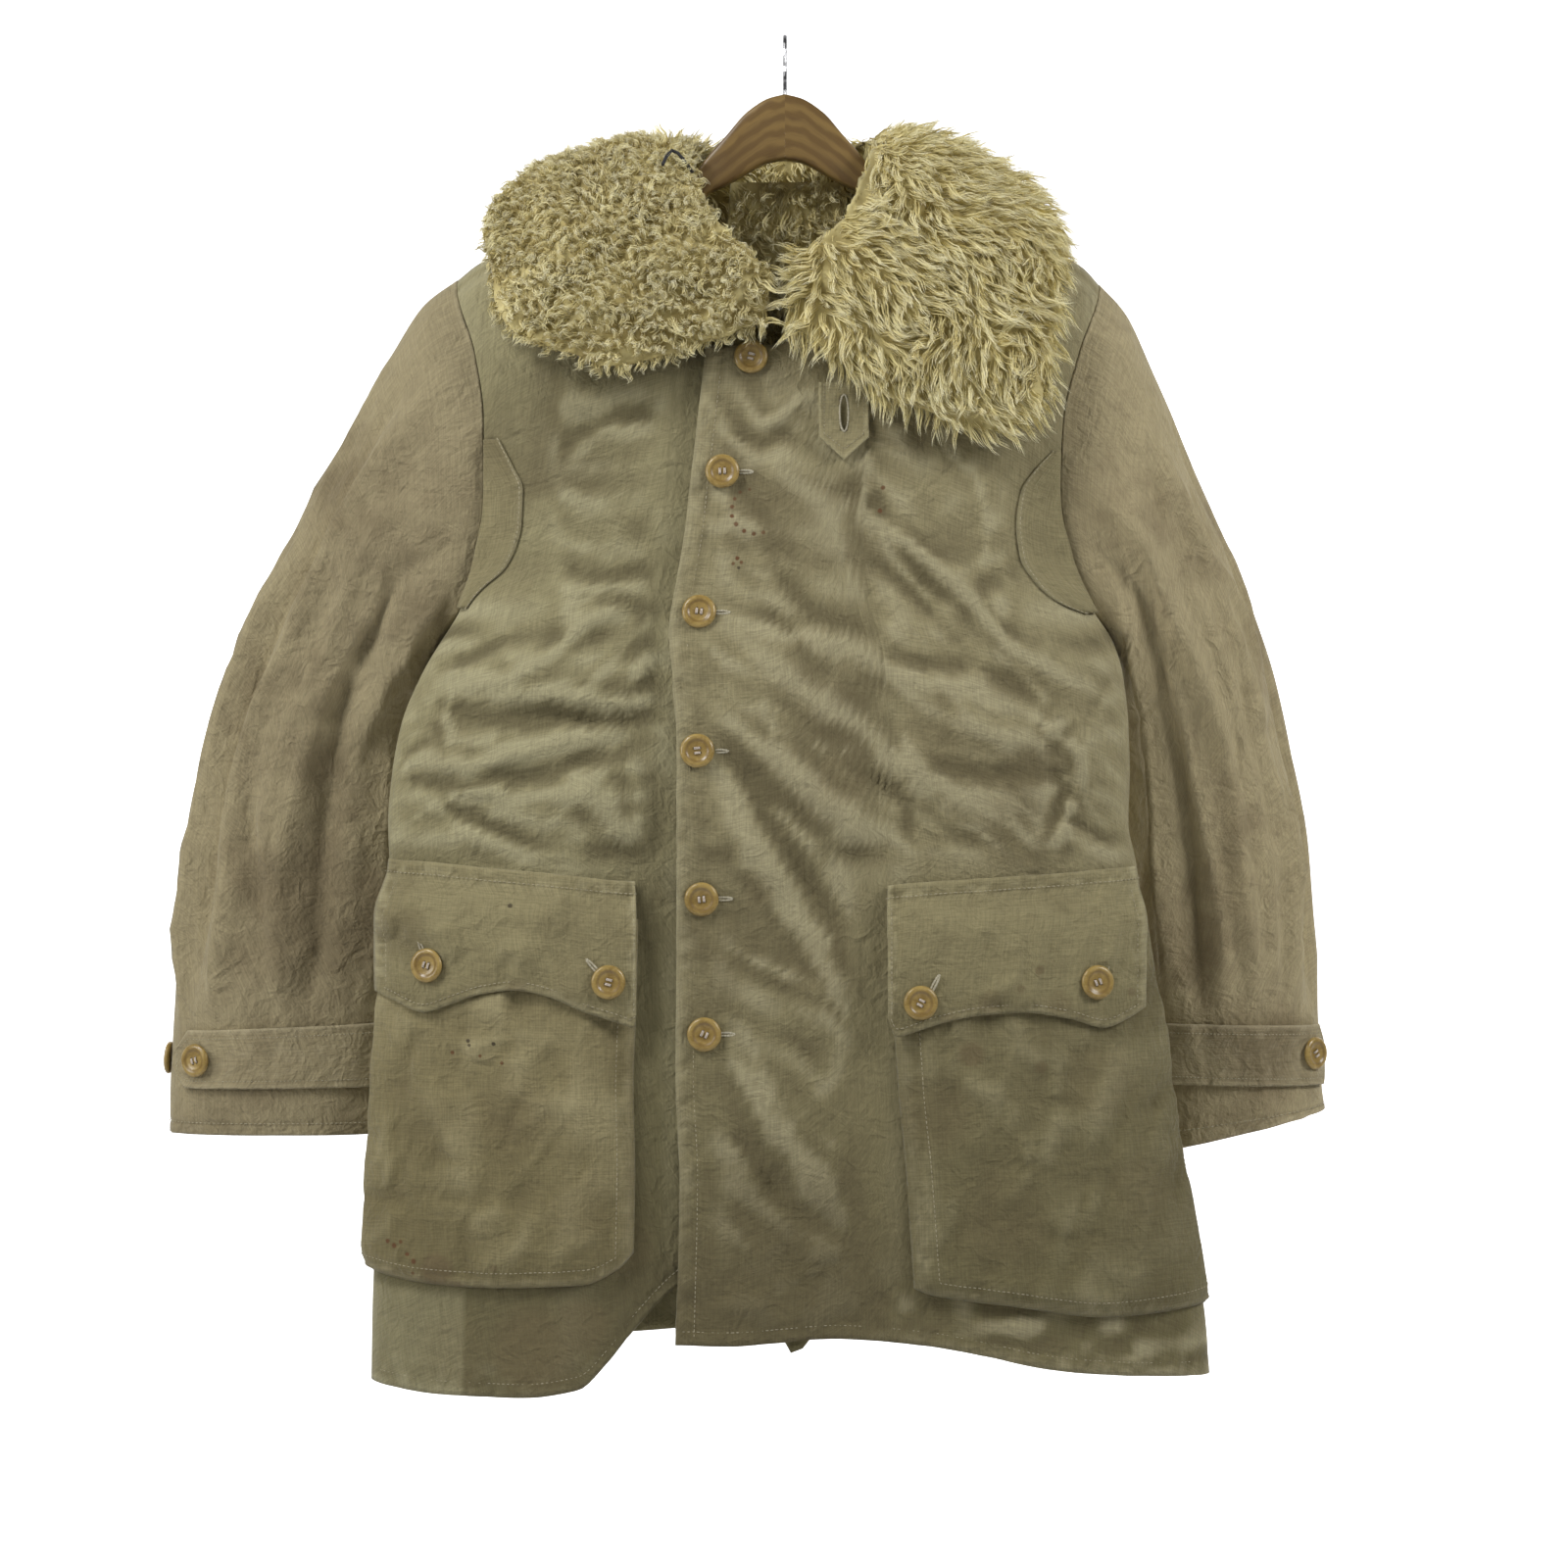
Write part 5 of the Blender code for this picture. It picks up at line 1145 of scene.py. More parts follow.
def bellowsPocket(name, node, cloth, inner, bottom):
    p = pocket
    surface, edge, side, turn = cloth
    start = float(acrossAt(edge, side, inner, p["mouth"]))
    # a shallow box of cloth: its sides stand up within a few millimetres of its rim
    inset = (0.0, 1.2, 2.4, 3.6, 6.0, 9.0, 12.0)
    left = [start + p["innerShare"] * d for d in inset]
    right = [p["sideEnd"] - p["outerShare"] * d for d in reversed(inset)]
    places = np.array(left + list(np.linspace(left[-1], right[0], p["columns"]))[1:-1] + right)
    shareDown = np.concatenate([np.linspace(0.0, 1.0, p["rows"]), np.ones(len(inset) - 1)])
    low = through(bottom)(surface(places, places * 0.0 - 800.0)[..., 0])
    lift = np.concatenate([np.full(p["rows"], 12.0), np.array(inset[::-1][1:])])
    z = p["mouth"] + (low[None, :] + 12.0 - p["mouth"]) * shareDown[:, None]
    z = np.where(lift[:, None] < 12.0, low[None, :] + lift[:, None], z)
    across = np.broadcast_to(places[None, :], z.shape)
    x = surface(across, z)[..., 0]
    fromSides = np.minimum((across - start) / p["innerShare"], (p["sideEnd"] - across) / p["outerShare"])
    rim = np.minimum(fromSides, z - low[None, :])
    stand = 2.4 + 5.1 * smoothStep(rim / 3.5) + 4.0 * smoothStep((rim - 2.0) / 18.0)
    rumpled = creaseRise(pocketCreases[name] + pocketSmall[name], x, z)
    rumpled = rumpled + rumple(x, z, 70.0, 2.4, ((30.0, 1.0), (14.0, 0.5)), 101)
    rumpled = rumpled * smoothStep(rim / 12.0) * smoothStep((-680.0 - z) / 30.0) * 1.25
    # under the flap it has less room
    room = 3.5 + 4.5 * smoothStep((-748.0 - z) / 22.0)
    # the bound edge ripples
    ripple = 0.9 * softNoise((x + z) / 9.0, rim / 8.0, 105) * bell(rim - 4.0, 4.0)
    out = stand + np.clip(rumpled, -3.5, room) + ripple
    mouthOut = p["mouthDepth"] + pocketCloth
    down = limited((p["mouth"] - z) / (p["mouth"] - low[None, :]))
    out = out - np.maximum(0.0, out - mouthOut) * (1.0 - smoothStep(down * 4.0))
    out = np.maximum(out, 2.2)
    points = movedOut(surface, across, z, out, turn)
    fleck = softNoise(x / 4.0, z / 4.0, 107)
    rimBand = bell(rim - 6.0, 5.0)
    # fold ridges are painted paler and fold hollows darker: painted highlight and painted shade
    worn = 0.45 * bell(rim - 4.0, 2.5) + 0.5 * rimBand * limited(fleck) + rumpled * 0.12
    grimeAndShade = 0.25 + 0.4 * rimBand * limited(-fleck) - rumpled * 0.10
    grimeAndShade = grimeAndShade + 0.35 * limited(softNoise(x / 45.0, z / 45.0, 109))
    rimRow, innerColumn, outerColumn = p["rows"] + 1, 6, len(places) - 7
    seamLines[name] = np.concatenate([points[20:rimRow - 1, innerColumn], points[rimRow - 2, innerColumn:outerColumn],
                                      points[rimRow - 2:20:-1, outerColumn]])
    clothPiece(name, points, pocketLooks[name], pocketCloth, [node], flip=turn < 0,
               marks={"worn": limited(worn), "grimeAndShade": limited(grimeAndShade)})


bellowsPocket("pocketLeft", "pocket_left", overCloth, 76.0, leftPocketBottom)
bellowsPocket("pocketRight", "pocket_right", underCloth, -108.0, rightPocketBottom)

# where each flap is drawn flat by its buttons
flapHeld = {"flapRight": ((-262, -701), (-134, -710)), "flapLeft": ((98, -725), (232, -714))}


def flapOut(share):
    overPocket = pocket["bellows"] + pocketCloth + layGap + tabCloth + 1.2
    return flapShape["topOut"] + (overPocket - flapShape["topOut"]) * smoothStep(share * 2.4)


def pocketFlap(name, node, cloth, table):
    turn = cloth[3]
    line = np.array(sorted(table), float)[::turn]
    at = np.linspace(0.0, len(line) - 1.0, flapShape["columns"])
    x, top, low = (through([(i, v) for i, v in enumerate(line[:, c])])(at)[None, :] for c in range(3))
    share = np.linspace(0.0, 1.0, flapShape["rows"])[:, None]
    z = top + (low - top) * share
    xx = x + 0.0 * z
    fromTop, fromLow = top - z, z - low
    rim = np.minimum(fromLow, np.minimum(np.abs(xx - line[0, 0]), np.abs(xx - line[-1, 0])))
    rumpled = rumple(xx, z, 80.0, 2.2, ((34.0, 1.1), (15.0, 0.7), (8.0, 0.3)), 121 if turn > 0 else 125)
    small = strewn(35 if turn > 0 else 36, 26, (min(line[:, 0]), -720), (max(line[:, 0]), -640), 85.0, 46.0,
                   (5.0, 8.0), (0.9, 2.4))
    rumpled = np.clip(1.8 * rumpled + 2.4 * creaseRise(small, xx, z), -0.9, 6.0)
    rumpled = rumpled * smoothStep(fromTop / 20.0) * smoothStep(rim / 8.0)
    for buttonX, buttonZ in flapHeld[name]:
        rumpled = rumpled * (1.0 - np.exp(-((xx - buttonX) ** 2 + (z - buttonZ) ** 2) / 20.0 ** 2))
    ripple = 0.6 * softNoise(xx / 8.0, z / 8.0, 127) * bell(rim - 3.0, 3.0) * smoothStep(fromTop / 12.0)
    rise = flapOut(share + 0.0 * z) + rumpled + ripple
    rise = rise - 0.5 * bell(rim - 6.0, 1.3) * smoothStep(fromTop / 10.0)
    # the top edge is turned under and stitched down, and puffs a little
    rise = rise + bell(fromTop - 3.0, 3.0) * (1.0 + 0.5 * softNoise(xx / 11.0, z * 0.0, 129))
    points = laidOn(cloth, xx, z, rise)
    fleck = softNoise(xx / 3.5, z / 3.5, 131)
    band = bell(rim - 4.0, 3.5) + bell(fromTop - 7.0, 4.5)
    worn = limited(0.55 * bell(rim - 1.0, 2.0) + 0.7 * band * limited(fleck + 0.1))
    grimeAndShade = limited(0.5 * band * limited(-fleck) + 0.35 * bell(fromLow, 14.0))
    seamLines[name + "Low"] = laidOn(cloth, xx[0], low[0] + 6.0, flapOut(1.0 + 0.0 * at) + 0.2)[4:-4]
    seamLines[name + "Top"] = laidOn(cloth, xx[0], top[0] - 9.0, rise[4] + 0.35)
    seamLines[name + "Inner"], seamLines[name + "Outer"] = points[6:-4, 4], points[6:-4, -5]
    clothPiece(name, points, flapLooks[name], tabCloth, [node], flip=turn < 0, marks={"worn": worn, "grimeAndShade": grimeAndShade})


pocketFlap("flapLeft", "flap_left", overCloth, leftFlapTable)
pocketFlap("flapRight", "flap_right", underCloth, rightFlapTable)

throatTab = {"x": 43.5, "half": 18.5, "top": -266.0, "corner": -307.0, "point": -324.0,
             "holeTop": -276.0, "holeLong": 26.0, "holeWide": 4.6}


def throatTabPiece():
    t = throatTab
    share = np.linspace(0.0, 1.0, 44)[:, None]
    place = np.linspace(-1.0, 1.0, 29)[None, :]
    low = t["corner"] + (t["point"] - t["corner"]) * (1.0 - np.abs(place))
    z = t["top"] + (low - t["top"]) * share
    x = t["x"] + t["half"] * place + 0.0 * z
    curl = 1.2 * np.abs(place) ** 2 * share
    y = frontY(x, z) - layGap - tabCloth - 0.6 - 4.0 * share ** 2 - curl
    rim = np.minimum(z - low, t["half"] * (1.0 - np.abs(place)) + 0.0 * z)
    y = y - 0.5 * bell(rim - 1.5, 1.5) + 0.4 * bell(rim - 4.0, 1.0)
    y = y - 0.4 * softNoise(x / 7.0, z / 7.0, 141)
    points = np.stack([x, y, z], axis=-1)
    fleck = softNoise(x / 3.0, z / 3.0, 143)
    worn = limited(0.5 * bell(rim, 2.5) + 0.4 * limited(fleck))
    seamLines["throatTab"] = np.concatenate([points[2:-7, 3], points[-7, 3:14:1], points[-7, 14:-3:1],
                                             points[-7:2:-1, -4]]) + np.array([0.0, -0.3, 0.0])

    def buttonhole(shape):
        # cut right through
        middles = [(f, f.calc_center_median() / mm) for f in shape.faces]
        gone = [f for f, middle in middles if abs(middle.x - t["x"]) < t["holeWide"] / 2
                and t["holeTop"] - t["holeLong"] < middle.z < t["holeTop"]]
        bmesh.ops.delete(shape, geom=gone, context="FACES")

    clothPiece("throatTabPiece", points, tabLook, tabCloth, ["throat_tab"],
               marks={"worn": worn, "grimeAndShade": 0.1}, opened=buttonhole)


throatTabPiece()


def cuffTab(name, node, surface, point, root, hand, seed):
    share = np.linspace(0.0, 1.0, 110)[None, :]
    place = np.linspace(-1.0, 1.0, 22)[:, None]
    narrow = np.minimum(1.0, 0.12 + share * 8.0)
    along = 10.35 + place * 0.46 * narrow
    degrees = point + (root - point) * share + 0.0 * place
    rim = (1.0 - np.abs(place)) * 25.0 + 0.0 * share
    rim = np.minimum(rim, share * 200.0)
    out = layGap + tabCloth + 0.4 + np.clip(1.4 * softNoise(share * 9.0, place * 0.8, seed), -0.3, 2.0)
    out = out + 0.5 * bell(rim - 1.5, 1.5) - 0.4 * bell(rim - 5.0, 1.2)
    points = sleeveMovedOut(surface, along, degrees, out, hand)
    fleck = softNoise(degrees / 3.0, place * 6.0, seed + 3)
    worn = limited(0.6 * bell(rim, 3.0) + 0.4 * limited(fleck))
    seamLines[name] = np.concatenate([points[3, 100:6:-1], points[3:-3, 5], points[-4, 6:100]])
    clothPiece(name, points, cuffTabLook, tabCloth, [node], flip=hand > 0,
               marks={"worn": worn, "grimeAndShade": 0.15}, slot="shaded canvas")


cuffTab("cuffTabLeft", "cuff_tab_left", leftSleeve, 4, 150, 1, 151)
cuffTab("cuffTabRight", "cuff_tab_right", rightSleeve, 22, 172, -1, 153)
print("pockets, flaps, gussets and tabs made")

# buttons

buttonShape = {"thick": 4.0, "dishDepth": 1.5, "hole": 1.15, "holeOut": 2.5, "sides": 48, "sharp": 46}
frontButtons = ((-25, -247, 0.5), (-46, -332, 0.6), (-63, -436, 1.4), (-64, -538, 2.0), (-61, -646, 1.2),
                (-59, -745, 0.8))
leftFlapButtons = ((97, -721), (224, -708))
rightFlapButtons = ((-257, -696), (-131, -707))
leftCuffButtons = ((10.3, 34, 3.7), (10.4, 318, 0.5))
rightCuffButtons = ((10.34, 48, 4.0), (10.34, 358, 0.4))
hornLook = hornMaterial()
threadLook = plainMaterial("sewing thread", (0.52, 0.44, 0.36), (0.74, 0.66, 0.56), 0.8, 900.0)
creamThread = plainMaterial("cream buttonhole thread", (0.50, 0.46, 0.34), (0.70, 0.65, 0.50), 0.85, 900.0)
stitchLook = plainMaterial("stitching thread", (0.32, 0.28, 0.18), (0.50, 0.45, 0.31), 0.85, 700.0)


def buttonBase():
    # a turned disc with a raised rim, a dished middle and four drilled holes
    b = buttonShape
    top, dish = b["thick"], b["thick"] - b["dishDepth"]
    profile = ((0.0, dish), (3.6, dish + 0.02), (6.4, dish + 0.15), (7.6, top - 0.75), (8.5, top - 0.2), (9.3, top),
               (10.4, top - 0.05), (11.5, top - 0.45), (12.2, top - 1.2), (12.5, top / 2), (12.1, 0.9), (11.2, 0.2),
               (10.2, 0.0), (0.0, 0.0))
    mesh = bpy.data.meshes.new("hornButton")
    shape = bmesh.new()
    line = [shape.verts.new((r * mm, 0.0, z * mm)) for r, z in profile]
    edges = [shape.edges.new(pair) for pair in zip(line, line[1:])]
    bmesh.ops.spin(shape, geom=line + edges, cent=(0, 0, 0), axis=(0, 0, 1), angle=2 * math.pi, steps=b["sides"],
                   use_duplicate=False)
    bmesh.ops.remove_doubles(shape, verts=shape.verts, dist=1e-6)
    bmesh.ops.recalc_face_normals(shape, faces=shape.faces)
    shape.to_mesh(mesh)
    shape.free()
    body = newObject("hornButton", mesh)
    drills = []
    for k in range(4):
        turn = math.pi / 4 + math.pi / 2 * k
        bpy.ops.mesh.primitive_cylinder_add(
            vertices=12, radius=b["hole"] * mm, depth=20 * mm,
            location=(b["holeOut"] * mm * math.cos(turn), b["holeOut"] * mm * math.sin(turn), 0.0))
        drills.append(bpy.context.object)
        cutter = body.modifiers.new("drill", "BOOLEAN")
        cutter.object = drills[-1]
        cutter.solver = "EXACT"
    settle(body)
    for drill in drills:
        bpy.data.objects.remove(drill, do_unlink=True)
    mesh = body.data
    place = np.array([v.co for v in mesh.vertices]) / mm
    far = np.hypot(place[:, 0], place[:, 1])
    depth = bell(far - 8.0, 1.0) + 0.6 * bell(far - 2.6, 1.6) * (place[:, 2] < 3.2)
    addMark(mesh, "hollow", depth)
    mesh.shade_smooth()
    mesh.set_sharp_from_angle(angle=math.radians(b["sharp"]))
    return body


def threadBase():
    # the thread: two strands arching across each pair of holes, their ends sunk into the holes
    shape = bmesh.new()
    for side in (-1.0, 1.0):
        for run in (-0.45, 0.45):
            rings = []
            for k in range(9):
                t = k / 8 * 2 - 1
                x = side * (1.77 + run)
                z = 2.5 + 0.95 * math.sqrt(max(0.0, 1 - t ** 4)) + 0.12 * run - 1.4 * max(0.0, abs(t) - 0.8)
                turns = [math.pi / 3 * j for j in range(6)]
                rings.append([shape.verts.new(((x + 0.42 * math.cos(turn)) * mm, t * 2.3 * mm,
                                               (z + 0.42 * math.sin(turn)) * mm)) for turn in turns])
            for a, b in zip(rings, rings[1:]):
                for j in range(6):
                    shape.faces.new((a[j], a[(j + 1) % 6], b[(j + 1) % 6], b[j]))
            shape.faces.new(rings[0][::-1])
            shape.faces.new(rings[-1])
    bmesh.ops.recalc_face_normals(shape, faces=shape.faces)
    mesh = bpy.data.meshes.new("buttonThread")
    shape.to_mesh(mesh)
    shape.free()
    mesh.shade_smooth()
    return newObject("buttonThread", mesh)


def joined(name, base, places, look):
    # copies of one small piece, set down in one mesh
    shape = bmesh.new()
    for matrix in places:
        copy = base.data.copy()
        copy.transform(matrix)
        shape.from_mesh(copy)
        bpy.data.meshes.remove(copy)
    mesh = bpy.data.meshes.new(name)
    shape.to_mesh(mesh)
    shape.free()
    mesh.materials.clear()
    mesh.materials.append(look)
    mesh.shade_smooth()
    mesh.set_sharp_from_angle(angle=math.radians(buttonShape["sharp"]))
    return newObject(name, mesh)


def buttonMatrix(base, normal, spin):
    turn = Vector(normal).to_track_quat("Z", "Y").to_matrix().to_4x4()
    return Matrix.Translation(Vector(base) * mm) @ turn @ Matrix.Rotation(spin, 4, "Z")


def placeButtons():
    base, thread = buttonBase(), threadBase()
    rows = {"frontButtons": [], "flapButtons": [], "cuffButtons": []}
    rng = random.Random(3)
    for x, z, stand in frontButtons:
        across = acrossAt(overEdge, leftSide, x, z)
        foot = movedOut(overBase, across, z, 0.0, 1)
        normal = unit(movedOut(overBase, across, z, 1.0, 1) - foot)
        rise = float(overBase(across, np.array(z))[1] - overFront(across, np.array(z))[1])
        rows["frontButtons"].append((foot + normal * (max(stand, rise) + 0.2), normal))
    flaps = [(overCloth, p) for p in leftFlapButtons] + [(underCloth, p) for p in rightFlapButtons]
    for cloth, (x, z) in flaps:
        foot = laidOn(cloth, x, z, flapOut(1.0) + 0.8)
        rows["flapButtons"].append((foot, unit(foot - cloth[0](acrossAt(cloth[1], cloth[2], x, z), np.array(z)))))
    cuffs = [(leftSleeve, 1, p) for p in leftCuffButtons] + [(rightSleeve, -1, p) for p in rightCuffButtons]
    for surface, hand, (along, degrees, out) in cuffs:
        foot = sleeveMovedOut(surface, along, degrees, out, hand)
        rows["cuffButtons"].append((foot, unit(foot - surface(along, math.radians(degrees), False))))
    nodes = {"frontButtons": [f"button_front_{i}" for i in range(1, 7)],
             "flapButtons": [f"button_flap_{i}" for i in range(1, 5)],
             "cuffButtons": [f"button_cuff_{i}" for i in range(1, 5)]}
    for name, places in rows.items():
        matrices = [buttonMatrix(foot, normal, rng.uniform(-0.5, 0.5) + (math.pi / 2 if i % 3 == 0 else 0.0))
                    for i, (foot, normal) in enumerate(places)]
        handOver(joined(name, base, matrices, hornLook), "horn", *nodes[name])
        handOver(joined(name + "Thread", thread, matrices, threadLook), "loop")
    bpy.data.objects.remove(base, do_unlink=True)
    bpy.data.objects.remove(thread, do_unlink=True)


placeButtons()
print("buttons made")

# stitches, by Geometry Nodes

stitch = {"pitch": 3.6, "long": 1.5, "thick": 0.42, "uneven": 0.3}


def newTree(name, output, inputs):
    # a tree of nodes with named inputs: name, kind, first value
    tree = bpy.data.node_groups.new(name, "GeometryNodeTree")
    for label, kind, value in inputs:
        socket = tree.interface.new_socket(label, in_out="INPUT", socket_type="NodeSocket" + kind)
        if value is not None:
            socket.default_value = value
    tree.interface.new_socket(output, in_out="OUTPUT", socket_type="NodeSocketGeometry")
    n = Nodes(tree)
    return tree, n, n.add("NodeGroupInput").outputs


def aimed(n, axis, vector, turnAxis, angle):
    # turns an axis of each copy to a vector, then spins it about an axis of its own
    align = n.add("FunctionNodeAlignRotationToVector", {"axis": axis}, Vector=vector)
    turn = n.add("FunctionNodeAxisAngleToRotation", None, Axis=turnAxis, Angle=angle)
    return n.add("FunctionNodeRotateRotation", {"rotation_space": "LOCAL"}, Rotation=align.outputs[0],
                 **{"Rotate By": turn.outputs[0]}).outputs[0]


def realized(n, copies, material):
    # the last nodes of a tree: real geometry, smooth, with its material
    real = n.add("GeometryNodeRealizeInstances", None, i0=copies)
    smooth = n.add("GeometryNodeSetShadeSmooth", None, i0=real.outputs[0])
    paint = n.add("GeometryNodeSetMaterial", None, Geometry=smooth.outputs[0], Material=material)
    n.add("NodeGroupOutput", None, i0=paint.outputs[0])


def runTree(obj, name, tree, values):
    run = obj.modifiers.new(name, "NODES")
    run.node_group = tree
    for item in tree.interface.items_tree:
        if item.in_out == "INPUT" and item.name in values:
            run[item.identifier] = values[item.name]
    settle(obj)


def stitchTree():
    tree, n, given = newTree("stitches along a seam", "Stitches", (
        ("Seam line", "Geometry", None), ("Pitch", "Float", 0.0036), ("Long", "Float", 0.0015),
        ("Thick", "Float", 0.0004), ("Crosswise", "Float", 0.0), ("Uneven", "Float", 0.2), ("Seed", "Int", 4),
        ("Thread", "Material", None)))
    curve = n.add("GeometryNodeMeshToCurve", None, Mesh=given["Seam line"])
    even = n.add("GeometryNodeResampleCurve", {"mode": "LENGTH"}, Curve=curve.outputs[0], Length=given["Pitch"])
    bead = n.add("GeometryNodeMeshUVSphere", None, Segments=6, Rings=4, Radius=1.0)
    size = n.add("ShaderNodeCombineXYZ", None, i0=given["Long"], i1=given["Thick"], i2=given["Thick"])
    shaped = n.add("GeometryNodeTransform", None, Geometry=bead.outputs["Mesh"], Scale=size.outputs[0])
    spin = aimed(n, "X", n.add("GeometryNodeInputTangent").outputs[0], (0.0, 1.0, 0.0), given["Crosswise"])
    chance = n.add("FunctionNodeRandomValue", {"data_type": "FLOAT"}, i2=n.maths("SUBTRACT", 1.0, given["Uneven"]),
                   i3=1.0, Seed=given["Seed"])
    put = n.add("GeometryNodeInstanceOnPoints", None, Points=even.outputs[0], Instance=shaped.outputs[0],
                Rotation=spin, Scale=chance.outputs[1])
    realized(n, put.outputs[0], given["Thread"])
    return tree


seamTree = stitchTree()


def stitched(name, lines, thread, pitch=None, long=None, thick=None, crosswise=0.0, seed=4):
    # lines: rows of points on the cloth, in millimetres
    points, edges = [], []
    for line in lines:
        start = len(points)
        points += [tuple(p * mm) for p in line]
        edges += [(start + i, start + i + 1) for i in range(len(line) - 1)]
    mesh = bpy.data.meshes.new(name)
    mesh.from_pydata(points, edges, [])
    obj = newObject(name, mesh)
    runTree(obj, "stitches", seamTree, {
        "Pitch": (pitch or stitch["pitch"]) * mm, "Long": (long or stitch["long"]) * mm,
        "Thick": (thick or stitch["thick"]) * mm, "Crosswise": crosswise, "Uneven": stitch["uneven"], "Seed": seed,
        "Thread": thread})
    handOver(obj, "canvas")


# each front with its folds: what stitches lie on
overFolded = (overFront, overEdge, leftSide, 1)
underFolded = (underFront, underEdge, rightSide, -1)
lineOut = 0.15

z = np.linspace(-262.0, -966.0, 260)
frontEdgeLine = laidOn(overFolded, overEdge(z) + sewing["edgeIn"], z, lineOut)
x = np.linspace(-74.0, 300.0, 150)
overHemLine = laidOn(overFolded, x, overHem(x) + sewing["hemIn"], lineOut)
x = np.linspace(-300.0, -62.0, 110)
underHemLine = laidOn(underFolded, x, underHem(x) + sewing["hemIn"], lineOut)
x = np.linspace(-296.0, 300.0, 200)
across = 2 / math.pi * np.arcsin(np.clip(x / np.abs(sideOf(x, backHem(x))), -1, 1))
backHemLine = movedOut(backCloth, across, backHem(x) + sewing["hemIn"], lineOut, -1)
cuffLines = [sleeveMovedOut(surface, cuff["stitchRing"], np.linspace(0.0, 359.0, 150), cuff["stitchOut"], hand)
             for surface, hand in ((leftSleeve, 1), (rightSleeve, -1))]


def seamsOf(*kinds):
    return [line for name, line in seamLines.items() if any(kind in name for kind in kinds)]


stitched("edgeStitches", [frontEdgeLine, overHemLine, underHemLine, backHemLine], stitchLook, seed=5)
stitched("cuffStitches", cuffLines, stitchLook, seed=6)
stitched("pocketStitches", seamsOf("pocket", "flap"), stitchLook, seed=7)
stitched("gussetStitches", seamsOf("gusset"), stitchLook, seed=8)
stitched("tabStitches", seamsOf("Tab"), stitchLook, pitch=2.8, long=1.1, seed=9)


def buttonholes():
    # an oval of close stitches laid crosswise round each slit
    lines = []

    def oval(centre, right, up, half, wide):
        turns = np.linspace(0.0, 2 * math.pi, 41)
        lines.append(centre + np.outer(np.cos(turns) * half, right) + np.outer(np.sin(turns) * wide, up))

    for x, z, _ in frontButtons[1:]:
        centre = laidOn(overFolded, np.array([x + 16.0]), np.array([z]), 0.25)[0]
        oval(centre, np.array([1.0, 0.0, 0.0]), np.array([0.0, 0.0, 1.0]), 6.5, 1.1)
    for x0, z0, x1, z1, cloth in ((-144, -693, -138, -700, underCloth), (-262, -681, -259, -689, underCloth),
                                  (105, -713, 110, -704, overCloth), (231, -699, 231, -693, overCloth)):
        a = laidOn(cloth, x0, z0, flapOut(0.95) + 1.0)
        b = laidOn(cloth, x1, z1, flapOut(0.8) + 1.0)
        right = unit(b - a)
        oval((a + b) / 2, right, np.array([right[2], 0.0, -right[0]]), 8.0, 1.1)
    t = throatTab
    turns = np.linspace(0.0, 2 * math.pi, 61)
    z = t["holeTop"] - t["holeLong"] / 2 + np.sin(turns) * (t["holeLong"] / 2 + 0.8)
    x = t["x"] + np.cos(turns) * (t["holeWide"] / 2 + 0.9)
    share = (t["top"] - z) / (t["top"] - t["point"])
    y = frontY(x, z) - layGap - tabCloth - 1.1 - 4.0 * share ** 2
    return lines + [onCloth(x, y, z)]


stitched("buttonholeStitches", buttonholes(), creamThread, pitch=0.62, long=1.0, thick=0.36,
         crosswise=math.pi / 2, seed=11)
print("stitches made")

# wool

collarTable = (
    (-11, -64, -182, -14, -66, -224, 0, 20), (-26, -66, -170, -62, -70, -240, 3, 24),
    (-46, -62, -152, -124, -68, -255, 8, 26), (-60, -50, -128, -172, -62, -242, 14, 28),
    (-69, -28, -104, -212, -44, -212, 22, 31), (-72, 0, -92, -226, -8, -144, 24, 32),
    (-62, 26, -84, -212, 42, -140, 26, 31), (-40, 46, -76, -138, 80, -182, 22, 29),
    (0, 56, -77, 0, 94, -214, 12, 27), (36, 46, -72, 134, 80, -190, 20, 29),
    (56, 26, -72, 192, 40, -156, 22, 30), (66, 0, -80, 206, -10, -152, 22, 30),
    (62, -28, -98, 200, -44, -210, 18, 30), (52, -50, -126, 190, -62, -274, 12, 28),
    (38, -62, -150, 158, -70, -303, 8, 27), (20, -66, -168, 78, -72, -278, 3, 24),
    (4, -64, -180, 4, -66, -224, 0, 20),
)
collarColumns = [through([(i, *row) for i, row in enumerate(collarTable)], c + 1) for c in range(8)]
collarClear = 2.0


def collarMiddle(along, across):
    foldX, foldY, foldZ, edgeX, edgeY, edgeZ, rise, _ = (c(along) for c in collarColumns)
    fold, edge = np.stack([foldX, foldY, foldZ], -1), np.stack([edgeX, edgeY, edgeZ], -1)
    lift = np.stack([0.0 * edgeY, 0.35 * (edgeY - 10.0) / 60.0, 1.0 + 0.0 * edgeY], -1)
    lift = unit(lift) * rise[..., None]
    return fold + (edge - fold) * across[..., None] + lift * (4.0 * across * (1.0 - across))[..., None]


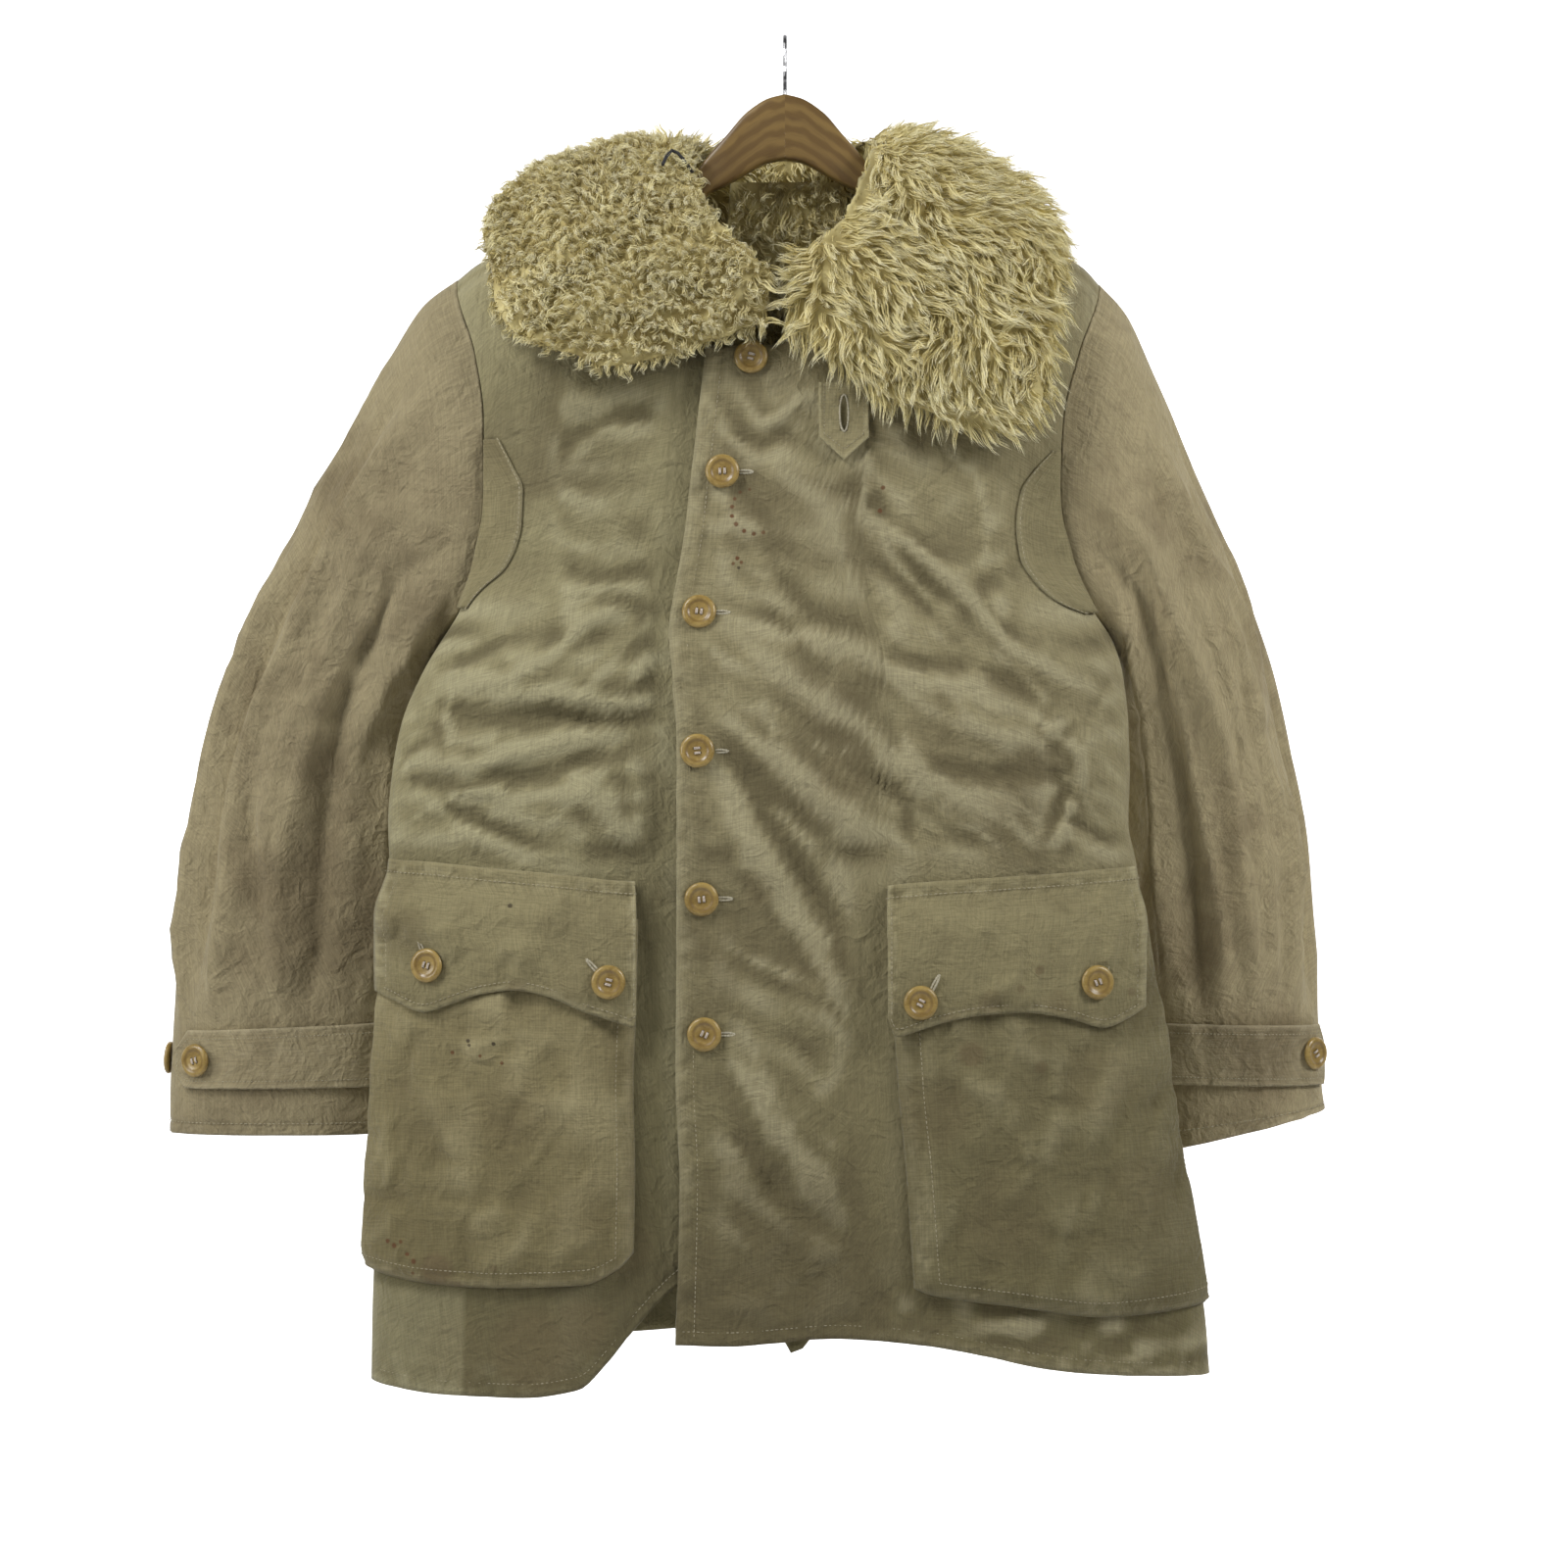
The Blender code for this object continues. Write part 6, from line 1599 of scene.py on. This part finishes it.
def clearOfBody(point, gap):
    # lifts points that would sit in the body straight off its surface
    x, y, z = point[..., 0], point[..., 1], point[..., 2]
    seam = sideSeam(z)
    ridge = shoulder(x) + gap
    front = y < seam
    depth = np.where(front, frontDepth(z), backDepth(z))
    edge = np.where(front, frontEdgeDepth(z), backEdgeDepth(z))
    depth = acrossDepth(x, z, depth, edge) + gap
    off = np.abs(y - seam)
    reach = depth * (1.0 - np.exp(-shoulderRun(ridge - z) / shoulderTurn))
    within = (np.abs(x) < np.abs(sideOf(x, z)) + gap) & (z < ridge) & (off < reach)
    run = -shoulderTurn * np.log(np.maximum(1e-6, 1.0 - off / depth))
    short = ridge - (np.sqrt(run ** 2 + shoulderRound ** 2) - shoulderRound) - z
    sink = reach - off
    whole = np.maximum(1e-6, short ** 2 + sink ** 2)
    moved = point.copy()
    moved[..., 1] = np.where(within, y + np.copysign(short ** 2 * sink / whole, y - seam), y)
    moved[..., 2] = np.where(within, z + sink ** 2 * short / whole, z)
    return moved


def collarRing(along, turns, inset):
    # round the collar's thickness: across its under side and back along its upper side
    across = (1.0 - np.cos(turns)) / 2
    under = turns <= math.pi
    last = len(collarTable) - 1.0
    a = collarMiddle(np.minimum(last, along + 0.2), across) - collarMiddle(np.maximum(0.0, along - 0.2), across)
    b = collarMiddle(along, np.minimum(1.0, across + 0.05)) - collarMiddle(along, np.maximum(0.0, across - 0.05))
    ends = np.minimum(1.0, 0.45 + 0.55 * np.minimum(along, last - along) / 0.5)
    half = collarColumns[7](along) * ends / 2 * np.sqrt(np.maximum(0.0, 1.0 - np.abs(2 * across - 1) ** 5))
    half = np.maximum(half - inset, 1.0)
    point = collarMiddle(along, across) + unit(np.cross(b, a)) * np.where(under, half, -half)[..., None]
    return np.where(under[..., None], clearOfBody(point, collarClear + 2.0 + inset * 0.5),
                    clearOfBody(point, collarClear))


wool = {
    "inset": 7.0,
    "hideGrid": (132, 61),
    "most": 90000.0,  # locks in a square metre
    # the root colour is dark: painted shade between the locks
    "root": (0.50, 0.41, 0.165),
    "low": (0.84, 0.75, 0.39),
    "high": (0.94, 0.88, 0.55),
    "tip": (0.98, 0.95, 0.72),
}
# the hide and the locks' roots are coloured darker than the wool: painted shade in the gaps between the locks
hideLook = woolMaterial("wool close to the hide", (0.42, 0.34, 0.135), (0.66, 0.57, 0.26), (0.76, 0.67, 0.34),
                        (0.7, 0.62, 0.33), 260.0)
curlLook = woolMaterial("tight pale curls", wool["root"], wool["low"], wool["high"], wool["tip"])
combLook = woolMaterial("long combed wool", (0.68, 0.58, 0.25), (0.93, 0.83, 0.43), (0.98, 0.92, 0.60),
                        (0.98, 0.95, 0.72))
neckLook = woolMaterial("yellowed wool at the neck", (0.50, 0.41, 0.15), (0.82, 0.71, 0.33), (0.93, 0.84, 0.49),
                        (0.97, 0.92, 0.64))


def collarBase():
    along = np.linspace(0.0, len(collarTable) - 1.0, wool["hideGrid"][0])[:, None]
    turns = np.linspace(0.0, 2 * math.pi, wool["hideGrid"][1])[None, :]
    along, turns = np.broadcast_arrays(along, turns)
    points = collarRing(along, turns, wool["inset"])
    points[:, -1] = points[:, 0]
    # a lumpy fleece
    bump = softNoise(along * 3.2, turns * 3.0, 201) * 3.4 + softNoise(along * 9.0, turns * 7.0, 203) * 1.2 - 0.6
    bump[:, -1] = bump[:, 0]
    points = points + unit(points - points.mean(axis=1, keepdims=True)) * bump[..., None]
    # wool shows on the upper side and round both rims
    shown = np.where(turns >= math.pi, 1.0, np.maximum(smoothStep((turns - math.pi + 1.35) / 0.3),
                                                       smoothStep((0.6 - turns) / 0.2)))
    # the hollows of the lumps are painted darker through the along and tone marks: painted shade
    obj = gridMesh("collarFleece", points, cutLengths(points), ring=True,
                   marks={"along": 0.25 + 0.1 * bump, "tone": 0.5 + 0.2 * bump, "shown": shown})
    reworked(obj.data, closeEnds)
    obj.data.shade_smooth()
    obj.data.materials.append(hideLook)
    return obj


def dropMarks(mesh, *names):
    for name in [mark.name for mark in mesh.attributes if mark.name in names]:
        mesh.attributes.remove(mesh.attributes[name])


def addFieldMarks(obj, directionOf, thickOf):
    # which way the wool is combed, and where it grows, on the mesh's points
    mesh = obj.data
    count = len(mesh.vertices)
    place, normal = np.empty(count * 3), np.empty(count * 3)
    mesh.vertices.foreach_get("co", place)
    mesh.vertices.foreach_get("normal", normal)
    place, normal = place.reshape(-1, 3) / mm, normal.reshape(-1, 3)
    addMark(mesh, "comb", directionOf(place, normal), "FLOAT_VECTOR")
    shown = np.ones(count)
    if "shown" in mesh.attributes:
        mesh.attributes["shown"].data.foreach_get("value", shown)
        dropMarks(mesh, "shown")
    for key, values in thickOf(place, normal, shown).items():
        addMark(mesh, key, limited(values))


def lockMesh(name, seed, fibres, long, wide, wave, waves, spread, steps, curl=0.0):
    # one lock of wool: flat fibres that wave together and draw in towards the tip
    rng = random.Random(seed)
    phase = rng.uniform(0.0, 6.28)
    points, marks, faces = [], [], []
    for k in range(fibres):
        far = spread * math.sqrt((k + 0.5) / fibres)
        rootX, rootY = far * math.cos(2.4 * k), far * math.sin(2.4 * k)
        reach = long * rng.uniform(0.7, 1.1)
        own, face = phase + rng.uniform(-0.6, 0.6), rng.uniform(0.0, 6.28)
        start = len(points)
        for i in range(steps + 1):
            t = i / steps
            swing = own + 6.283 * waves * t
            x = rootX * (1.0 - 0.65 * t) + wave * min(1.0, 2.5 * t) * math.cos(swing)
            y = rootY * (1.0 - 0.65 * t) + wave * min(1.0, 2.5 * t) * math.sin(swing)
            z = reach * (t - curl * t * t)
            half = wide / 2 * (1.0 - t ** 2.2)
            side = (math.cos(face + 1.5 * t) * half, math.sin(face + 1.5 * t) * half)
            for end in ((-1, 1) if i < steps else (0,)):
                points.append(((x + end * side[0]) * mm, (y + end * side[1]) * mm, z * mm))
                marks.append(t)
        for i in range(steps - 1):
            a = start + 2 * i
            faces.append((a, a + 1, a + 3, a + 2))
        a = start + 2 * (steps - 1)
        faces.append((a, a + 1, a + 2))
    mesh = bpy.data.meshes.new(name)
    mesh.from_pydata(points, [], faces)
    addMark(mesh, "along", marks)
    mesh.shade_smooth()
    return bpy.data.objects.new(name, mesh)


def lockTree():
    tree, n, given = newTree("locks of wool on a hide", "Fleece", (
        ("Hide", "Geometry", None), ("Kinds of lock", "Collection", None), ("Most in a square metre", "Float", 20000.0),
        ("Least apart", "Float", 0.003), ("Smallest", "Float", 0.7), ("Largest", "Float", 1.2), ("Lean", "Float", 0.5),
        ("Straying", "Float", 0.3), ("Seed", "Int", 1), ("Wool", "Material", None)))

    def vectorMath(operation, a, **more):
        return n.add("ShaderNodeVectorMath", {"operation": operation}, i0=a, **more).outputs[0]

    def chance(kind, seedOffset, **limits):
        return n.add("FunctionNodeRandomValue", {"data_type": kind}, Seed=n.maths("ADD", given["Seed"], seedOffset),
                     **limits)

    def named(kind, name):
        return n.add("GeometryNodeInputNamedAttribute", {"data_type": kind}, Name=name).outputs[0]

    scatter = n.add("GeometryNodeDistributePointsOnFaces", {"distribute_method": "POISSON"}, Mesh=given["Hide"], **{
        "Distance Min": given["Least apart"], "Density Max": given["Most in a square metre"],
        "Density Factor": named("FLOAT", "growth"), "Seed": given["Seed"]})
    stray = chance("FLOAT_VECTOR", 7, i0=(-1.0, -1.0, -1.0), i1=(1.0, 1.0, 1.0)).outputs[0]
    leaning = vectorMath("SCALE", named("FLOAT_VECTOR", "comb"), Scale=given["Lean"])
    aim = vectorMath("ADD", scatter.outputs["Normal"], i1=leaning)
    aim = vectorMath("ADD", aim, i1=vectorMath("SCALE", stray, Scale=given["Straying"]))
    spin = aimed(n, "Z", aim, (0.0, 0.0, 1.0), chance("FLOAT", 11, i2=0.0, i3=6.283).outputs[1])
    kinds = n.add("GeometryNodeCollectionInfo", None, Collection=given["Kinds of lock"],
                  **{"Separate Children": True})
    size = chance("FLOAT", 13, i2=given["Smallest"], i3=given["Largest"]).outputs[1]
    put = n.add("GeometryNodeInstanceOnPoints", None, Points=scatter.outputs["Points"], Instance=kinds.outputs[0],
                Rotation=spin, Scale=size, **{"Pick Instance": True})
    tone = n.add("GeometryNodeStoreNamedAttribute", {"domain": "INSTANCE", "data_type": "FLOAT"},
                 Geometry=put.outputs[0], Name="tone", Value=chance("FLOAT", 17, i2=0.0, i3=1.0).outputs[1])
    realized(n, tone.outputs[0], given["Wool"])
    return tree


fleeceTree = lockTree()


# fibres, length, width, wave, waves, spread, steps, how far the tip curls back
lockKinds = {
    "curls": (9, (12.0, 17.0), 1.0, 2.2, 1.0, 3.0, 5, 0.25),
    "combed": (9, (20.0, 30.0), 0.9, 2.0, 0.7, 2.8, 5, 0.14),
    "rear": (5, (17.0, 23.0), 1.5, 1.8, 0.8, 3.6, 4, 0.12),
    "neck": (7, (15.0, 22.0), 1.0, 2.2, 0.95, 3.2, 5, 0.15),
}


def makeKinds(kind, seed):
    fibres, (short, long), wide, wave, waves, spread, steps, curl = lockKinds[kind]
    kinds = bpy.data.collections.new(kind)
    scene.collection.children.link(kinds)
    for i in range(8):
        kinds.objects.link(lockMesh(
            f"{kind}{i}", seed + i, fibres, short + (long - short) * i / 7, wide, wave * (0.7 + 0.1 * (i % 5)),
            waves * (0.75 + 0.12 * (i % 4)), spread, steps, curl))
    return kinds


curlKinds, combKinds = makeKinds("curls", 300), makeKinds("combed", 320)
rearKinds, neckKinds = makeKinds("rear", 360), makeKinds("neck", 340)


def grown(name, hide, kinds, apart, smallest, largest, lean, straying, seed, look, growth):
    # one field of locks; growth is the mark that says where they stand
    obj = newObject(name, hide.data.copy())
    values = np.empty(len(obj.data.vertices))
    obj.data.attributes[growth].data.foreach_get("value", values)
    addMark(obj.data, "growth", values)
    dropMarks(obj.data, "along", "tone")
    runTree(obj, "locks", fleeceTree, {
        "Kinds of lock": kinds, "Most in a square metre": wool["most"], "Least apart": apart * mm,
        "Smallest": smallest, "Largest": largest, "Lean": lean, "Straying": straying, "Seed": seed, "Wool": look})
    dropMarks(obj.data, "comb", "growth", "curly", "combed", "rear", "throat")
    handOver(obj, "wool")
    print(name, triangles(obj), "triangles")


def collarComb(place, normal):
    # the right lobe (left in the picture) is unruly; the left lobe is combed out and down
    x, y, z = place.T
    out = np.stack([np.sign(x) * 0.8 + 0.0 * x, 0.0 * x, -1.0 + 0.0 * x], -1)
    swirl = np.stack([softNoise(x / 26.0, z / 26.0, 211), 0.0 * x, softNoise(x / 26.0, z / 26.0, 213)], -1)
    comb = out * np.where(x > 0, 1.1, 0.35)[:, None] + swirl * np.where(x > 0, 1.5, 2.4)[:, None]
    # the two front ends reach for each other across the throat
    throat = (bell(x, 26.0) * (y < -30.0))[:, None]
    reach = np.stack([-np.sign(x) * 2.0 + 0.0 * x, -0.6 + 0.0 * x, -0.5 + 0.0 * x], -1)
    comb = comb * (1.0 - throat) + reach * throat
    comb = comb - normal * (comb * normal).sum(-1, keepdims=True) * 0.7
    # on the under side it points out past the rim
    under = ((normal[:, 1] > 0.1) * (y < 20.0))[:, None]
    away = np.stack([np.sign(x) * 0.9 * (np.abs(x) > 130.0), -0.25 + 0.0 * x, -1.0 + 0.0 * x], -1)
    return np.where(under, away * 3.2, unit(comb))


def collarGrowth(place, normal, shown):
    x, y, z = place.T
    ends = np.abs(normal[:, 0]) * (np.abs(x) < 20.0) * (y < -30.0)
    inside = (np.abs(x) < 95.0) * (y > 8.0) * (normal[:, 1] < -0.1) * 1.0
    shown = np.maximum(np.maximum(shown, ends), inside)
    rear = smoothStep((y - 22.0) / 16.0)
    left = 1.0 - smoothStep((x + 6.0) / 12.0)
    throat = (np.abs(x) < 18.0) * (y < -34.0) * 1.0
    return {"curly": shown * left * (1.0 - rear), "combed": shown * (1.0 - left) * (1.0 - rear),
            "rear": rear * shown, "throat": throat * shown}


collarFleece = collarBase()
addFieldMarks(collarFleece, collarComb, collarGrowth)
# locks, least apart, smallest, largest, lean, straying, seed, material, where they grow
for name, *field in (
    ("woolCurls", curlKinds, 3.8, 0.75, 1.2, 0.9, 0.5, 401, curlLook, "curly"),
    ("woolCombed", combKinds, 4.0, 0.75, 1.25, 1.5, 0.32, 403, combLook, "combed"),
    ("woolThroat", combKinds, 4.4, 0.9, 1.35, 1.9, 0.5, 409, combLook, "throat"),
    ("woolRear", rearKinds, 5.6, 0.8, 1.2, 1.2, 0.5, 405, combLook, "rear"),
):
    grown(name, collarFleece, *field)
handOver(collarFleece, "wool", "collar")

neckTable = ((-100, 42), (-124, 44), (-150, 52), (-185, 68), (-240, 78))


def neckBase():
    half = through(neckTable)
    low = float(shoulder(neckHalf)) - backNeckDrop
    z = np.linspace(neckTable[0][0], neckTable[-1][0], 48)[:, None]
    share = np.linspace(-1.0, 1.0, 50)[None, :]
    x = half(z) * share
    edge = low + (float(shoulder(neckHalf)) - low) * (np.minimum(np.abs(x), neckHalf) / neckHalf) ** 3.0 - 3.0
    sewn = np.minimum(z + 0.0 * x, edge)
    across = 2 / math.pi * np.arcsin(x / np.abs(sideOf(x, sewn)))
    points = movedOut(backBase, across, sewn, -8.8 + 0.0 * sewn, -1)
    points[..., 2] += z - sewn
    bump = softNoise(x / 9.0, z / 9.0, 221)
    points[..., 1] -= bump * 0.8
    # the hollows of the lumps are painted darker through the along mark: painted shade
    obj = gridMesh("neckFleece", points, cutLengths(points), flip=True,
                   marks={"along": 0.25 + 0.1 * bump, "tone": 0.4})
    obj.data.materials.append(hideLook)
    return obj


def neckComb(place, normal):
    x, z = place[:, 0], place[:, 2]
    across, up = (softNoise(x / 25.0, z / 25.0, seed) for seed in (231, 233))
    return np.stack([0.6 + across, -0.1 + 0 * x, -0.8 + up], -1)


neckFleece = neckBase()
addFieldMarks(neckFleece, neckComb, lambda place, normal, shown: {"curly": shown})
# the neck's base looks to the back as it is drawn, so its wool is grown on a turned copy
turned = neckFleece.data.copy()
turned.flip_normals()
neckFront = bpy.data.objects.new("neckFront", turned)
grown("woolNeck", neckFront, neckKinds, 3.9, 0.9, 1.4, 1.3, 0.6, 407, neckLook, "curly")
bpy.data.objects.remove(neckFront, do_unlink=True)
giveWall(neckFleece, 3.0)
handOver(neckFleece, "wool", "neck_fleece")
for kinds in (curlKinds, combKinds, rearKinds, neckKinds):
    for obj in list(kinds.objects):
        bpy.data.objects.remove(obj, do_unlink=True)
    bpy.data.collections.remove(kinds)
print("wool grown")

# hanger and loop

hangerTable = ((0.3, -66.5, 49, 15), (12, -69, 48, 15), (28, -78, 46, 15), (44, -91.5, 37, 16), (58, -103, 28, 14),
               (69, -116, 23, 13), (76, -132, 20, 13), (82, -141, 19, 15))
hangerBelow = 6.0  # under the cloth of the shoulder
hangerArmTable = ((100, 20, 20), (140, 20, 24), (175, 18, 24), (198, 14, 20), (206, 7, 12))
woodLook = woodMaterial()


def hangerArm(name, node, hand):
    rows = list(hangerTable)
    for x, tall, thick in hangerArmTable:
        rows.append((x, float(shoulder(hand * x)) - hangerBelow - tall / 2, tall, thick))
    middle, tall, thick = (through(rows, c) for c in (1, 2, 3))
    x = np.concatenate([np.linspace(0.004, 90.0, 70), np.linspace(94.0, 206.0, 36)])
    turns = np.linspace(0.0, 2 * math.pi, 41)[None, :]
    across = np.copysign(np.abs(np.cos(turns)) ** 0.35, np.cos(turns)) * thick(x)[:, None] / 2
    up = np.copysign(np.abs(np.sin(turns)) ** 0.35, np.sin(turns)) * tall(x)[:, None] / 2
    points = np.stack([hand * x[:, None] + 0.0 * up, across, middle(x)[:, None] + up], -1)
    uv = np.stack([x[:, None] + 0.0 * up, up + 0.25 * across + hand * 60.0], -1)
    obj = gridMesh(name, points, uv, ring=True, flip=hand > 0, uvName="grain")
    reworked(obj.data, closeEnds)
    obj.data.shade_smooth()
    obj.data.set_sharp_from_angle(angle=math.radians(50))
    obj.data.materials.append(woodLook)
    handOver(obj, "hanger wood", node)


hangerArm("hangerArmLeft", "hanger_arm_left", 1)
hangerArm("hangerArmRight", "hanger_arm_right", -1)
steelLook = plainMaterial("hanger wire", (0.33, 0.33, 0.34), (0.62, 0.62, 0.63), 0.3, 600.0, 1.0, 0.0001)
loopLook = plainMaterial("dark braid", (0.012, 0.012, 0.014), (0.05, 0.05, 0.055), 0.7, 1400.0)


def repaint(node, look):
    obj = bpy.data.objects[node]
    obj.data.materials.clear()
    obj.data.materials.append(look)


repaint("hanger_hook", steelLook)
repaint("hang_loop", loopLook)
print("hanger made")
